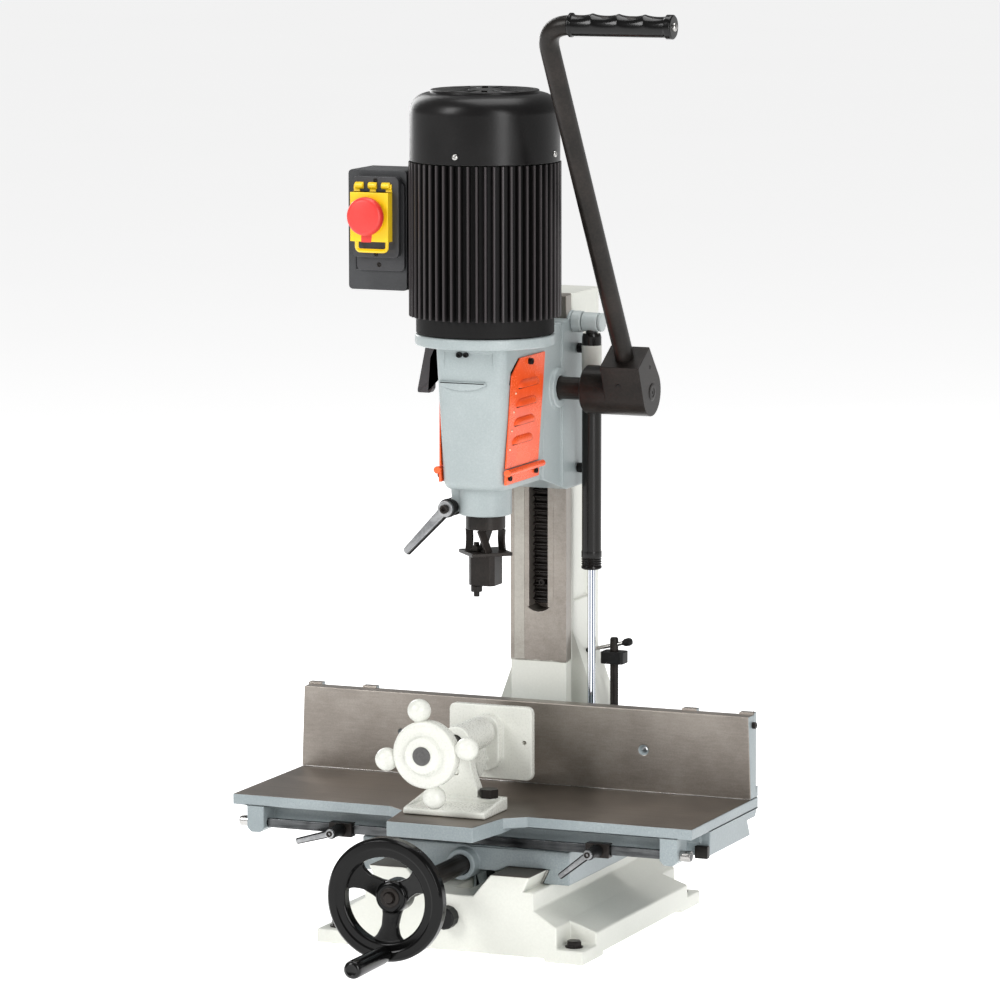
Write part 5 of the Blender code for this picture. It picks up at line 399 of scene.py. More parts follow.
def finned_black(name, centre, gap, tip):
    """Cast fins whose wide tips carry a painted sheen and whose gaps are painted dark as shade."""
    made = Finish(name, IOR=1.32)
    across, back = made.axis(0) - centre[0], made.axis(1) - centre[1]
    reach = made.node("ShaderNodeMath", {"operation": "SQRT"}, {0: across * across + back * back})
    fine = made.grain(500, 3)
    # painted highlight on the fin tips and painted shade in the gaps between them
    tip_sheen = (reach + fine * 0.0004).ease(0.0742, 0.0764)
    made.varies("Base Color", made.blend(tip_sheen, gap, tip))
    made.varies("Roughness", 0.60 - tip_sheen * 0.32 + fine * 0.08)
    made.varies("Normal", made.relief(fine, 0.00004, made.eased_edges(0.0006)))
    return made.material


FIN_BLACK = finned_black("motor_fin_black", (0, -0.0662), shade(5, 4, 4), shade(58, 54, 55))


# %% Bright metals
def brushed_metal(name, colour, dull, rough, lines):
    """Bare metal whose turning or brushing marks are drawn out by lines."""
    made = Finish(name, Metallic=1.0)
    marks = made.grain(1, 4, 0.6, made.stretched(*lines))
    cloud = made.grain(40, 2)
    made.varies("Base Color", made.blend((marks * 0.5 + cloud * 0.5).ease(0.25, 0.75), dull, colour))
    made.varies("Roughness", rough + marks * 0.16)
    made.varies("Normal", made.relief(marks, 0.00002, made.eased_edges(0.0005)))
    return made.material


def chrome_with_painted_reflections(name, centre, reflection_bands):
    """A polished rod whose colour carries painted reflections of a room in upright bands, dark and bright by turns."""
    made = Finish(name, Metallic=1.0)
    angle = made.node("ShaderNodeMath", {"operation": "ARCTAN2"}, {
        0: made.axis(1) - centre[1], 1: made.axis(0) - centre[0]})
    # painted reflection: bands of dark and bright colour running round the rod
    band = made.node("ShaderNodeMath", {"operation": "SINE"}, {0: angle * reflection_bands + made.grain(3) * 0.6})
    made.varies("Base Color", made.blend(band.ease(-0.35, 0.30), shade(66, 74, 92), shade(238, 241, 245)))
    made.varies("Roughness", 0.06 + made.grain(200) * 0.04)
    return made.material


CHROME = chrome_with_painted_reflections("rod_chrome", (0.058, 0.075), 9)
SILVER = brushed_metal("satin_silver", shade(178, 179, 180), shade(120, 121, 123), 0.30, (220, 220, 220))
BRIGHT = brushed_metal("bright_steel", shade(205, 204, 202), shade(158, 156, 153), 0.20, (60, 700, 700))
RAIL_STEEL = brushed_metal("drawn_steel", shade(104, 106, 107), shade(30, 31, 33), 0.16, (26, 500, 300))
DULL_ZINC = brushed_metal("dull_zinc", shade(128, 129, 130), shade(52, 53, 55), 0.28, (160, 160, 160))

# %% Coloured coats and plastics
ORANGE = plain_finish("orange_powder_coat", shade(232, 80, 32), shade(246, 100, 48), 0.22, 0.10, 0.00005, 650, 0.0005)
YELLOW = plain_finish("yellow_moulding", shade(232, 190, 16), shade(246, 208, 30), 0.28, 0.12, 0.00003, 900, 0.0006)
RED = plain_finish("red_moulding", shade(206, 46, 42), shade(222, 60, 54), 0.34, 0.10, 0.00002, 700, 0.0006)
GREEN = plain_finish("green_moulding", shade(20, 120, 52), shade(34, 142, 66), 0.30, 0.10, 0.00002, 700, 0.0004)
print("finishes in all:", len(bpy.data.materials))

# %% [markdown]
# ## Painting what the frame already shows well
#
# Many CAD nodes have the right shape as they are. Each gets its finish by its name, in its own slot,
# and the mesh is not touched. Later steps replace the ones whose roundness or cast edges need more
# faces than a working model carries.

# %% Finishes by node
PAINTED = {
    "base_casting": BASE_IRON, "column": COLUMN_IRON, "feed_rack": OXIDE_BLACK, "gas_strut_rod": CHROME,
    "hold_down_bolt_front_left": SILVER, "hold_down_bolt_front_right": SILVER,
    "hold_down_bolt_rear_left": SILVER, "hold_down_bolt_rear_right": SILVER,
    "cross_feed_screw": RUBBER_BLACK, "depth_stop_screw": OXIDE_BLACK, "depth_stop_collar": RUBBER_BLACK,
    "saddle_casting": SADDLE_IRON, "saddle_gib": BRIGHT, "handwheel_shaft": OXIDE_BLACK, "handwheel": GLOSS_BLACK,
    "handwheel_grip": GRIP_BLACK, "table_casting": TABLE_IRON, "table_gib": BRIGHT, "table_rack": OXIDE_BLACK,
    "fence": FENCE_IRON, "stop_rail": RAIL_STEEL, "vice_casting": CAST_WHITE, "vice_hold_down_bolt": OXIDE_BLACK,
    "table_stop_left": OXIDE_BLACK, "table_stop_right": OXIDE_BLACK, "table_stop_lever_left": SILVER,
    "table_stop_lever_right": SILVER, "vice_jaw": CAST_WHITE, "vice_screw": OXIDE_BLACK,
    "vice_handwheel": CAST_WHITE, "head_casting": HAMMERED, "head_gib": BRIGHT,
    "gas_strut_barrel": BARREL_BLACK, "gas_strut_pin": SILVER, "motor_housing": MOTOR_BLACK,
    "fan_cover": MOTOR_BLACK, "door_hinge_leaf_left": ORANGE, "door_hinge_leaf_right": ORANGE,
    "chisel_holder": OXIDE_BLACK, "switch_box": BOX_BLACK, "switch_plate": PLATE_GREY, "cable_gland": RUBBER_BLACK,
    "gib_lock_knob_upper": RUBBER_BLACK, "gib_lock_knob_lower": RUBBER_BLACK, "head_lock_lever": PADDLE_GREY,
    "feed_pinion_shaft": OXIDE_BLACK, "lever_hub": OXIDE_BLACK, "lever_bar": OXIDE_BLACK,
    "lever_grip": GRIP_BLACK, "chuck_door_left": ORANGE, "chuck_door_right": ORANGE,
    "door_latch_screw_left": OXIDE_BLACK, "door_latch_screw_right": OXIDE_BLACK,
    "chisel_clamp_lever": SILVER, "motor_rotor": DULL_ZINC, "cooling_fan": RUBBER_BLACK, "drill_chuck": BRIGHT,
    "switch_cover": YELLOW, "stop_button": RED, "start_button": GREEN,
}
for node, material in PAINTED.items():
    for slot in NODES[node].material_slots:
        slot.material = material
print("painted:", len(PAINTED), "of", len(NODES), " left plain:", sorted(set(NODES) - set(PAINTED)))

# %% [markdown]
# ## Turning, drawing out and bending shapes
#
# Nearly every part here was once turned on a lathe, cut from bar or bent from tube. Three small
# helpers copy those trades: `turned` spins an outline, `cut_from_bar` gives an outline a thickness, and
# `drawn_along` carries a section along a path. `softened` rounds an outline's corners first, because a
# real edge is never sharp and the rounding is what catches the light.


# %% Outlines with soft corners
def softened(points, radius, steps=4, closed=True):
    """An outline in two axes with its corners rounded; radius is one number or one for each point."""
    radii = radius if isinstance(radius, (list, tuple)) else [radius] * len(points)
    out, count = [], len(points)
    for index, (point, wanted) in enumerate(zip(points, radii)):
        here = Vector(point)
        if wanted <= 0 or (not closed and index in (0, count - 1)):
            out.append(tuple(here))
            continue
        before, after = Vector(points[index - 1]), Vector(points[(index + 1) % count])
        room = min((before - here).length, (after - here).length) * 0.48
        back, on = (before - here).normalized(), (after - here).normalized()
        half = max(0.05, back.angle(on) / 2)
        reach = min(room, wanted / math.tan(half))
        start, end = here + back * reach, here + on * reach
        for step in range(steps + 1):
            t = step / steps
            out.append(tuple(start * (1 - t) ** 2 + here * (2 * t * (1 - t)) + end * t ** 2))
    return out


def turned(profile, sides=64, ring=False):
    """(radius, height) pairs spun round Z. A ring joins its last pair to its first."""
    bm = bmesh.new()
    if not ring:
        profile = ([] if profile[0][0] < 1e-7 else [(0, profile[0][1])]) + list(profile)
        profile = profile + ([] if profile[-1][0] < 1e-7 else [(0, profile[-1][1])])
    rows = []
    for radius, height in profile:
        if radius < 1e-7:
            rows.append([bm.verts.new((0, 0, height))] * sides)
        else:
            rows.append([bm.verts.new((radius * math.cos(2 * math.pi * i / sides),
                                       radius * math.sin(2 * math.pi * i / sides), height))
                         for i in range(sides)])
    pairs = list(zip(rows, rows[1:])) + ([(rows[-1], rows[0])] if ring else [])
    for low, high in pairs:
        for i in range(sides):
            j = (i + 1) % sides
            corners = list(dict.fromkeys((low[i], low[j], high[j], high[i])))
            if len(corners) > 2:
                bm.faces.new(corners)
    bmesh.ops.recalc_face_normals(bm, faces=bm.faces)
    return bm


def cut_from_bar(outline, low, high, edge=0.0, steps=2):
    """An outline in X and Y made solid from low to high along Z, its rims eased by edge."""
    bm = bmesh.new()
    rings = [(low, 0)] if edge <= 0 else [
        (low + edge * (1 - math.cos(math.pi / 2 * k / steps)), edge * (1 - math.sin(math.pi / 2 * k / steps)))
        for k in range(steps + 1)]
    rings = rings + [(low + high - height, inset) for height, inset in reversed(rings)]
    count = len(outline)
    flat = [Vector(point) for point in outline]
    turn = sum(flat[i - 1].x * flat[i].y - flat[i].x * flat[i - 1].y for i in range(count))
    inward = []
    for i in range(count):
        ahead, behind = (flat[(i + 1) % count] - flat[i]).normalized(), (flat[i] - flat[i - 1]).normalized()
        normals = Vector((-behind.y, behind.x)), Vector((-ahead.y, ahead.x))
        both = (normals[0] + normals[1]).normalized()
        inward.append(both / max(0.35, both.dot(normals[0])) * (1 if turn > 0 else -1))
    loops = [[bm.verts.new((*(flat[i] + inward[i] * inset), height)) for i in range(count)]
             for height, inset in rings]
    for low_loop, high_loop in zip(loops, loops[1:]):
        for i in range(count):
            bm.faces.new((low_loop[i - 1], low_loop[i], high_loop[i], high_loop[i - 1]))
    bm.faces.new(loops[0])
    bm.faces.new(loops[-1])
    bmesh.ops.recalc_face_normals(bm, faces=bm.faces)
    return bm


def drawn_along(path, section, ends=True):
    """A section, as (sideways, upward) pairs or a radius for each path point, carried along a path."""
    bm = bmesh.new()
    path = [Vector(point) for point in path]
    forward = (path[1] - path[0]).normalized()
    side = forward.orthogonal().normalized()
    rows = []
    for index, point in enumerate(path):
        ahead = path[min(index + 1, len(path) - 1)] - path[max(index - 1, 0)]
        side = forward.rotation_difference(ahead.normalized()) @ side
        forward = ahead.normalized()
        up = forward.cross(side)
        shape = section(index) if callable(section) else section
        rows.append([bm.verts.new(point + side * a + up * b) for a, b in shape])
    count = len(rows[0])
    for low, high in zip(rows, rows[1:]):
        for i in range(count):
            bm.faces.new((low[i - 1], low[i], high[i], high[i - 1]))
    if ends:
        bm.faces.new(rows[0])
        bm.faces.new(rows[-1])
    bmesh.ops.recalc_face_normals(bm, faces=bm.faces)
    return bm


def circle(radius, sides=24, start=0.0):
    return [(radius * math.cos(start + 2 * math.pi * i / sides), radius * math.sin(start + 2 * math.pi * i / sides))
            for i in range(sides)]


def box_outline(left, right, low, high):
    return [(left, low), (right, low), (right, high), (left, high)]


# %% Setting pieces in place
TO_RIGHT = Matrix.Rotation(math.pi / 2, 4, "Y")       # what stood up now points to +X
TO_FRONT = Matrix.Rotation(math.pi / 2, 4, "X")       # what stood up now points to -Y, and +Y to +Z


def moved(bm, *matrices):
    """A shape carried by matrices, the last one first."""
    whole = Matrix.Identity(4)
    for matrix in matrices:
        whole = whole @ matrix
    bmesh.ops.transform(bm, matrix=whole, verts=bm.verts)
    return bm


def at(x, y, z):
    return Matrix.Translation((x, y, z))


def together(*shapes):
    """Several closed shapes as one."""
    whole = shapes[0]
    for other in shapes[1:]:
        spare = bpy.data.meshes.new("spare")
        other.to_mesh(spare)
        other.free()
        whole.from_mesh(spare)
        bpy.data.meshes.remove(spare)
    return whole


def as_mesh(name, shape, finish=None):
    mesh = bpy.data.meshes.new(name)
    shape.to_mesh(mesh)
    shape.free()
    if finish:
        mesh.materials.append(finish)
    return mesh


def settled(piece):
    """Applies a piece's modifiers, so that what is kept is the plain mesh."""
    bpy.context.view_layer.update()
    ready = piece.evaluated_get(bpy.context.evaluated_depsgraph_get())
    mesh = bpy.data.meshes.new_from_object(ready, preserve_all_data_layers=True,
                                           depsgraph=bpy.context.evaluated_depsgraph_get())
    piece.modifiers.clear()
    piece.data = mesh
    return piece


def fitted(name, shape, finish, node, stands=True, smooth=40, also=()):
    """Makes a shape a finished piece: it rides with a CAD node's body and may stand for the node."""
    mesh = shape if isinstance(shape, bpy.types.Mesh) else as_mesh(name, shape)
    mesh.name = name
    if finish:
        mesh.materials.clear()
        mesh.materials.append(finish)
    mesh.shade_smooth()
    mesh.set_sharp_from_angle(angle=math.radians(smooth))
    piece = bpy.data.objects.new(name, mesh)
    bpy.context.scene.collection.objects.link(piece)
    evening = piece.modifiers.new("even shading", "WEIGHTED_NORMAL")
    evening.keep_sharp = True
    settled(piece)
    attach(piece, BODY_OF[node])
    if stands:
        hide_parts(node, *also)
    return piece


print("helpers ready")

# %% [markdown]
# ## Cast edges
#
# A sand casting leaves its mould with every edge round. The CAD nodes have the castings' planes, so
# a copy of each is merged, its flat faces joined up, and its sharp edges given a bevel. One width for
# all edges would tear where a casting has narrow steps, so each edge gets the width its neighbours
# leave room for, as a bevel weight.


# %% A casting with eased edges
def cast_copy(node, finish, width, steps=2, sharp=25, room_share=0.42, smooth=44, floor=None):
    """A copy of a CAD node with its sharp edges eased by up to width, and cut off below floor."""
    bm = bmesh.new()
    bm.from_mesh(NODES[node].data)
    bmesh.ops.remove_doubles(bm, verts=bm.verts, dist=0.00002)
    bmesh.ops.dissolve_limit(bm, angle_limit=math.radians(0.8), verts=bm.verts, edges=bm.edges)
    if floor is not None:
        cut = bmesh.ops.bisect_plane(bm, geom=bm.verts[:] + bm.edges[:] + bm.faces[:], plane_co=(0, 0, floor),
                                     plane_no=(0, 0, -1), clear_outer=True)
        bmesh.ops.holes_fill(bm, edges=[item for item in cut["geom_cut"] if isinstance(item, bmesh.types.BMEdge)])
    weight = bm.edges.layers.float.new("bevel_weight_edge")
    room = {vert: min((edge.calc_length() for edge in vert.link_edges), default=0) for vert in bm.verts}
    for edge in bm.edges:
        if len(edge.link_faces) == 2 and edge.calc_face_angle(0) > math.radians(sharp):
            edge[weight] = min(1.0, room_share * min(room[vert] for vert in edge.verts) / width)
    before = bm.calc_volume()
    piece = bpy.data.objects.new(node, as_mesh(node, bm))
    bpy.context.scene.collection.objects.link(piece)
    bevel = piece.modifiers.new("cast edges", "BEVEL")
    bevel.width, bevel.segments, bevel.limit_method, bevel.use_clamp_overlap = width, steps, "WEIGHT", False
    settled(piece)
    mesh = piece.data
    bpy.data.objects.remove(piece)
    check = bmesh.new()
    check.from_mesh(mesh)
    after = check.calc_volume()
    check.free()
    print(f"{node}: volume kept {after / before:.4f}, faces {len(mesh.polygons)}")
    return fitted(node + "_cast", mesh, finish, node, smooth=smooth)


CASTINGS = (
    ("base_casting", BASE_IRON, 0.0018), ("column", COLUMN_IRON, 0.0009), ("saddle_casting", SADDLE_IRON, 0.0016),
    ("table_casting", TABLE_IRON, 0.0011), ("fence", FENCE_IRON, 0.0011), ("vice_casting", CAST_WHITE, 0.0018),
    ("vice_jaw", CAST_WHITE, 0.0016), ("head_casting", HAMMERED, 0.0018), ("switch_box", BOX_BLACK, 0.0018),
    ("stop_rail", RAIL_STEEL, 0.0006), ("table_stop_left", OXIDE_BLACK, 0.0006),
    ("table_stop_right", OXIDE_BLACK, 0.0006), ("feed_rack", OXIDE_BLACK, 0.0003),
    ("depth_stop_collar", RUBBER_BLACK, 0.0006),
)
for node, finish, width in CASTINGS:
    cast_copy(node, finish, width)
cast_copy("switch_cover", YELLOW, 0.0007, floor=0.7066)

# %% [markdown]
# ## Patterns in Geometry Nodes
#
# Fins, ribs, screws and spokes repeat by a rule, so they are grown by small node trees. Each tree has
# named sizes, ends by making its copies real and painting them, and is run on an empty carrier. The
# result is taken off as a plain mesh, so nothing live is left behind. `grown` does that for any tree.


# %% A tree with named sizes
class Pattern(Board):
    """A Geometry Nodes tree: named sizes in, one painted mesh out."""

    def __init__(self, name, **sizes):
        super().__init__(bpy.data.node_groups.new(name, "GeometryNodeTree"))
        face = self.tree.interface
        face.new_socket("Carrier", in_out="INPUT", socket_type="NodeSocketGeometry")
        for label, kind in dict(sizes, Finish="Material").items():
            face.new_socket(label, in_out="INPUT", socket_type="NodeSocket" + kind)
        face.new_socket("Shape", in_out="OUTPUT", socket_type="NodeSocketGeometry")
        self.entry, self.exit = self.tree.nodes.new("NodeGroupInput"), self.tree.nodes.new("NodeGroupOutput")

    def size(self, label):
        return Wire(self, self.entry.outputs[label])

    def copies_on(self, points, turn, scale=(1, 1, 1)):
        """A copy of the object named Copy on each point."""
        copy = self.node("GeometryNodeObjectInfo", inputs={"Object": self.size("Copy")}, output="Geometry")
        return self.node("GeometryNodeInstanceOnPoints", inputs={
            "Points": points, "Instance": copy, "Rotation": turn, "Scale": scale})

    def ends_with(self, shape):
        real = self.node("GeometryNodeRealizeInstances", inputs={0: shape})
        painted = self.node("GeometryNodeSetMaterial", inputs={0: real, "Material": self.size("Finish")})
        self.plug(painted, self.exit.inputs[0])


def grown(pattern, name, copy=None, points=None, **sizes):
    """Runs a pattern with these sizes and returns its plain mesh. copy is a shape that it repeats."""
    carrier = bpy.data.objects.new(name, points or bpy.data.meshes.new(name))
    bpy.context.scene.collection.objects.link(carrier)
    if copy:
        sizes["Copy"] = bpy.data.objects.new(name + "_copy", as_mesh(name + "_copy", copy))
        bpy.context.scene.collection.objects.link(sizes["Copy"])
    modifier = carrier.modifiers.new("pattern", "NODES")
    modifier.node_group = pattern.tree
    for item in pattern.tree.interface.items_tree:
        if item.in_out == "INPUT" and item.name in sizes:
            modifier[item.identifier] = sizes[item.name]
    settled(carrier)
    mesh = carrier.data
    bpy.data.objects.remove(carrier)
    if copy:
        bpy.data.objects.remove(sizes["Copy"])
    return mesh


def carried(mesh, *matrices):
    """A mesh put in its place."""
    for matrix in reversed(matrices):
        mesh.transform(matrix)
    return mesh


# %% Copies round a circle, in a row, and on chosen points
ring_pattern = Pattern("copies round a circle", Copy="Object", Count="Int", Radius="Float", Start="Float")
rim_points = ring_pattern.node("GeometryNodeMeshCircle", inputs={
    "Vertices": ring_pattern.size("Count"), "Radius": ring_pattern.size("Radius")})
share = ring_pattern.node("GeometryNodeInputIndex") / ring_pattern.size("Count")
turn = ring_pattern.node("ShaderNodeCombineXYZ", inputs={"Z": share * (2 * math.pi)})
whole_ring = ring_pattern.copies_on(rim_points, turn)
spun = ring_pattern.node("ShaderNodeCombineXYZ", inputs={"Z": ring_pattern.size("Start")})
ring_pattern.ends_with(ring_pattern.node("GeometryNodeTransform", inputs={0: whole_ring, "Rotation": spun}))

row_pattern = Pattern("copies in a row", Copy="Object", Count="Int", Step="Vector")
row_points = row_pattern.node("GeometryNodeMeshLine", {"mode": "OFFSET"}, {
    "Count": row_pattern.size("Count"), "Offset": row_pattern.size("Step")})
row_pattern.ends_with(row_pattern.copies_on(row_points, (0, 0, 0)))

screw_pattern = Pattern("screws on points", Copy="Object")
facing_way = screw_pattern.node("GeometryNodeInputNamedAttribute", {"data_type": "FLOAT_VECTOR"}, {"Name": "facing"})
screw_turn = screw_pattern.node("FunctionNodeAlignRotationToVector", {"axis": "Z"}, {"Vector": facing_way})
screw_size = screw_pattern.node("GeometryNodeInputNamedAttribute", {"data_type": "FLOAT"}, {"Name": "size"})
screw_pattern.ends_with(screw_pattern.copies_on(screw_pattern.size("Carrier"), screw_turn, screw_size))


def marked_points(places):
    """A mesh of points, each with the way a screw there faces and its size."""
    mesh = bpy.data.meshes.new("marks")
    mesh.from_pydata([place for place, way, size in places], [], [])
    mesh.attributes.new("facing", "FLOAT_VECTOR", "POINT")
    mesh.attributes.new("size", "FLOAT", "POINT")
    for index, (place, way, size) in enumerate(places):
        mesh.attributes["facing"].data[index].vector = way
        mesh.attributes["size"].data[index].value = size
    return mesh


print("patterns:", len(bpy.data.node_groups))

# %% [markdown]
# ## Screw heads
#
# A screw head is a turned shape whose recess is not round. If a ring's radius may follow a rule of its
# angle, one turning makes them all: a hexagon is the distance to its nearest flat, and a cross is two
# bars. They are made one metre across and scaled down by each point's size.


# %% Heads by rule
def hexagon(flat):
    """Radius rule of a hexagon with this half width across flats."""
    return lambda angle: flat / math.cos(angle % (math.pi / 3) - math.pi / 6)


def cross(arm, width):
    """Radius rule of a cross with arms this long and half this wide."""
    def reach(angle):
        off = abs((angle + math.pi / 4) % (math.pi / 2) - math.pi / 4)
        return arm / math.cos(off) if math.tan(off) <= width / arm else width / math.sin(off)
    return reach


def ruled(rows, sides=36):
    """A turned shape whose radii may be rules of the angle."""
    bm = turned([(1.0 if callable(radius) else radius, height) for radius, height in rows], sides)
    bm.verts.ensure_lookup_table()
    offset = 0 if not callable(rows[0][0]) and rows[0][0] < 1e-7 else 1
    start = offset
    for radius, height in rows:
        if not callable(radius) and radius < 1e-7:
            start += 1
            continue
        for i in range(sides):
            if callable(radius):
                angle = 2 * math.pi * i / sides
                bm.verts[start + i].co.xy = (radius(angle) * math.cos(angle), radius(angle) * math.sin(angle))
        start += sides
    bmesh.ops.recalc_face_normals(bm, faces=bm.faces)
    return bm


def cross_head():
    return ruled([(1.0, -0.3), (1.0, 0.12), (0.92, 0.34), (0.72, 0.52), (cross(0.55, 0.16), 0.58),
                  (cross(0.42, 0.10), 0.22), (0, 0.15)])


def socket_head():
    return ruled([(0.96, -0.4), (1.0, -0.3), (1.0, 0.86), (0.93, 1.0), (0.64, 1.0), (hexagon(0.50), 0.96),
                  (hexagon(0.50), 0.35), (0, 0.30)])


def hex_head():
    return ruled([(hexagon(0.86), 0.0), (hexagon(0.86), 0.62), (0.86, 0.76), (0.5, 0.78), (0, 0.78)])


def screws(name, shape, finish, node, places):
    """One piece of screws on a node's body: each place is a point, the way it faces and its radius."""
    mesh = grown(screw_pattern, name, copy=shape, points=marked_points(places), Finish=finish)
    print(name, "faces:", len(mesh.polygons))
    return fitted(name, mesh, None, node, stands=False, smooth=35)


print("heads ready")

# %% [markdown]
# ## The motor's finned case
#
# The case is an aluminium extrusion: one tooth-shaped outline, drawn straight up. That is a rule, so a
# plain cylinder with twelve points for each fin has its radius set from the angle: high for the first
# third of each pitch, low between. Carving 54 slots with booleans would give the same shape slowly.

# %% Finned case
MOTOR_AXIS = (0, -0.0662, 0)
FINS, POINTS_PER_FIN = 54, 12
case = Pattern("finned case", Fins="Int", Tip="Float", Root="Float", Low="Float", High="Float")
blank = case.node("GeometryNodeMeshCylinder", {"fill_type": "NGON"}, {
    "Vertices": case.size("Fins") * POINTS_PER_FIN, "Radius": 1.0, "Depth": 1.0})
spot = case.node("GeometryNodeInputPosition")
east, north, up = (case.node("ShaderNodeSeparateXYZ", inputs={0: spot}, output=i) for i in range(3))
angle = case.node("ShaderNodeMath", {"operation": "ARCTAN2"}, {0: north, 1: east})
phase = case.node("ShaderNodeMath", {"operation": "FRACT"}, {0: angle * case.size("Fins") / (2 * math.pi) + 100.5})
from_fin = case.node("ShaderNodeMath", {"operation": "ABSOLUTE"}, {0: phase - 0.5}) * 2
reach = case.size("Root") + (case.size("Tip") - case.size("Root")) * (1 - from_fin.ease(0.26, 0.50))
height = case.size("Low") + (up + 0.5) * (case.size("High") - case.size("Low"))
drawn = case.node("ShaderNodeCombineXYZ", inputs={"X": east * reach, "Y": north * reach, "Z": height})
case.ends_with(case.node("GeometryNodeSetPosition", inputs={0: blank, "Position": drawn}))
fins = grown(case, "finned_case", Fins=FINS, Tip=0.0764, Root=0.0692, Low=0.6327, High=0.7868, Finish=FIN_BLACK)

band = turned([(0.060, 0.6152), (0.0682, 0.6152), (0.0692, 0.6164), (0.0692, 0.6325), (0.0695, 0.6330),
               (0.0695, 0.7868), (0.060, 0.7870)], 96)
band.from_mesh(fins)
fitted("motor_case", moved(band, at(*MOTOR_AXIS)), FIN_BLACK, "motor_housing", smooth=30)
print("fins:", FINS)

# %% [markdown]
# ## The fan cover
#
# The cover is pressed from sheet over a round shoulder, and its top has a ring of slots over the fan.
# The shell is turned as a closed wall, so that its edge has a thickness, and the ribs between the
# slots are wedges set round a circle. Four small bright screws hold it.

# %% Cover, ribs and screws
COVER, COVER_TOP, GRILLE_TOP = 0.0752, 0.8555, 0.8585
shoulder = [(0.0557 + 0.0195 * math.cos(t), 0.8360 + 0.0195 * math.sin(t))
            for t in [math.pi / 2 * k / 8 for k in range(9)]]
inner = [(0.0557 + 0.0173 * math.cos(t), 0.8360 + 0.0173 * math.sin(t))
         for t in [math.pi / 2 * k / 8 for k in range(8, -1, -1)]]
shell = turned([(0.0738, 0.7872), (0.0752, 0.7878)] + shoulder + [(0.0547, 0.8560), (0.0545, 0.8578),
               (0.0538, 0.8585), (0.0490, 0.8585), (0.0488, 0.8553), (0.0530, 0.8540)] + inner +
               [(0.0730, 0.7872)], 96, ring=True)
hub = turned([(0.0172, 0.8553), (0.0174, 0.8578), (0.0168, 0.8585), (0.012, 0.8586), (0.0, 0.8586)], 48)
wedge = softened([(-0.0325, 0.0003), (0.0002, 0.0068), (0.0002, -0.0068), (-0.0325, -0.0003)], 0.0002, 1)
rib = cut_from_bar([(0.0008 + a, b) for a, b in wedge], 0.8553, 0.8585, 0.0004)
ribs = grown(ring_pattern, "ribs", copy=rib, Count=16, Radius=0.0486, Start=math.pi / 16, Finish=MOTOR_BLACK)
shell = together(shell, hub)
shell.from_mesh(ribs)
fitted("fan_cover_pressed", moved(shell, at(*MOTOR_AXIS)), MOTOR_BLACK, "fan_cover", smooth=35)
COVER_SCREWS = [((MOTOR_AXIS[0] + COVER * math.cos(t), MOTOR_AXIS[1] + COVER * math.sin(t), 0.796),
                 (math.cos(t), math.sin(t), 0), 0.0033) for t in [math.pi / 2 * k for k in range(4)]]
screws("cover_screws", cross_head(), BRIGHT, "fan_cover", COVER_SCREWS)
print("cover screws:", len(COVER_SCREWS))

# %% [markdown]
# ## The feed lever
#
# The lever is a bent steel bar in a hub that was turned from one thick bar and milled on its outer end,
# so that its section there is a circle pulled out to a flat top. The bar is drawn along a path with one
# round bend. The grip is a moulded plastic sleeve with four finger ridges on its upper side only, so
# its section's radius follows a rule of both the angle and the length.

# %% Hub, shaft and bar
SHAFT_Y, SHAFT_Z = 0.033375, 0.5503
LEAN = math.radians(31.6)
LEVER_WAY = Vector((0, -math.sin(LEAN), math.cos(LEAN)))
BAR_X, BAR_LENGTH, BAR_RADIUS, BEND = 0.1195, 0.448, 0.00975, 0.020
SIDE_ON = Matrix(((0, 0, 1, 0), (1, 0, 0, 0), (0, 1, 0, 0), (0, 0, 0, 1)))     # outline seen from the right

hub_reach, hub_half, hub_radius = 0.0436, 0.018, 0.0247
meet = math.acos(hub_radius / math.hypot(hub_reach, hub_half)) + math.atan2(hub_half, hub_reach)
arc = [(hub_radius * math.sin(t), hub_radius * math.cos(t))
       for t in [meet + (2 * math.pi - 2 * meet) * k / 40 for k in range(41)]]
outline = [(-hub_half, hub_reach), (hub_half, hub_reach)] + arc
milled = moved(cut_from_bar(softened(outline, [0.0008, 0.0008] + [0] * 41, 2), 0.0985, 0.1405, 0.0008),
               at(0, SHAFT_Y, SHAFT_Z), Matrix.Rotation(LEAN, 4, "X"), SIDE_ON)
collar = moved(turned([(0.0117, 0.0695), (0.0230, 0.0695), (0.0247, 0.0712), (0.0247, 0.0990), (0.0117, 0.0990)], 72),
               at(0, SHAFT_Y, SHAFT_Z), TO_RIGHT)
end_cap = moved(turned([(0.0, 0.1400), (0.0088, 0.1400), (0.0088, 0.1408), (0.0080, 0.1412), (0.0052, 0.1412),
                        (0.0048, 0.1408), (0.0016, 0.1408), (0.0014, 0.1396), (0, 0.1394)], 36),
                at(0, SHAFT_Y, SHAFT_Z), TO_RIGHT)
fitted("feed_hub", together(milled, collar, end_cap), OXIDE_BLACK, "lever_hub", smooth=35)

bend_at = Vector((BAR_X, SHAFT_Y, SHAFT_Z)) + LEVER_WAY * BAR_LENGTH
path = [Vector((BAR_X, SHAFT_Y, SHAFT_Z)) + LEVER_WAY * 0.004]
BEND_REACH = 0.030
for step in range(13):
    t = step / 12
    start, end = bend_at - LEVER_WAY * BEND_REACH, bend_at + Vector((BEND_REACH, 0, 0))
    path.append(start * (1 - t) ** 2 + bend_at * (2 * t * (1 - t)) + end * t ** 2)
path += [bend_at + Vector((0.115, 0, 0)), bend_at + Vector((0.1165, 0, 0))]
bar = drawn_along(path, lambda i: circle(BAR_RADIUS - (0.0008 if i == len(path) - 1 else 0), 28))
fitted("feed_bar", bar, OXIDE_BLACK, "lever_bar", smooth=50)

# %% Grip with finger ridges
GRIP_FROM, GRIP_TO, GRIP_SIDES, GRIP_ROWS = 0.146, 0.254, 40, 96


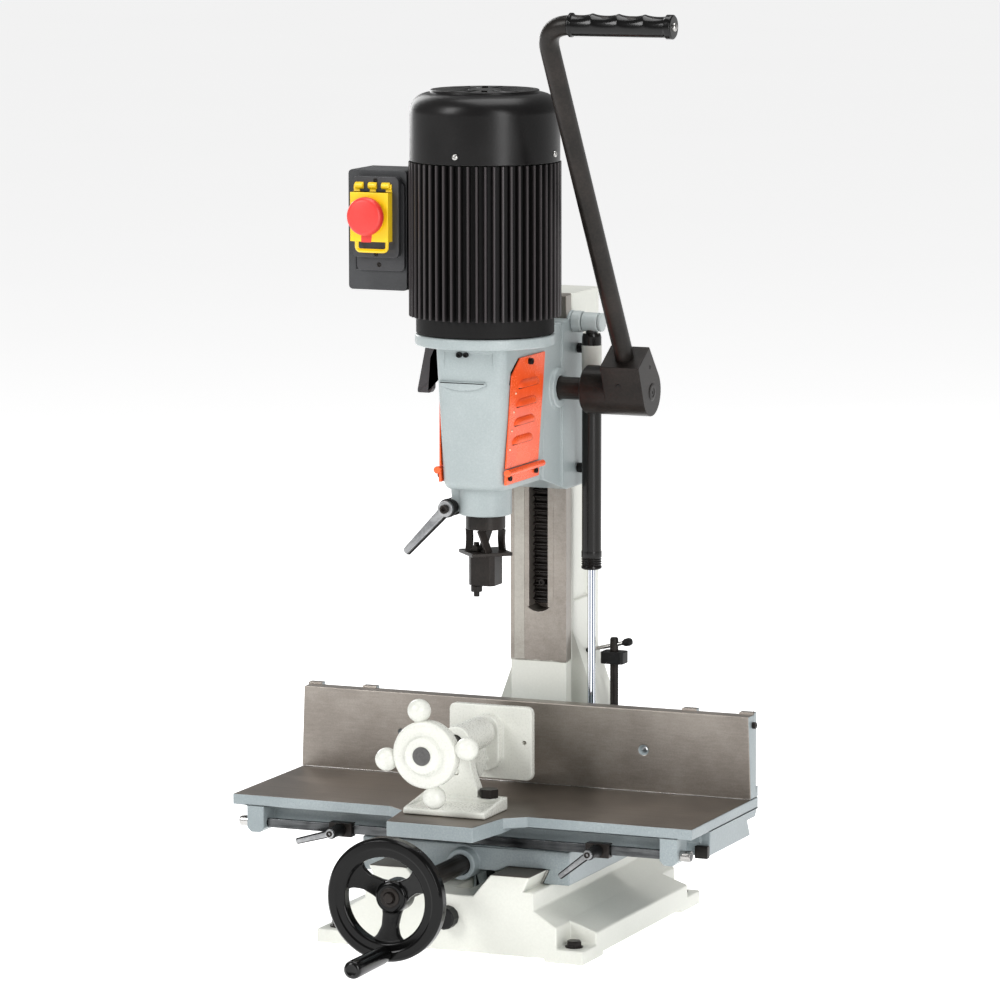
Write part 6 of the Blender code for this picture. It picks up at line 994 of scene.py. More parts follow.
def grip_radius(along, angle):
    """A smooth sleeve below; above, four low hollows with thin ridges between them."""
    share = (along - GRIP_FROM) / (GRIP_TO - GRIP_FROM)
    upper = max(0.0, math.cos(angle - math.radians(108))) ** 1.5
    lean = share * 4.0 + 0.10 * math.sin(angle)
    wave = abs(math.sin(math.pi * lean)) ** 0.6
    radius = 0.0108 - 0.0002 * share
    if share < 0.04 or share > 0.93:
        return 0.0119 if share < 0.96 or share > 0.935 else 0.0114
    return radius + (0.0014 - 0.0026 * wave) * upper


bm = bmesh.new()
rows = []
for row in range(GRIP_ROWS + 1):
    along = GRIP_FROM + (GRIP_TO - GRIP_FROM) * row / GRIP_ROWS
    ease = 0.0012 if row in (0, GRIP_ROWS) else 0
    rows.append([bm.verts.new((along, bend_at.y + (grip_radius(along, a) - ease) * math.cos(a),
                               bend_at.z + (grip_radius(along, a) - ease) * math.sin(a)))
                 for a in [2 * math.pi * i / GRIP_SIDES for i in range(GRIP_SIDES)]])
for low, high in zip(rows, rows[1:]):
    for i in range(GRIP_SIDES):
        bm.faces.new((low[i - 1], low[i], high[i], high[i - 1]))
bm.faces.new(rows[0])
bm.faces.new(rows[-1])
bmesh.ops.recalc_face_normals(bm, faces=bm.faces)
fitted("feed_grip", bm, GRIP_BLACK, "lever_grip", smooth=50)
screws("grip_screw", cross_head(), BRIGHT, "lever_grip", [((GRIP_TO + 0.0002, bend_at.y, bend_at.z), (1, 0, 0), 0.0042)])
grub_way = Matrix.Rotation(LEAN, 3, "X") @ Vector((0, -1, 0))
hub_face = Vector((BAR_X - 0.004, SHAFT_Y, SHAFT_Z)) + LEVER_WAY * 0.022 + grub_way * 0.0212
screws("hub_grub_screw", socket_head(), RUBBER_BLACK, "lever_hub",
       [(tuple(hub_face - grub_way * 0.0026), tuple(grub_way), 0.0030),
        ((0.1385, SHAFT_Y - 0.006, SHAFT_Z + 0.026), (1, 0, 0), 0.0022)])

# %% [markdown]
# ## The gas strut
#
# The strut's black barrel hangs from a pin on the head, and its chromed rod stands on the column's
# foot. Both are turned, with the small grooves and the plain pale band that the real one carries.

# %% Barrel, rod and pin
GAS_X, GAS_Y = 0.058, 0.075
grooves = [(0.0105 - 0.0009 * (k % 2), 0.3625 + 0.0012 * k) for k in range(9)]
barrel = turned([(0.0044, 0.3600), (0.0092, 0.3595), (0.0105, 0.3606)] + grooves + [(0.0105, 0.3780), (0.0100, 0.3786),
                 (0.0100, 0.5990), (0.0088, 0.6025), (0.0060, 0.6025), (0.0060, 0.606)], 40)
eye = moved(turned(softened([(0.0040, -0.0085), (0.0098, -0.0085), (0.0098, 0.0085), (0.0040, 0.0085)], 0.0008, 3), 40,
                   ring=True), at(0, 0, 0.6140), TO_RIGHT)
fitted("strut_barrel", moved(barrel, at(GAS_X, GAS_Y, 0)), BARREL_BLACK, "gas_strut_barrel")
fitted("strut_eye", moved(eye, at(GAS_X, GAS_Y, 0)), RING_GREY, "gas_strut_barrel", stands=False)
band = turned([(0.01015, 0.5600), (0.01030, 0.5602), (0.01030, 0.5903), (0.01015, 0.5905)], 40, ring=True)
PALE_BAND = plain_finish("plain_pale_band", shade(196, 196, 188), shade(208, 208, 200), 0.30, 0.10)
fitted("strut_band", moved(band, at(GAS_X, GAS_Y, 0)), PALE_BAND, "gas_strut_barrel", stands=False)
rod = turned([(0.0040, 0.1010), (0.0040, 0.3840), (0.0036, 0.3846)], 32)
rod_eye = moved(turned(softened([(0.0030, -0.005), (0.0070, -0.005), (0.0070, 0.005), (0.0030, 0.005)], 0.0006, 2), 32,
                       ring=True), at(0, 0, 0.0945), TO_RIGHT)
fitted("strut_rod", moved(together(rod, rod_eye), at(GAS_X, GAS_Y, 0)), CHROME, "gas_strut_rod")
pin = turned([(0.0038, 0.0360), (0.0038, 0.0383), (0.0104, 0.0383), (0.0110, 0.0390), (0.0110, 0.0480), (0.0104, 0.0486),
              (0.0038, 0.0486), (0.0038, 0.0670), (0.0092, 0.0672), (0.0096, 0.0678), (0.0096, 0.0700), (0.0090, 0.0705),
              (0.0, 0.0705)], 36)
fitted("strut_pin", moved(pin, at(0, GAS_Y, 0.6140), TO_RIGHT), RING_GREY, "gas_strut_pin")

# %% [markdown]
# ## Handwheel and its grip
#
# The handwheel is one casting: a round rim, three flat arms that widen into rim and hub, and a boss
# with a bolt. The rim is a turned ring, and one arm is drawn as an outline and copied three times
# round the axis. The grip is a free-turning plastic sleeve on a pin.

# %% Handwheel
WHEEL_Y, WHEEL_Z, RIM_MAJOR, RIM_MINOR = -0.3135, 0.085, 0.0535, 0.0080
ON_WHEEL = at(0, 0, WHEEL_Z) @ TO_FRONT                # turned shapes now stand along -Y
rim = turned(softened([(0.0425, 0.3085), (0.0440, 0.3065), (0.0590, 0.3060), (0.0615, 0.3090), (0.0615, 0.3180),
                       (0.0590, 0.3210), (0.0520, 0.3216), (0.0505, 0.3208), (0.0440, 0.3204), (0.0425, 0.3190)],
                      0.0016, 3), 96, ring=True)
boss = turned([(0.0145, 0.2812), (0.0160, 0.2818), (0.0165, 0.2830), (0.0165, 0.3030), (0.0150, 0.3056), (0.0120, 0.3062),
               (0.0, 0.3062)], 56)
arm_outline = [(0.0070, -0.0125), (0.0170, -0.0095), (0.0280, -0.0085), (0.0370, -0.0120), (0.0455, -0.0240),
               (0.0455, 0.0240), (0.0370, 0.0120), (0.0280, 0.0085), (0.0170, 0.0095), (0.0070, 0.0125)]
arm = cut_from_bar(softened(arm_outline, 0.010, 4), -0.00325, 0.00325, 0.0016, 3)
for vert in arm.verts:
    vert.co.z += 0.2985 + 0.0150 * min(1, max(0, (vert.co.x - 0.012) / 0.036))
arms = grown(ring_pattern, "arms", copy=arm, Count=3, Radius=0.0, Start=math.pi / 6, Finish=GLOSS_BLACK)
wheel = together(rim, boss)
wheel.from_mesh(arms)
fitted("handwheel_cast", moved(wheel, ON_WHEEL), GLOSS_BLACK, "handwheel", smooth=50)
boss_face = turned([(0.0, 0.3058), (0.0098, 0.3058), (0.0100, 0.3072), (0.0090, 0.3078), (0.0062, 0.3078), (0.0058, 0.3070),
                    (0.0, 0.3070)], 40)
fitted("handwheel_washer", moved(boss_face, ON_WHEEL), OXIDE_BLACK, "handwheel", stands=False)
screws("handwheel_bolts", hex_head(), OXIDE_BLACK, "handwheel", [((0, -0.3070, WHEEL_Z), (0, -1, 0), 0.0056)])
sleeve = turned([(0.0040, 0.3219), (0.0070, 0.3219), (0.0082, 0.3230), (0.0087, 0.3300), (0.0090, 0.3600), (0.0093, 0.3850),
                 (0.0092, 0.3940), (0.0082, 0.3970), (0.0056, 0.3979), (0.0050, 0.3973), (0.0, 0.3970)], 48)
fitted("handwheel_sleeve", moved(sleeve, at(0, 0, 0.0315), TO_FRONT), GRIP_BLACK, "handwheel_grip", smooth=60)

# %% [markdown]
# ## Vice wheel
#
# The vice is wound by a cast disc with four ball knobs on short necks. One ball and its neck are turned
# as one shape and set four times round a circle.

# %% Disc and balls
VICE_X, VICE_Z = -0.008, 0.2080
disc = turned([(0.0100, 0.1900), (0.0322, 0.1900), (0.0338, 0.1916), (0.0338, 0.2030), (0.0322, 0.2050), (0.0290, 0.2052),
               (0.0270, 0.2044), (0.0206, 0.2044), (0.0192, 0.2052), (0.0185, 0.2090), (0.0172, 0.2100), (0.0, 0.2100)], 80)
ball = turned([(0.0076, -0.022), (0.0070, -0.0155), (0.0062, -0.0115), (0.0066, -0.0096)] +
              [(0.0117 * math.cos(t), 0.0117 * math.sin(t)) for t in [-0.95 + (math.pi / 2 + 0.95) * k / 14 for k in range(15)]],
              40)
balls = grown(ring_pattern, "balls", copy=moved(ball, TO_RIGHT), Count=4, Radius=0.044,
              Start=math.radians(10.5), Finish=CAST_WHITE)
disc.from_mesh(carried(balls, at(0, 0, 0.197)))
fitted("vice_wheel", moved(disc, at(VICE_X, 0, VICE_Z), TO_FRONT), CAST_WHITE, "vice_handwheel", smooth=50)
nose = turned([(0.0, 0.2098), (0.0093, 0.2098), (0.0095, 0.2108), (0.0089, 0.2115), (0.0053, 0.2115), (0.0050, 0.2112),
               (0.0047, 0.2115), (0.0016, 0.2115), (0.0012, 0.2111), (0.0, 0.2111)], 36)
SAWN_STEEL = plain_finish("sawn_steel", shade(62, 61, 60), shade(92, 91, 90), 0.40, 0.16, 0.00006, 400)
fitted("vice_screw_nose", moved(nose, at(VICE_X, 0, VICE_Z), TO_FRONT), SAWN_STEEL, "vice_screw", stands=False)
print("balls:", 4)

# %% [markdown]
# ## Threads
#
# A thread is a rule too: the radius rises and falls once for each pitch, and the whole pattern turns
# once as it climbs. Rings of points with that radius make a true screw line without any boolean.


# %% Threaded rods
def threaded(radius, depth, pitch, low, high, sides=20, rows_per_turn=5):
    bm = bmesh.new()
    count = max(4, round((high - low) / pitch * rows_per_turn))
    rows = []
    for row in range(count + 1):
        z = low + (high - low) * row / count
        points = []
        for i in range(sides):
            wave = abs(((z / pitch - i / sides) % 1.0) - 0.5) * 2
            reach = radius - depth * (1 - wave)
            points.append(bm.verts.new((reach * math.cos(2 * math.pi * i / sides), reach * math.sin(2 * math.pi * i / sides), z)))
        rows.append(points)
    for below, over in zip(rows, rows[1:]):
        for i in range(sides):
            bm.faces.new((below[i - 1], below[i], over[i], over[i - 1]))
    bm.faces.new(rows[0])
    bm.faces.new(rows[-1])
    bmesh.ops.recalc_face_normals(bm, faces=bm.faces)
    return bm


stop_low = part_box("depth_stop_screw")[0][2]
TILT = Matrix.Rotation(math.radians(-14), 4, "Y")      # the tommy bar's hole is drilled on the slant
stop_rod = together(
    threaded(0.0046, 0.0005, 0.0015, stop_low, 0.2560),
    turned(softened([(0.0, 0.2560), (0.0044, 0.2560), (0.0044, 0.2806), (0.0034, 0.2824), (0.0, 0.2824)],
                    [0, 0.0004, 0.0008, 0.0006, 0], 2, False), 28))
fitted("depth_stop_rod", moved(stop_rod, at(0.066, 0.118, 0)), OXIDE_BLACK, "depth_stop_screw")
tommy = moved(turned([(0.0021, -0.028), (0.0021, 0.0125)], 16), at(0.066, 0.118, 0.2745), TILT, TO_RIGHT)
fitted("tommy_bar", tommy, BRIGHT, "depth_stop_screw", stands=False)
knob = turned(softened([(0.0, 0.0095), (0.0022, 0.0095), (0.0040, 0.0125), (0.0043, 0.0170), (0.0032, 0.0200), (0.0, 0.0206)],
                       0.0012, 3, False), 24)
ball = turned([(0.0028 * math.cos(t), 0.0028 * math.sin(t) - 0.0295) for t in [math.pi * (k / 10 - 0.5) for k in range(11)]], 20)
fitted("tommy_ends", moved(together(knob, ball), at(0.066, 0.118, 0.2745), TILT, TO_RIGHT), RUBBER_BLACK,
       "depth_stop_screw", stands=False)

# %% [markdown]
# ## The chisel holder
#
# Under the head's neck a steel collar carries four thin twisted struts, a square plate turned like a
# diamond, and the block that grips the chisel. The struts lean round the axis as they fall. One strut
# is drawn along a screw line with a flat section, and four are set round the circle.

# %% Collar, struts, plate and block
holder_ring = turned(softened([(0.0085, 0.4172), (0.0200, 0.4172), (0.0200, 0.4312), (0.0085, 0.4312)], 0.0007, 2), 64,
                     ring=True)
STRUT_STEPS, STRUT_TWIST = 12, math.radians(28)
strut_path = []
for step in range(STRUT_STEPS + 1):
    share = step / STRUT_STEPS
    swell = 0.0172 - 0.0012 * math.sin(math.pi * share)
    strut_path.append((swell * math.cos(STRUT_TWIST * (share - 0.5)), swell * math.sin(STRUT_TWIST * (share - 0.5)),
                       0.4178 - (0.4178 - 0.3940) * share))
strut = drawn_along(strut_path, softened(box_outline(-0.0013, 0.0013, -0.0044, 0.0044), 0.0004, 2))
struts = grown(ring_pattern, "struts", copy=strut, Count=4, Radius=0.0, Start=math.radians(20), Finish=OXIDE_BLACK)
plate = cut_from_bar(softened(box_outline(-0.0215, 0.0215, -0.0215, 0.0215), 0.0010, 2), 0.3910, 0.3945, 0.0004)
block_outline = [(-0.014, -0.010), (-0.010, -0.014), (0.010, -0.014), (0.014, -0.010), (0.014, 0.010), (0.010, 0.014),
                 (-0.010, 0.014), (-0.014, 0.010)]
block = cut_from_bar(softened(block_outline, 0.0008, 2), 0.3602, 0.3912, 0.0006)
# a thin black ring at the block's mouth: painted shade in the chisel's hole
mouth_shade = turned([(0.0078, 0.3598), (0.0086, 0.3598), (0.0086, 0.3604), (0.0078, 0.3604)], 40, ring=True)
stud = moved(together(
    turned([(0.0030, 0.3485), (0.0030, 0.3600)], 24), threaded(0.0030, 0.0004, 0.0010, 0.3945, 0.4035),
    ruled([(hexagon(0.0050), 0.3950), (hexagon(0.0050), 0.3996), (0.0048, 0.4000), (0.0, 0.4000)]),
    turned([(0.0056, 0.3535), (0.0058, 0.3545), (0.0058, 0.3592), (0.0050, 0.3602)], 32)), at(-0.007, -0.0068, 0))
holder_parts = together(holder_ring, moved(plate, Matrix.Rotation(math.radians(42), 4, "Z")), block, stud)
holder_parts.from_mesh(struts)
fitted("chisel_holder_built", moved(holder_parts, at(*MOTOR_AXIS)), OXIDE_BLACK, "chisel_holder", smooth=35)
fitted("chisel_mouth", moved(mouth_shade, at(*MOTOR_AXIS)), PAINTED_SHADE, "chisel_holder", stands=False)
print("struts:", 4)

# %% [markdown]
# ## Clamping levers
#
# The bright levers are zinc castings with a round boss, a black screw, and an arm that tapers and is
# bevelled along its edges. One outline serves all three: boss and arm are drawn flat, then given a
# thickness. The boss stands on a black body that hides the stud.


# %% Lever shapes
def lever_arm(boss, length, root, tip, thick, edge):
    """A tapered arm from a round boss, drawn towards +X from the origin, thickness along Z."""
    outline = [(boss * 0.55, root), (length - tip * 0.4, tip), (length, tip * 0.55), (length, -tip * 0.55),
               (length - tip * 0.4, -tip), (boss * 0.55, -root)]
    arm = cut_from_bar(softened(outline, 0.0008, 2), 0.0006, thick, edge)
    ring = turned(softened([(0.0002, 0), (boss, 0), (boss, thick + 0.0012), (0.0002, thick + 0.0012)], [0, 0.0006, 0.0010, 0],
                           2), 36)
    return together(arm, ring)


clamp_x, clamp_z = -0.0325, 0.4385
clamp = lever_arm(0.0082, 0.0650, 0.0046, 0.0031, 0.0062, 0.0011)
AIMED = Matrix.Rotation(math.radians(180 + 46), 4, "Z")
fitted("clamp_lever", moved(clamp, at(clamp_x, -0.0868, clamp_z), TO_FRONT, AIMED), SILVER, "chisel_clamp_lever", smooth=35)
# a larger black copy behind the arm, whose rim shows as a dark outline: painted shade on the arm's bevelled edges
clamp_edge_shade = lever_arm(0.0095, 0.0664, 0.0060, 0.0044, 0.0036, 0.0006)
fitted("clamp_lever_back", moved(clamp_edge_shade, at(clamp_x, -0.0846, clamp_z), TO_FRONT, AIMED), RUBBER_BLACK,
       "chisel_clamp_lever", stands=False, smooth=35)
body = turned([(0.0030, 0.030), (0.0090, 0.0302), (0.0092, 0.0700), (0.0092, 0.0740), (0.0080, 0.0752), (0.0084, 0.0860),
               (0.0082, 0.0872), (0.0, 0.0872)], 32)
fitted("clamp_body", moved(body, at(clamp_x, 0, clamp_z), TO_FRONT), RUBBER_BLACK, "chisel_clamp_lever", stands=False)
screws("clamp_screw", socket_head(), OXIDE_BLACK, "chisel_clamp_lever",
       [((clamp_x, -0.0932, clamp_z), (0, -1, 0), 0.0046)])

for side, x, drop in (("left", -0.132, 16), ("right", 0.148, 38.5)):
    node, middle = "table_stop_lever_" + side, 0.1111
    swing = Matrix.Rotation(math.radians(180 + drop), 4, "Z")
    arm = moved(lever_arm(0.0048, 0.0394, 0.0026, 0.0020, 0.0046, 0.0008), at(x, -0.1535, middle), TO_FRONT, swing)
    fitted("stop_lever_" + side, arm, SILVER, node, smooth=35)
    # a larger black copy behind each stop arm: painted shade on its bevelled edges
    back = moved(lever_arm(0.0058, 0.0406, 0.0038, 0.0031, 0.0034, 0.0006), at(x, -0.1520, middle), TO_FRONT, swing)
    fitted("stop_lever_back_" + side, back, RUBBER_BLACK, node, stands=False, smooth=35)
    neck = turned([(0.0022, 0.1290), (0.0022, 0.1338), (0.0062, 0.1340), (0.0066, 0.1350), (0.0056, 0.1440), (0.0054, 0.1530),
                   (0.0050, 0.1537), (0.0, 0.1537)], 28)
    fitted("stop_neck_" + side, moved(neck, at(x, 0, middle), TO_FRONT), RUBBER_BLACK, node, stands=False)
    screws("stop_screw_" + side, socket_head(), OXIDE_BLACK, node, [((x, -0.1580, middle), (0, -1, 0), 0.0030)])

# %% [markdown]
# ## The switch
#
# A no-volt switch sits in a box on the motor. Over it is a hinged yellow cover with finger ribs, a
# catch loop below and a big red stop dome that pushes the button behind it. The dome is turned, and
# three knuckles on the top edge are set in a row.

# %% Stop dome, start button, gland and screws
dome = turned([(0.0085, 0.1166), (0.0085, 0.1203), (0.0150, 0.1204), (0.0186, 0.1206), (0.0194, 0.1212), (0.0194, 0.1234),
               (0.0190, 0.1256), (0.0178, 0.1276), (0.0160, 0.1285), (0.0156, 0.1284), (0.0152, 0.1287), (0.0080, 0.1294),
               (0.0, 0.1296)], 64)
fitted("stop_dome", moved(dome, at(-0.1055, 0, 0.7325), TO_FRONT), RED, "stop_button", smooth=60)
tab = moved(cut_from_bar(softened([(-0.0062, -0.0265), (0.0045, -0.0265), (0.0062, -0.0150), (-0.0062, -0.0150)], 0.0010, 2),
                         0.1154, 0.1162, 0.0002), at(-0.1070, 0, 0.7325), TO_FRONT)
fitted("stop_tab", tab, RED, "switch_cover", stands=False)
loop_path = [(x - 0.1027, 0, z) for x, z in softened([(-0.0165, 0.7085), (-0.0165, 0.6975), (0.0165, 0.6975), (0.0165, 0.7085)],
                                                    0.0045, 5, False)]
loop = moved(drawn_along(loop_path, softened(box_outline(-0.0017, 0.0017, -0.0013, 0.0013), 0.0005, 2)), at(0, -0.1135, 0))
fitted("cover_loop", loop, YELLOW, "switch_cover", stands=False)
knuckle = turned(softened([(0.0, -0.0046), (0.0036, -0.0046), (0.0036, 0.0046), (0.0, 0.0046)], 0.0009, 3, False), 24)
knuckles = grown(row_pattern, "knuckles", copy=moved(knuckle, at(-0.1195, -0.1050, 0.7620), TO_RIGHT), Count=3,
                 Step=(0.0145, 0, 0), Finish=YELLOW)
fitted("cover_knuckles", knuckles, None, "switch_cover", stands=False)
main_plate = cut_from_bar(softened(box_outline(-0.1275, -0.0770, 0.6900, 0.7712), 0.0062, 6), 0.0953, 0.1053, 0.0006)
main_plate = moved(main_plate, Matrix(((1, 0, 0, 0), (0, 0, -1, 0), (0, 1, 0, 0), (0, 0, 0, 1))))
low_plate = cut_from_bar(softened(box_outline(-0.1262, -0.0738, 0.6762, 0.7650), 0.0060, 6), 0.0953, 0.0984, 0.0006)
low_plate = moved(low_plate, Matrix(((1, 0, 0, 0), (0, 0, -1, 0), (0, 1, 0, 0), (0, 0, 0, 1))))
fitted("switch_face", together(main_plate, low_plate), PLATE_GREY, "switch_plate", smooth=35)
SWITCH_SCREWS = [((-0.1022, -0.1048, 0.7673), (0, -1, 0), 0.0025), ((-0.1020, -0.1048, 0.6934), (0, -1, 0), 0.0025),
                 ((-0.1017, -0.0979, 0.6822), (0, -1, 0), 0.0025)]
screws("switch_screws", cross_head(), OXIDE_BLACK, "switch_plate", SWITCH_SCREWS)
print("switch screws:", len(SWITCH_SCREWS))

# %% [markdown]
# ## Small screws that hold things
#
# Cap screws on the head, the hinge leaves and the rack, and washers under the hold-down bolts. They
# are put on points, each with the way it faces, and share three head shapes.

# %% Screws on points
WALL_LEAN = (0.0385 - 0.0338) / (0.6037 - 0.4595)


def wall_x(z):
    """Half width of the head's front body at a height."""
    return 0.0338 + WALL_LEAN * (z - 0.4595)


leaf_places = []
for side in (1, -1):
    out = Vector((side, 0, -WALL_LEAN)).normalized()
    leaf_places += [((side * (wall_x(0.473) + 0.0028), y, 0.473), tuple(out), 0.0027) for y in (-0.0256, -0.0932)]
screws("leaf_screws", socket_head(), RUBBER_BLACK, "door_hinge_leaf_right", leaf_places)
screws("head_front_screw", socket_head(), RUBBER_BLACK, "head_casting",
       [((-0.0095, -0.1092, 0.5967), (0, -1, 0), 0.0030), ((-0.0025, -0.1092, 0.5967), (0, -1, 0), 0.0026)])
screws("rack_screws", socket_head(), OXIDE_BLACK, "feed_rack",
       [((0, 0.0845, z), (0, -1, 0), 0.0036) for z in (0.341, 0.442, 0.600)])
for side in ("left", "right"):
    node = "door_latch_screw_" + side
    low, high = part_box(node)
    sign = 1 if side == "right" else -1
    seat = (min if sign > 0 else max)(low[0], high[0], key=abs)
    centre = ((high[0] if sign > 0 else low[0]) - sign * 0.0032, (low[1] + high[1]) / 2, (low[2] + high[2]) / 2)
    fitted(node + "_head", carried(grown(screw_pattern, node, copy=socket_head(), points=marked_points(
        [(centre, (sign, 0, -WALL_LEAN), 0.0032)]), Finish=RUBBER_BLACK)), None, node, smooth=35)
for side, x in (("left", -0.1285), ("right", 0.1285)):
    for end, y in (("front", -0.1452), ("rear", 0.1452)):
        node = f"hold_down_bolt_{end}_{side}"
        washer = turned([(0.0040, 0.01405), (0.0088, 0.01405), (0.0090, 0.0143), (0.0090, 0.0153), (0.0086, 0.0156)], 32)
        head = ruled([(hexagon(0.0066), 0.0156), (hexagon(0.0066), 0.0198), (0.0064, 0.0208), (0.0, 0.0208)])
        shank = turned([(0.0039, 0.0005), (0.0039, 0.0142)], 20)
        fitted(node + "_built", moved(together(washer, head, shank), at(x, y, 0)), OXIDE_BLACK, node, smooth=35)
print("small screws on points:", len(leaf_places) + 2 + 3 + 2)

# %% [markdown]
# ## Louvred doors
#
# Each side of the head has a thin steel door over the chuck. A press cuts four slits and pushes the
# metal above each slit outwards, so air passes and chips stay in. The door is drawn flat in its own
# plan (back, up, out), with each hood lofted from its lip, then laid on the leaning wall of the head.
# The left door is the right one mirrored.

# %% A hood, and the plan's place on the head
DOOR_AXIS = Vector((0.038119, 0, 0.4785))
DOOR_IN, DOOR_OUT = -0.0034, -0.0019
LEAN_OUT = math.atan(0.0047 / 0.1442)
ON_HEAD = Matrix.Translation(DOOR_AXIS) @ Matrix((
    (0, math.sin(LEAN_OUT), math.cos(LEAN_OUT), 0), (1, 0, 0, 0), (0, math.cos(LEAN_OUT), -math.sin(LEAN_OUT), 0),
    (0, 0, 0, 1)))


def pressed_hood(front, back, low, reach=0.0030, tall=0.0072, steps=24, rows=7):
    """A hood that stands out at its lower lip and fades into the sheet above and at both ends."""
    bm = bmesh.new()
    loops = []
    for step in range(steps + 1):
        share = step / steps
        swell = max(0.03, 1 - abs(2 * share - 1) ** 7)
        y = front + (back - front) * share
        loop = [bm.verts.new((y, low, DOOR_IN))]
        for row in range(rows + 1):
            t = math.pi / 2 * row / rows
            loop.append(bm.verts.new((y, low + tall * swell * math.sin(t), DOOR_OUT + reach * swell * math.cos(t))))
        loop.append(bm.verts.new((y, low + tall * swell, DOOR_IN)))
        loops.append(loop)
    for near, far in zip(loops, loops[1:]):
        for i in range(len(near)):
            bm.faces.new((near[i - 1], near[i], far[i], far[i - 1]))
    bm.faces.new(loops[0])
    bm.faces.new(loops[-1])
    bmesh.ops.recalc_face_normals(bm, faces=bm.faces)
    return bm


def other_side(bm):
    """The same shape on the machine's other side."""
    bmesh.ops.transform(bm, matrix=Matrix.Scale(-1, 4, (1, 0, 0)), verts=bm.verts)
    bmesh.ops.reverse_faces(bm, faces=bm.faces)
    return bm


# %% Both doors
DOOR_PLAN = [(-0.0990, 0.0040), (-0.0150, 0.0040), (-0.0050, 0.1130), (-0.0700, 0.1130), (-0.0910, 0.0970)]
HOODS = [(-0.0860 + 0.0038 * k, -0.0320 + 0.0042 * k, 0.0275 + 0.0185 * k) for k in range(4)]
# pale steel colour for the painted glints on the doors
PAINTED_GLINT = brushed_metal("bare_steel_rivet", shade(250, 226, 200), shade(236, 206, 176), 0.30, (300, 300, 300))
for side in ("left", "right"):
    sheet = cut_from_bar(softened(DOOR_PLAN, [0.0010, 0.0010, 0.0014, 0.0014, 0.0020], 3), DOOR_IN, DOOR_OUT, 0.0004)
    shape = together(sheet, *(pressed_hood(*hood) for hood in HOODS))
    # thin black boxes under each hood's lip: painted shade inside the slits
    slits = together(*(cut_from_bar(box_outline(front + 0.002, back - 0.002, low - 0.0013, low + 0.0002), DOOR_OUT - 0.0002,
                                    DOOR_OUT + 0.0002) for front, back, low in HOODS))
    # small pale dots at each hood's lower front end: painted glints of light
    marks = together(*(moved(turned([(0.0013 * math.cos(t), 0.0009 * math.sin(t)) for t in
                                     [math.pi / 2 * k / 5 for k in range(6)]], 16), at(front - 0.0050, low - 0.0046, DOOR_OUT))
                       for front, back, low in HOODS))
    rod = moved(turned(softened([(0.0, 0.0080), (0.0033, 0.0080), (0.0033, 0.0566), (0.0, 0.0566)], 0.0005, 2, False), 28),
                at(*DOOR_AXIS), TO_FRONT)
    head = moved(turned(softened([(0.0, 0.0985), (0.0037, 0.0985), (0.0037, 0.1010), (0.0, 0.1010)], 0.0007, 3, False), 28),
                 at(*DOOR_AXIS), TO_FRONT)
    shapes = [together(moved(shape, ON_HEAD), rod), moved(slits, ON_HEAD), moved(marks, ON_HEAD), head]
    if side == "left":
        shapes = [other_side(item) for item in shapes]
    door = "chuck_door_" + side
    fitted("door_panel_" + side, shapes[0], ORANGE, door, smooth=32)
    fitted("door_slits_" + side, shapes[1], PAINTED_SHADE, door, stands=False)
    fitted("door_marks_" + side, shapes[2], PAINTED_GLINT, door, stands=False)
    fitted("hinge_pin_" + side, shapes[3], ORANGE, "door_hinge_leaf_" + side, stands=False)
# a thin black sheet in the gap beside the door: painted shade
opening_shade = [(-0.0935, 0.0875), (-0.0600, 0.0875), (-0.0600, 0.1120), (-0.0720, 0.1128), (-0.0895, 0.1010)]
opening_shade = moved(cut_from_bar(softened(opening_shade, 0.0012, 2), DOOR_IN - 0.0004, DOOR_IN - 0.0001), ON_HEAD)
fitted("chuck_opening_right", opening_shade, PAINTED_SHADE, "head_casting", stands=False)
print("hoods on each door:", len(HOODS))

# %% [markdown]
# ## The cast ledge on the head's front
#
# Under the ring the head's front carries a shallow lens-shaped ledge, the foot of a cast pad. A lens is
# a straight line and an arc, given a thickness with well rounded rims. The lock lever on the left is a
# moulded paddle, drawn as an outline seen from the front.

# %% Ledge and paddle
LEDGE_TOP, LEDGE_HALF, LEDGE_DROP = 0.5700, 0.0252, 0.0082
lens = [(-LEDGE_HALF, LEDGE_TOP), (LEDGE_HALF, LEDGE_TOP)] + [
    (LEDGE_HALF * math.cos(math.pi * k / 16), LEDGE_TOP - 0.0012 - LEDGE_DROP * math.sin(math.pi * k / 16)) for k in range(1, 16)]
FROM_FRONT = Matrix(((1, 0, 0, 0), (0, 0, -1, 0), (0, 1, 0, 0), (0, 0, 0, 1)))     # plan in X and Z, thickness forwards
ledge = moved(cut_from_bar(softened(lens, [0.002, 0.002] + [0] * 15, 3), 0.1062, 0.1112, 0.0021, 4), at(-0.0062, 0, 0), FROM_FRONT)
fitted("head_ledge", ledge, HAMMERED, "head_casting", stands=False, smooth=60)
paddle_plan = [(-0.0440, 0.5862), (-0.0440, 0.5985), (-0.0990, 0.5990), (-0.1015, 0.5860), (-0.1100, 0.5440), (-0.1098, 0.5408),
               (-0.0965, 0.5408), (-0.0940, 0.5450), (-0.0935, 0.5760), (-0.0890, 0.5862)]
paddle = moved(cut_from_bar(softened(paddle_plan, [0.002, 0.002, 0.003, 0.004, 0.002, 0.0016, 0.002, 0.003, 0.006, 0.003], 3),
                            -0.0262, -0.0138, 0.0018, 3), FROM_FRONT)
hub = moved(turned(softened([(0.0, -0.0600), (0.0085, -0.0600), (0.0085, -0.0345), (0.0, -0.0345)], 0.0010, 3, False), 36),
            at(0, 0.020, 0.592), TO_RIGHT)
fitted("lock_paddle", together(paddle, hub), PADDLE_GREY, "head_lock_lever", smooth=40)

# %% [markdown]
# ## The rack's slot
#
# The rack lies in a slot that the pinion's teeth reach into. Two ground strips line the slot's sides,
# so that only the rack and its socket screws show between them.

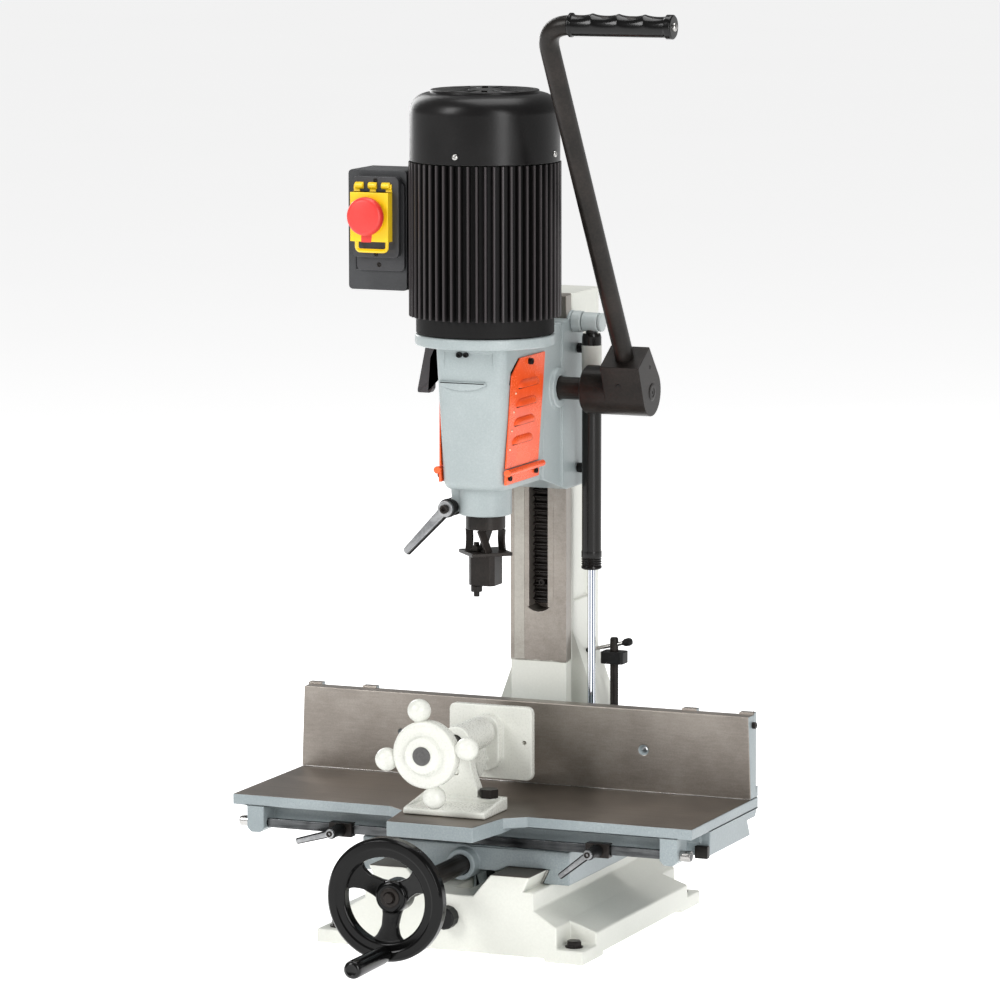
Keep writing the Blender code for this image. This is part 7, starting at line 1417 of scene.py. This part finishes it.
# %% Slot strips
strips = [moved(cut_from_bar(box_outline(*sorted((sign * 0.0104, sign * 0.0168)), 0.0724, 0.0975), 0.3170, 0.6390, 0.0004))
          for sign in (-1, 1)]
fitted("slot_strips", together(*strips), COLUMN_IRON, "column", stands=False)
column_low, column_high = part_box("column")
LEFT_GREY = part_ground("left_guide_iron", lambda m: above(m, 0.2607), (160, 160, 240), shade(146, 142, 134), shade(184, 180, 172),
                        WHITE_DARK, WHITE_LIGHT)
guide = cut_from_bar(box_outline(-0.0268, -0.0154, 0.07195, 0.0726), 0.2615, column_high[2] - 0.0006, 0.0003)
fitted("left_guide_face", guide, LEFT_GREY, "column", stands=False)

# %% [markdown]
# ## Rail bolts and the fence's foot
#
# The stop rail is held at each end by a cap bolt through the table's lug. The fence's lower front edge
# carries a thin strip of bright steel where it meets the table.

# %% Bolts and the bright foot
bolt = turned([(0.0, 0.2346), (0.0055, 0.2346), (0.0056, 0.2440), (0.0050, 0.2456), (0.0028, 0.2457), (0.0025, 0.2425), (0.0, 0.2424)], 28)
bolts = together(moved(bolt, at(0, -0.12625, 0.1111), TO_RIGHT))
bolts = together(bolts, other_side(bolts.copy()))
fitted("rail_bolts", bolts, BRIGHT, "stop_rail", stands=False)
foot = cut_from_bar(box_outline(-0.2494, 0.2494, 0.0298, 0.0308), 0.1404, 0.1411, 0.0002)
fitted("fence_foot_line", foot, BRIGHT, "fence", stands=False)
screws("fence_end_screw", socket_head(), OXIDE_BLACK, "fence", [((0.2476, 0.0415, 0.2150), (1, 0, 0), 0.0034)])
print("rail bolts: 2")

# %% [markdown]
# ## The guide bar's end
#
# Under the table's right end the dark guide bar ends just short of the edge, in front of the cheek. It
# is a short block with eased edges.

# %% Bar end
bar_end = cut_from_bar(box_outline(0.2362, 0.2497, -0.0925, -0.0866), 0.1022, 0.1152, 0.0012)
fitted("guide_bar_end", bar_end, OXIDE_BLACK, "table_casting", stands=False)
print("bar end faces:", len(bar_end.faces) if bar_end.is_valid else "used")
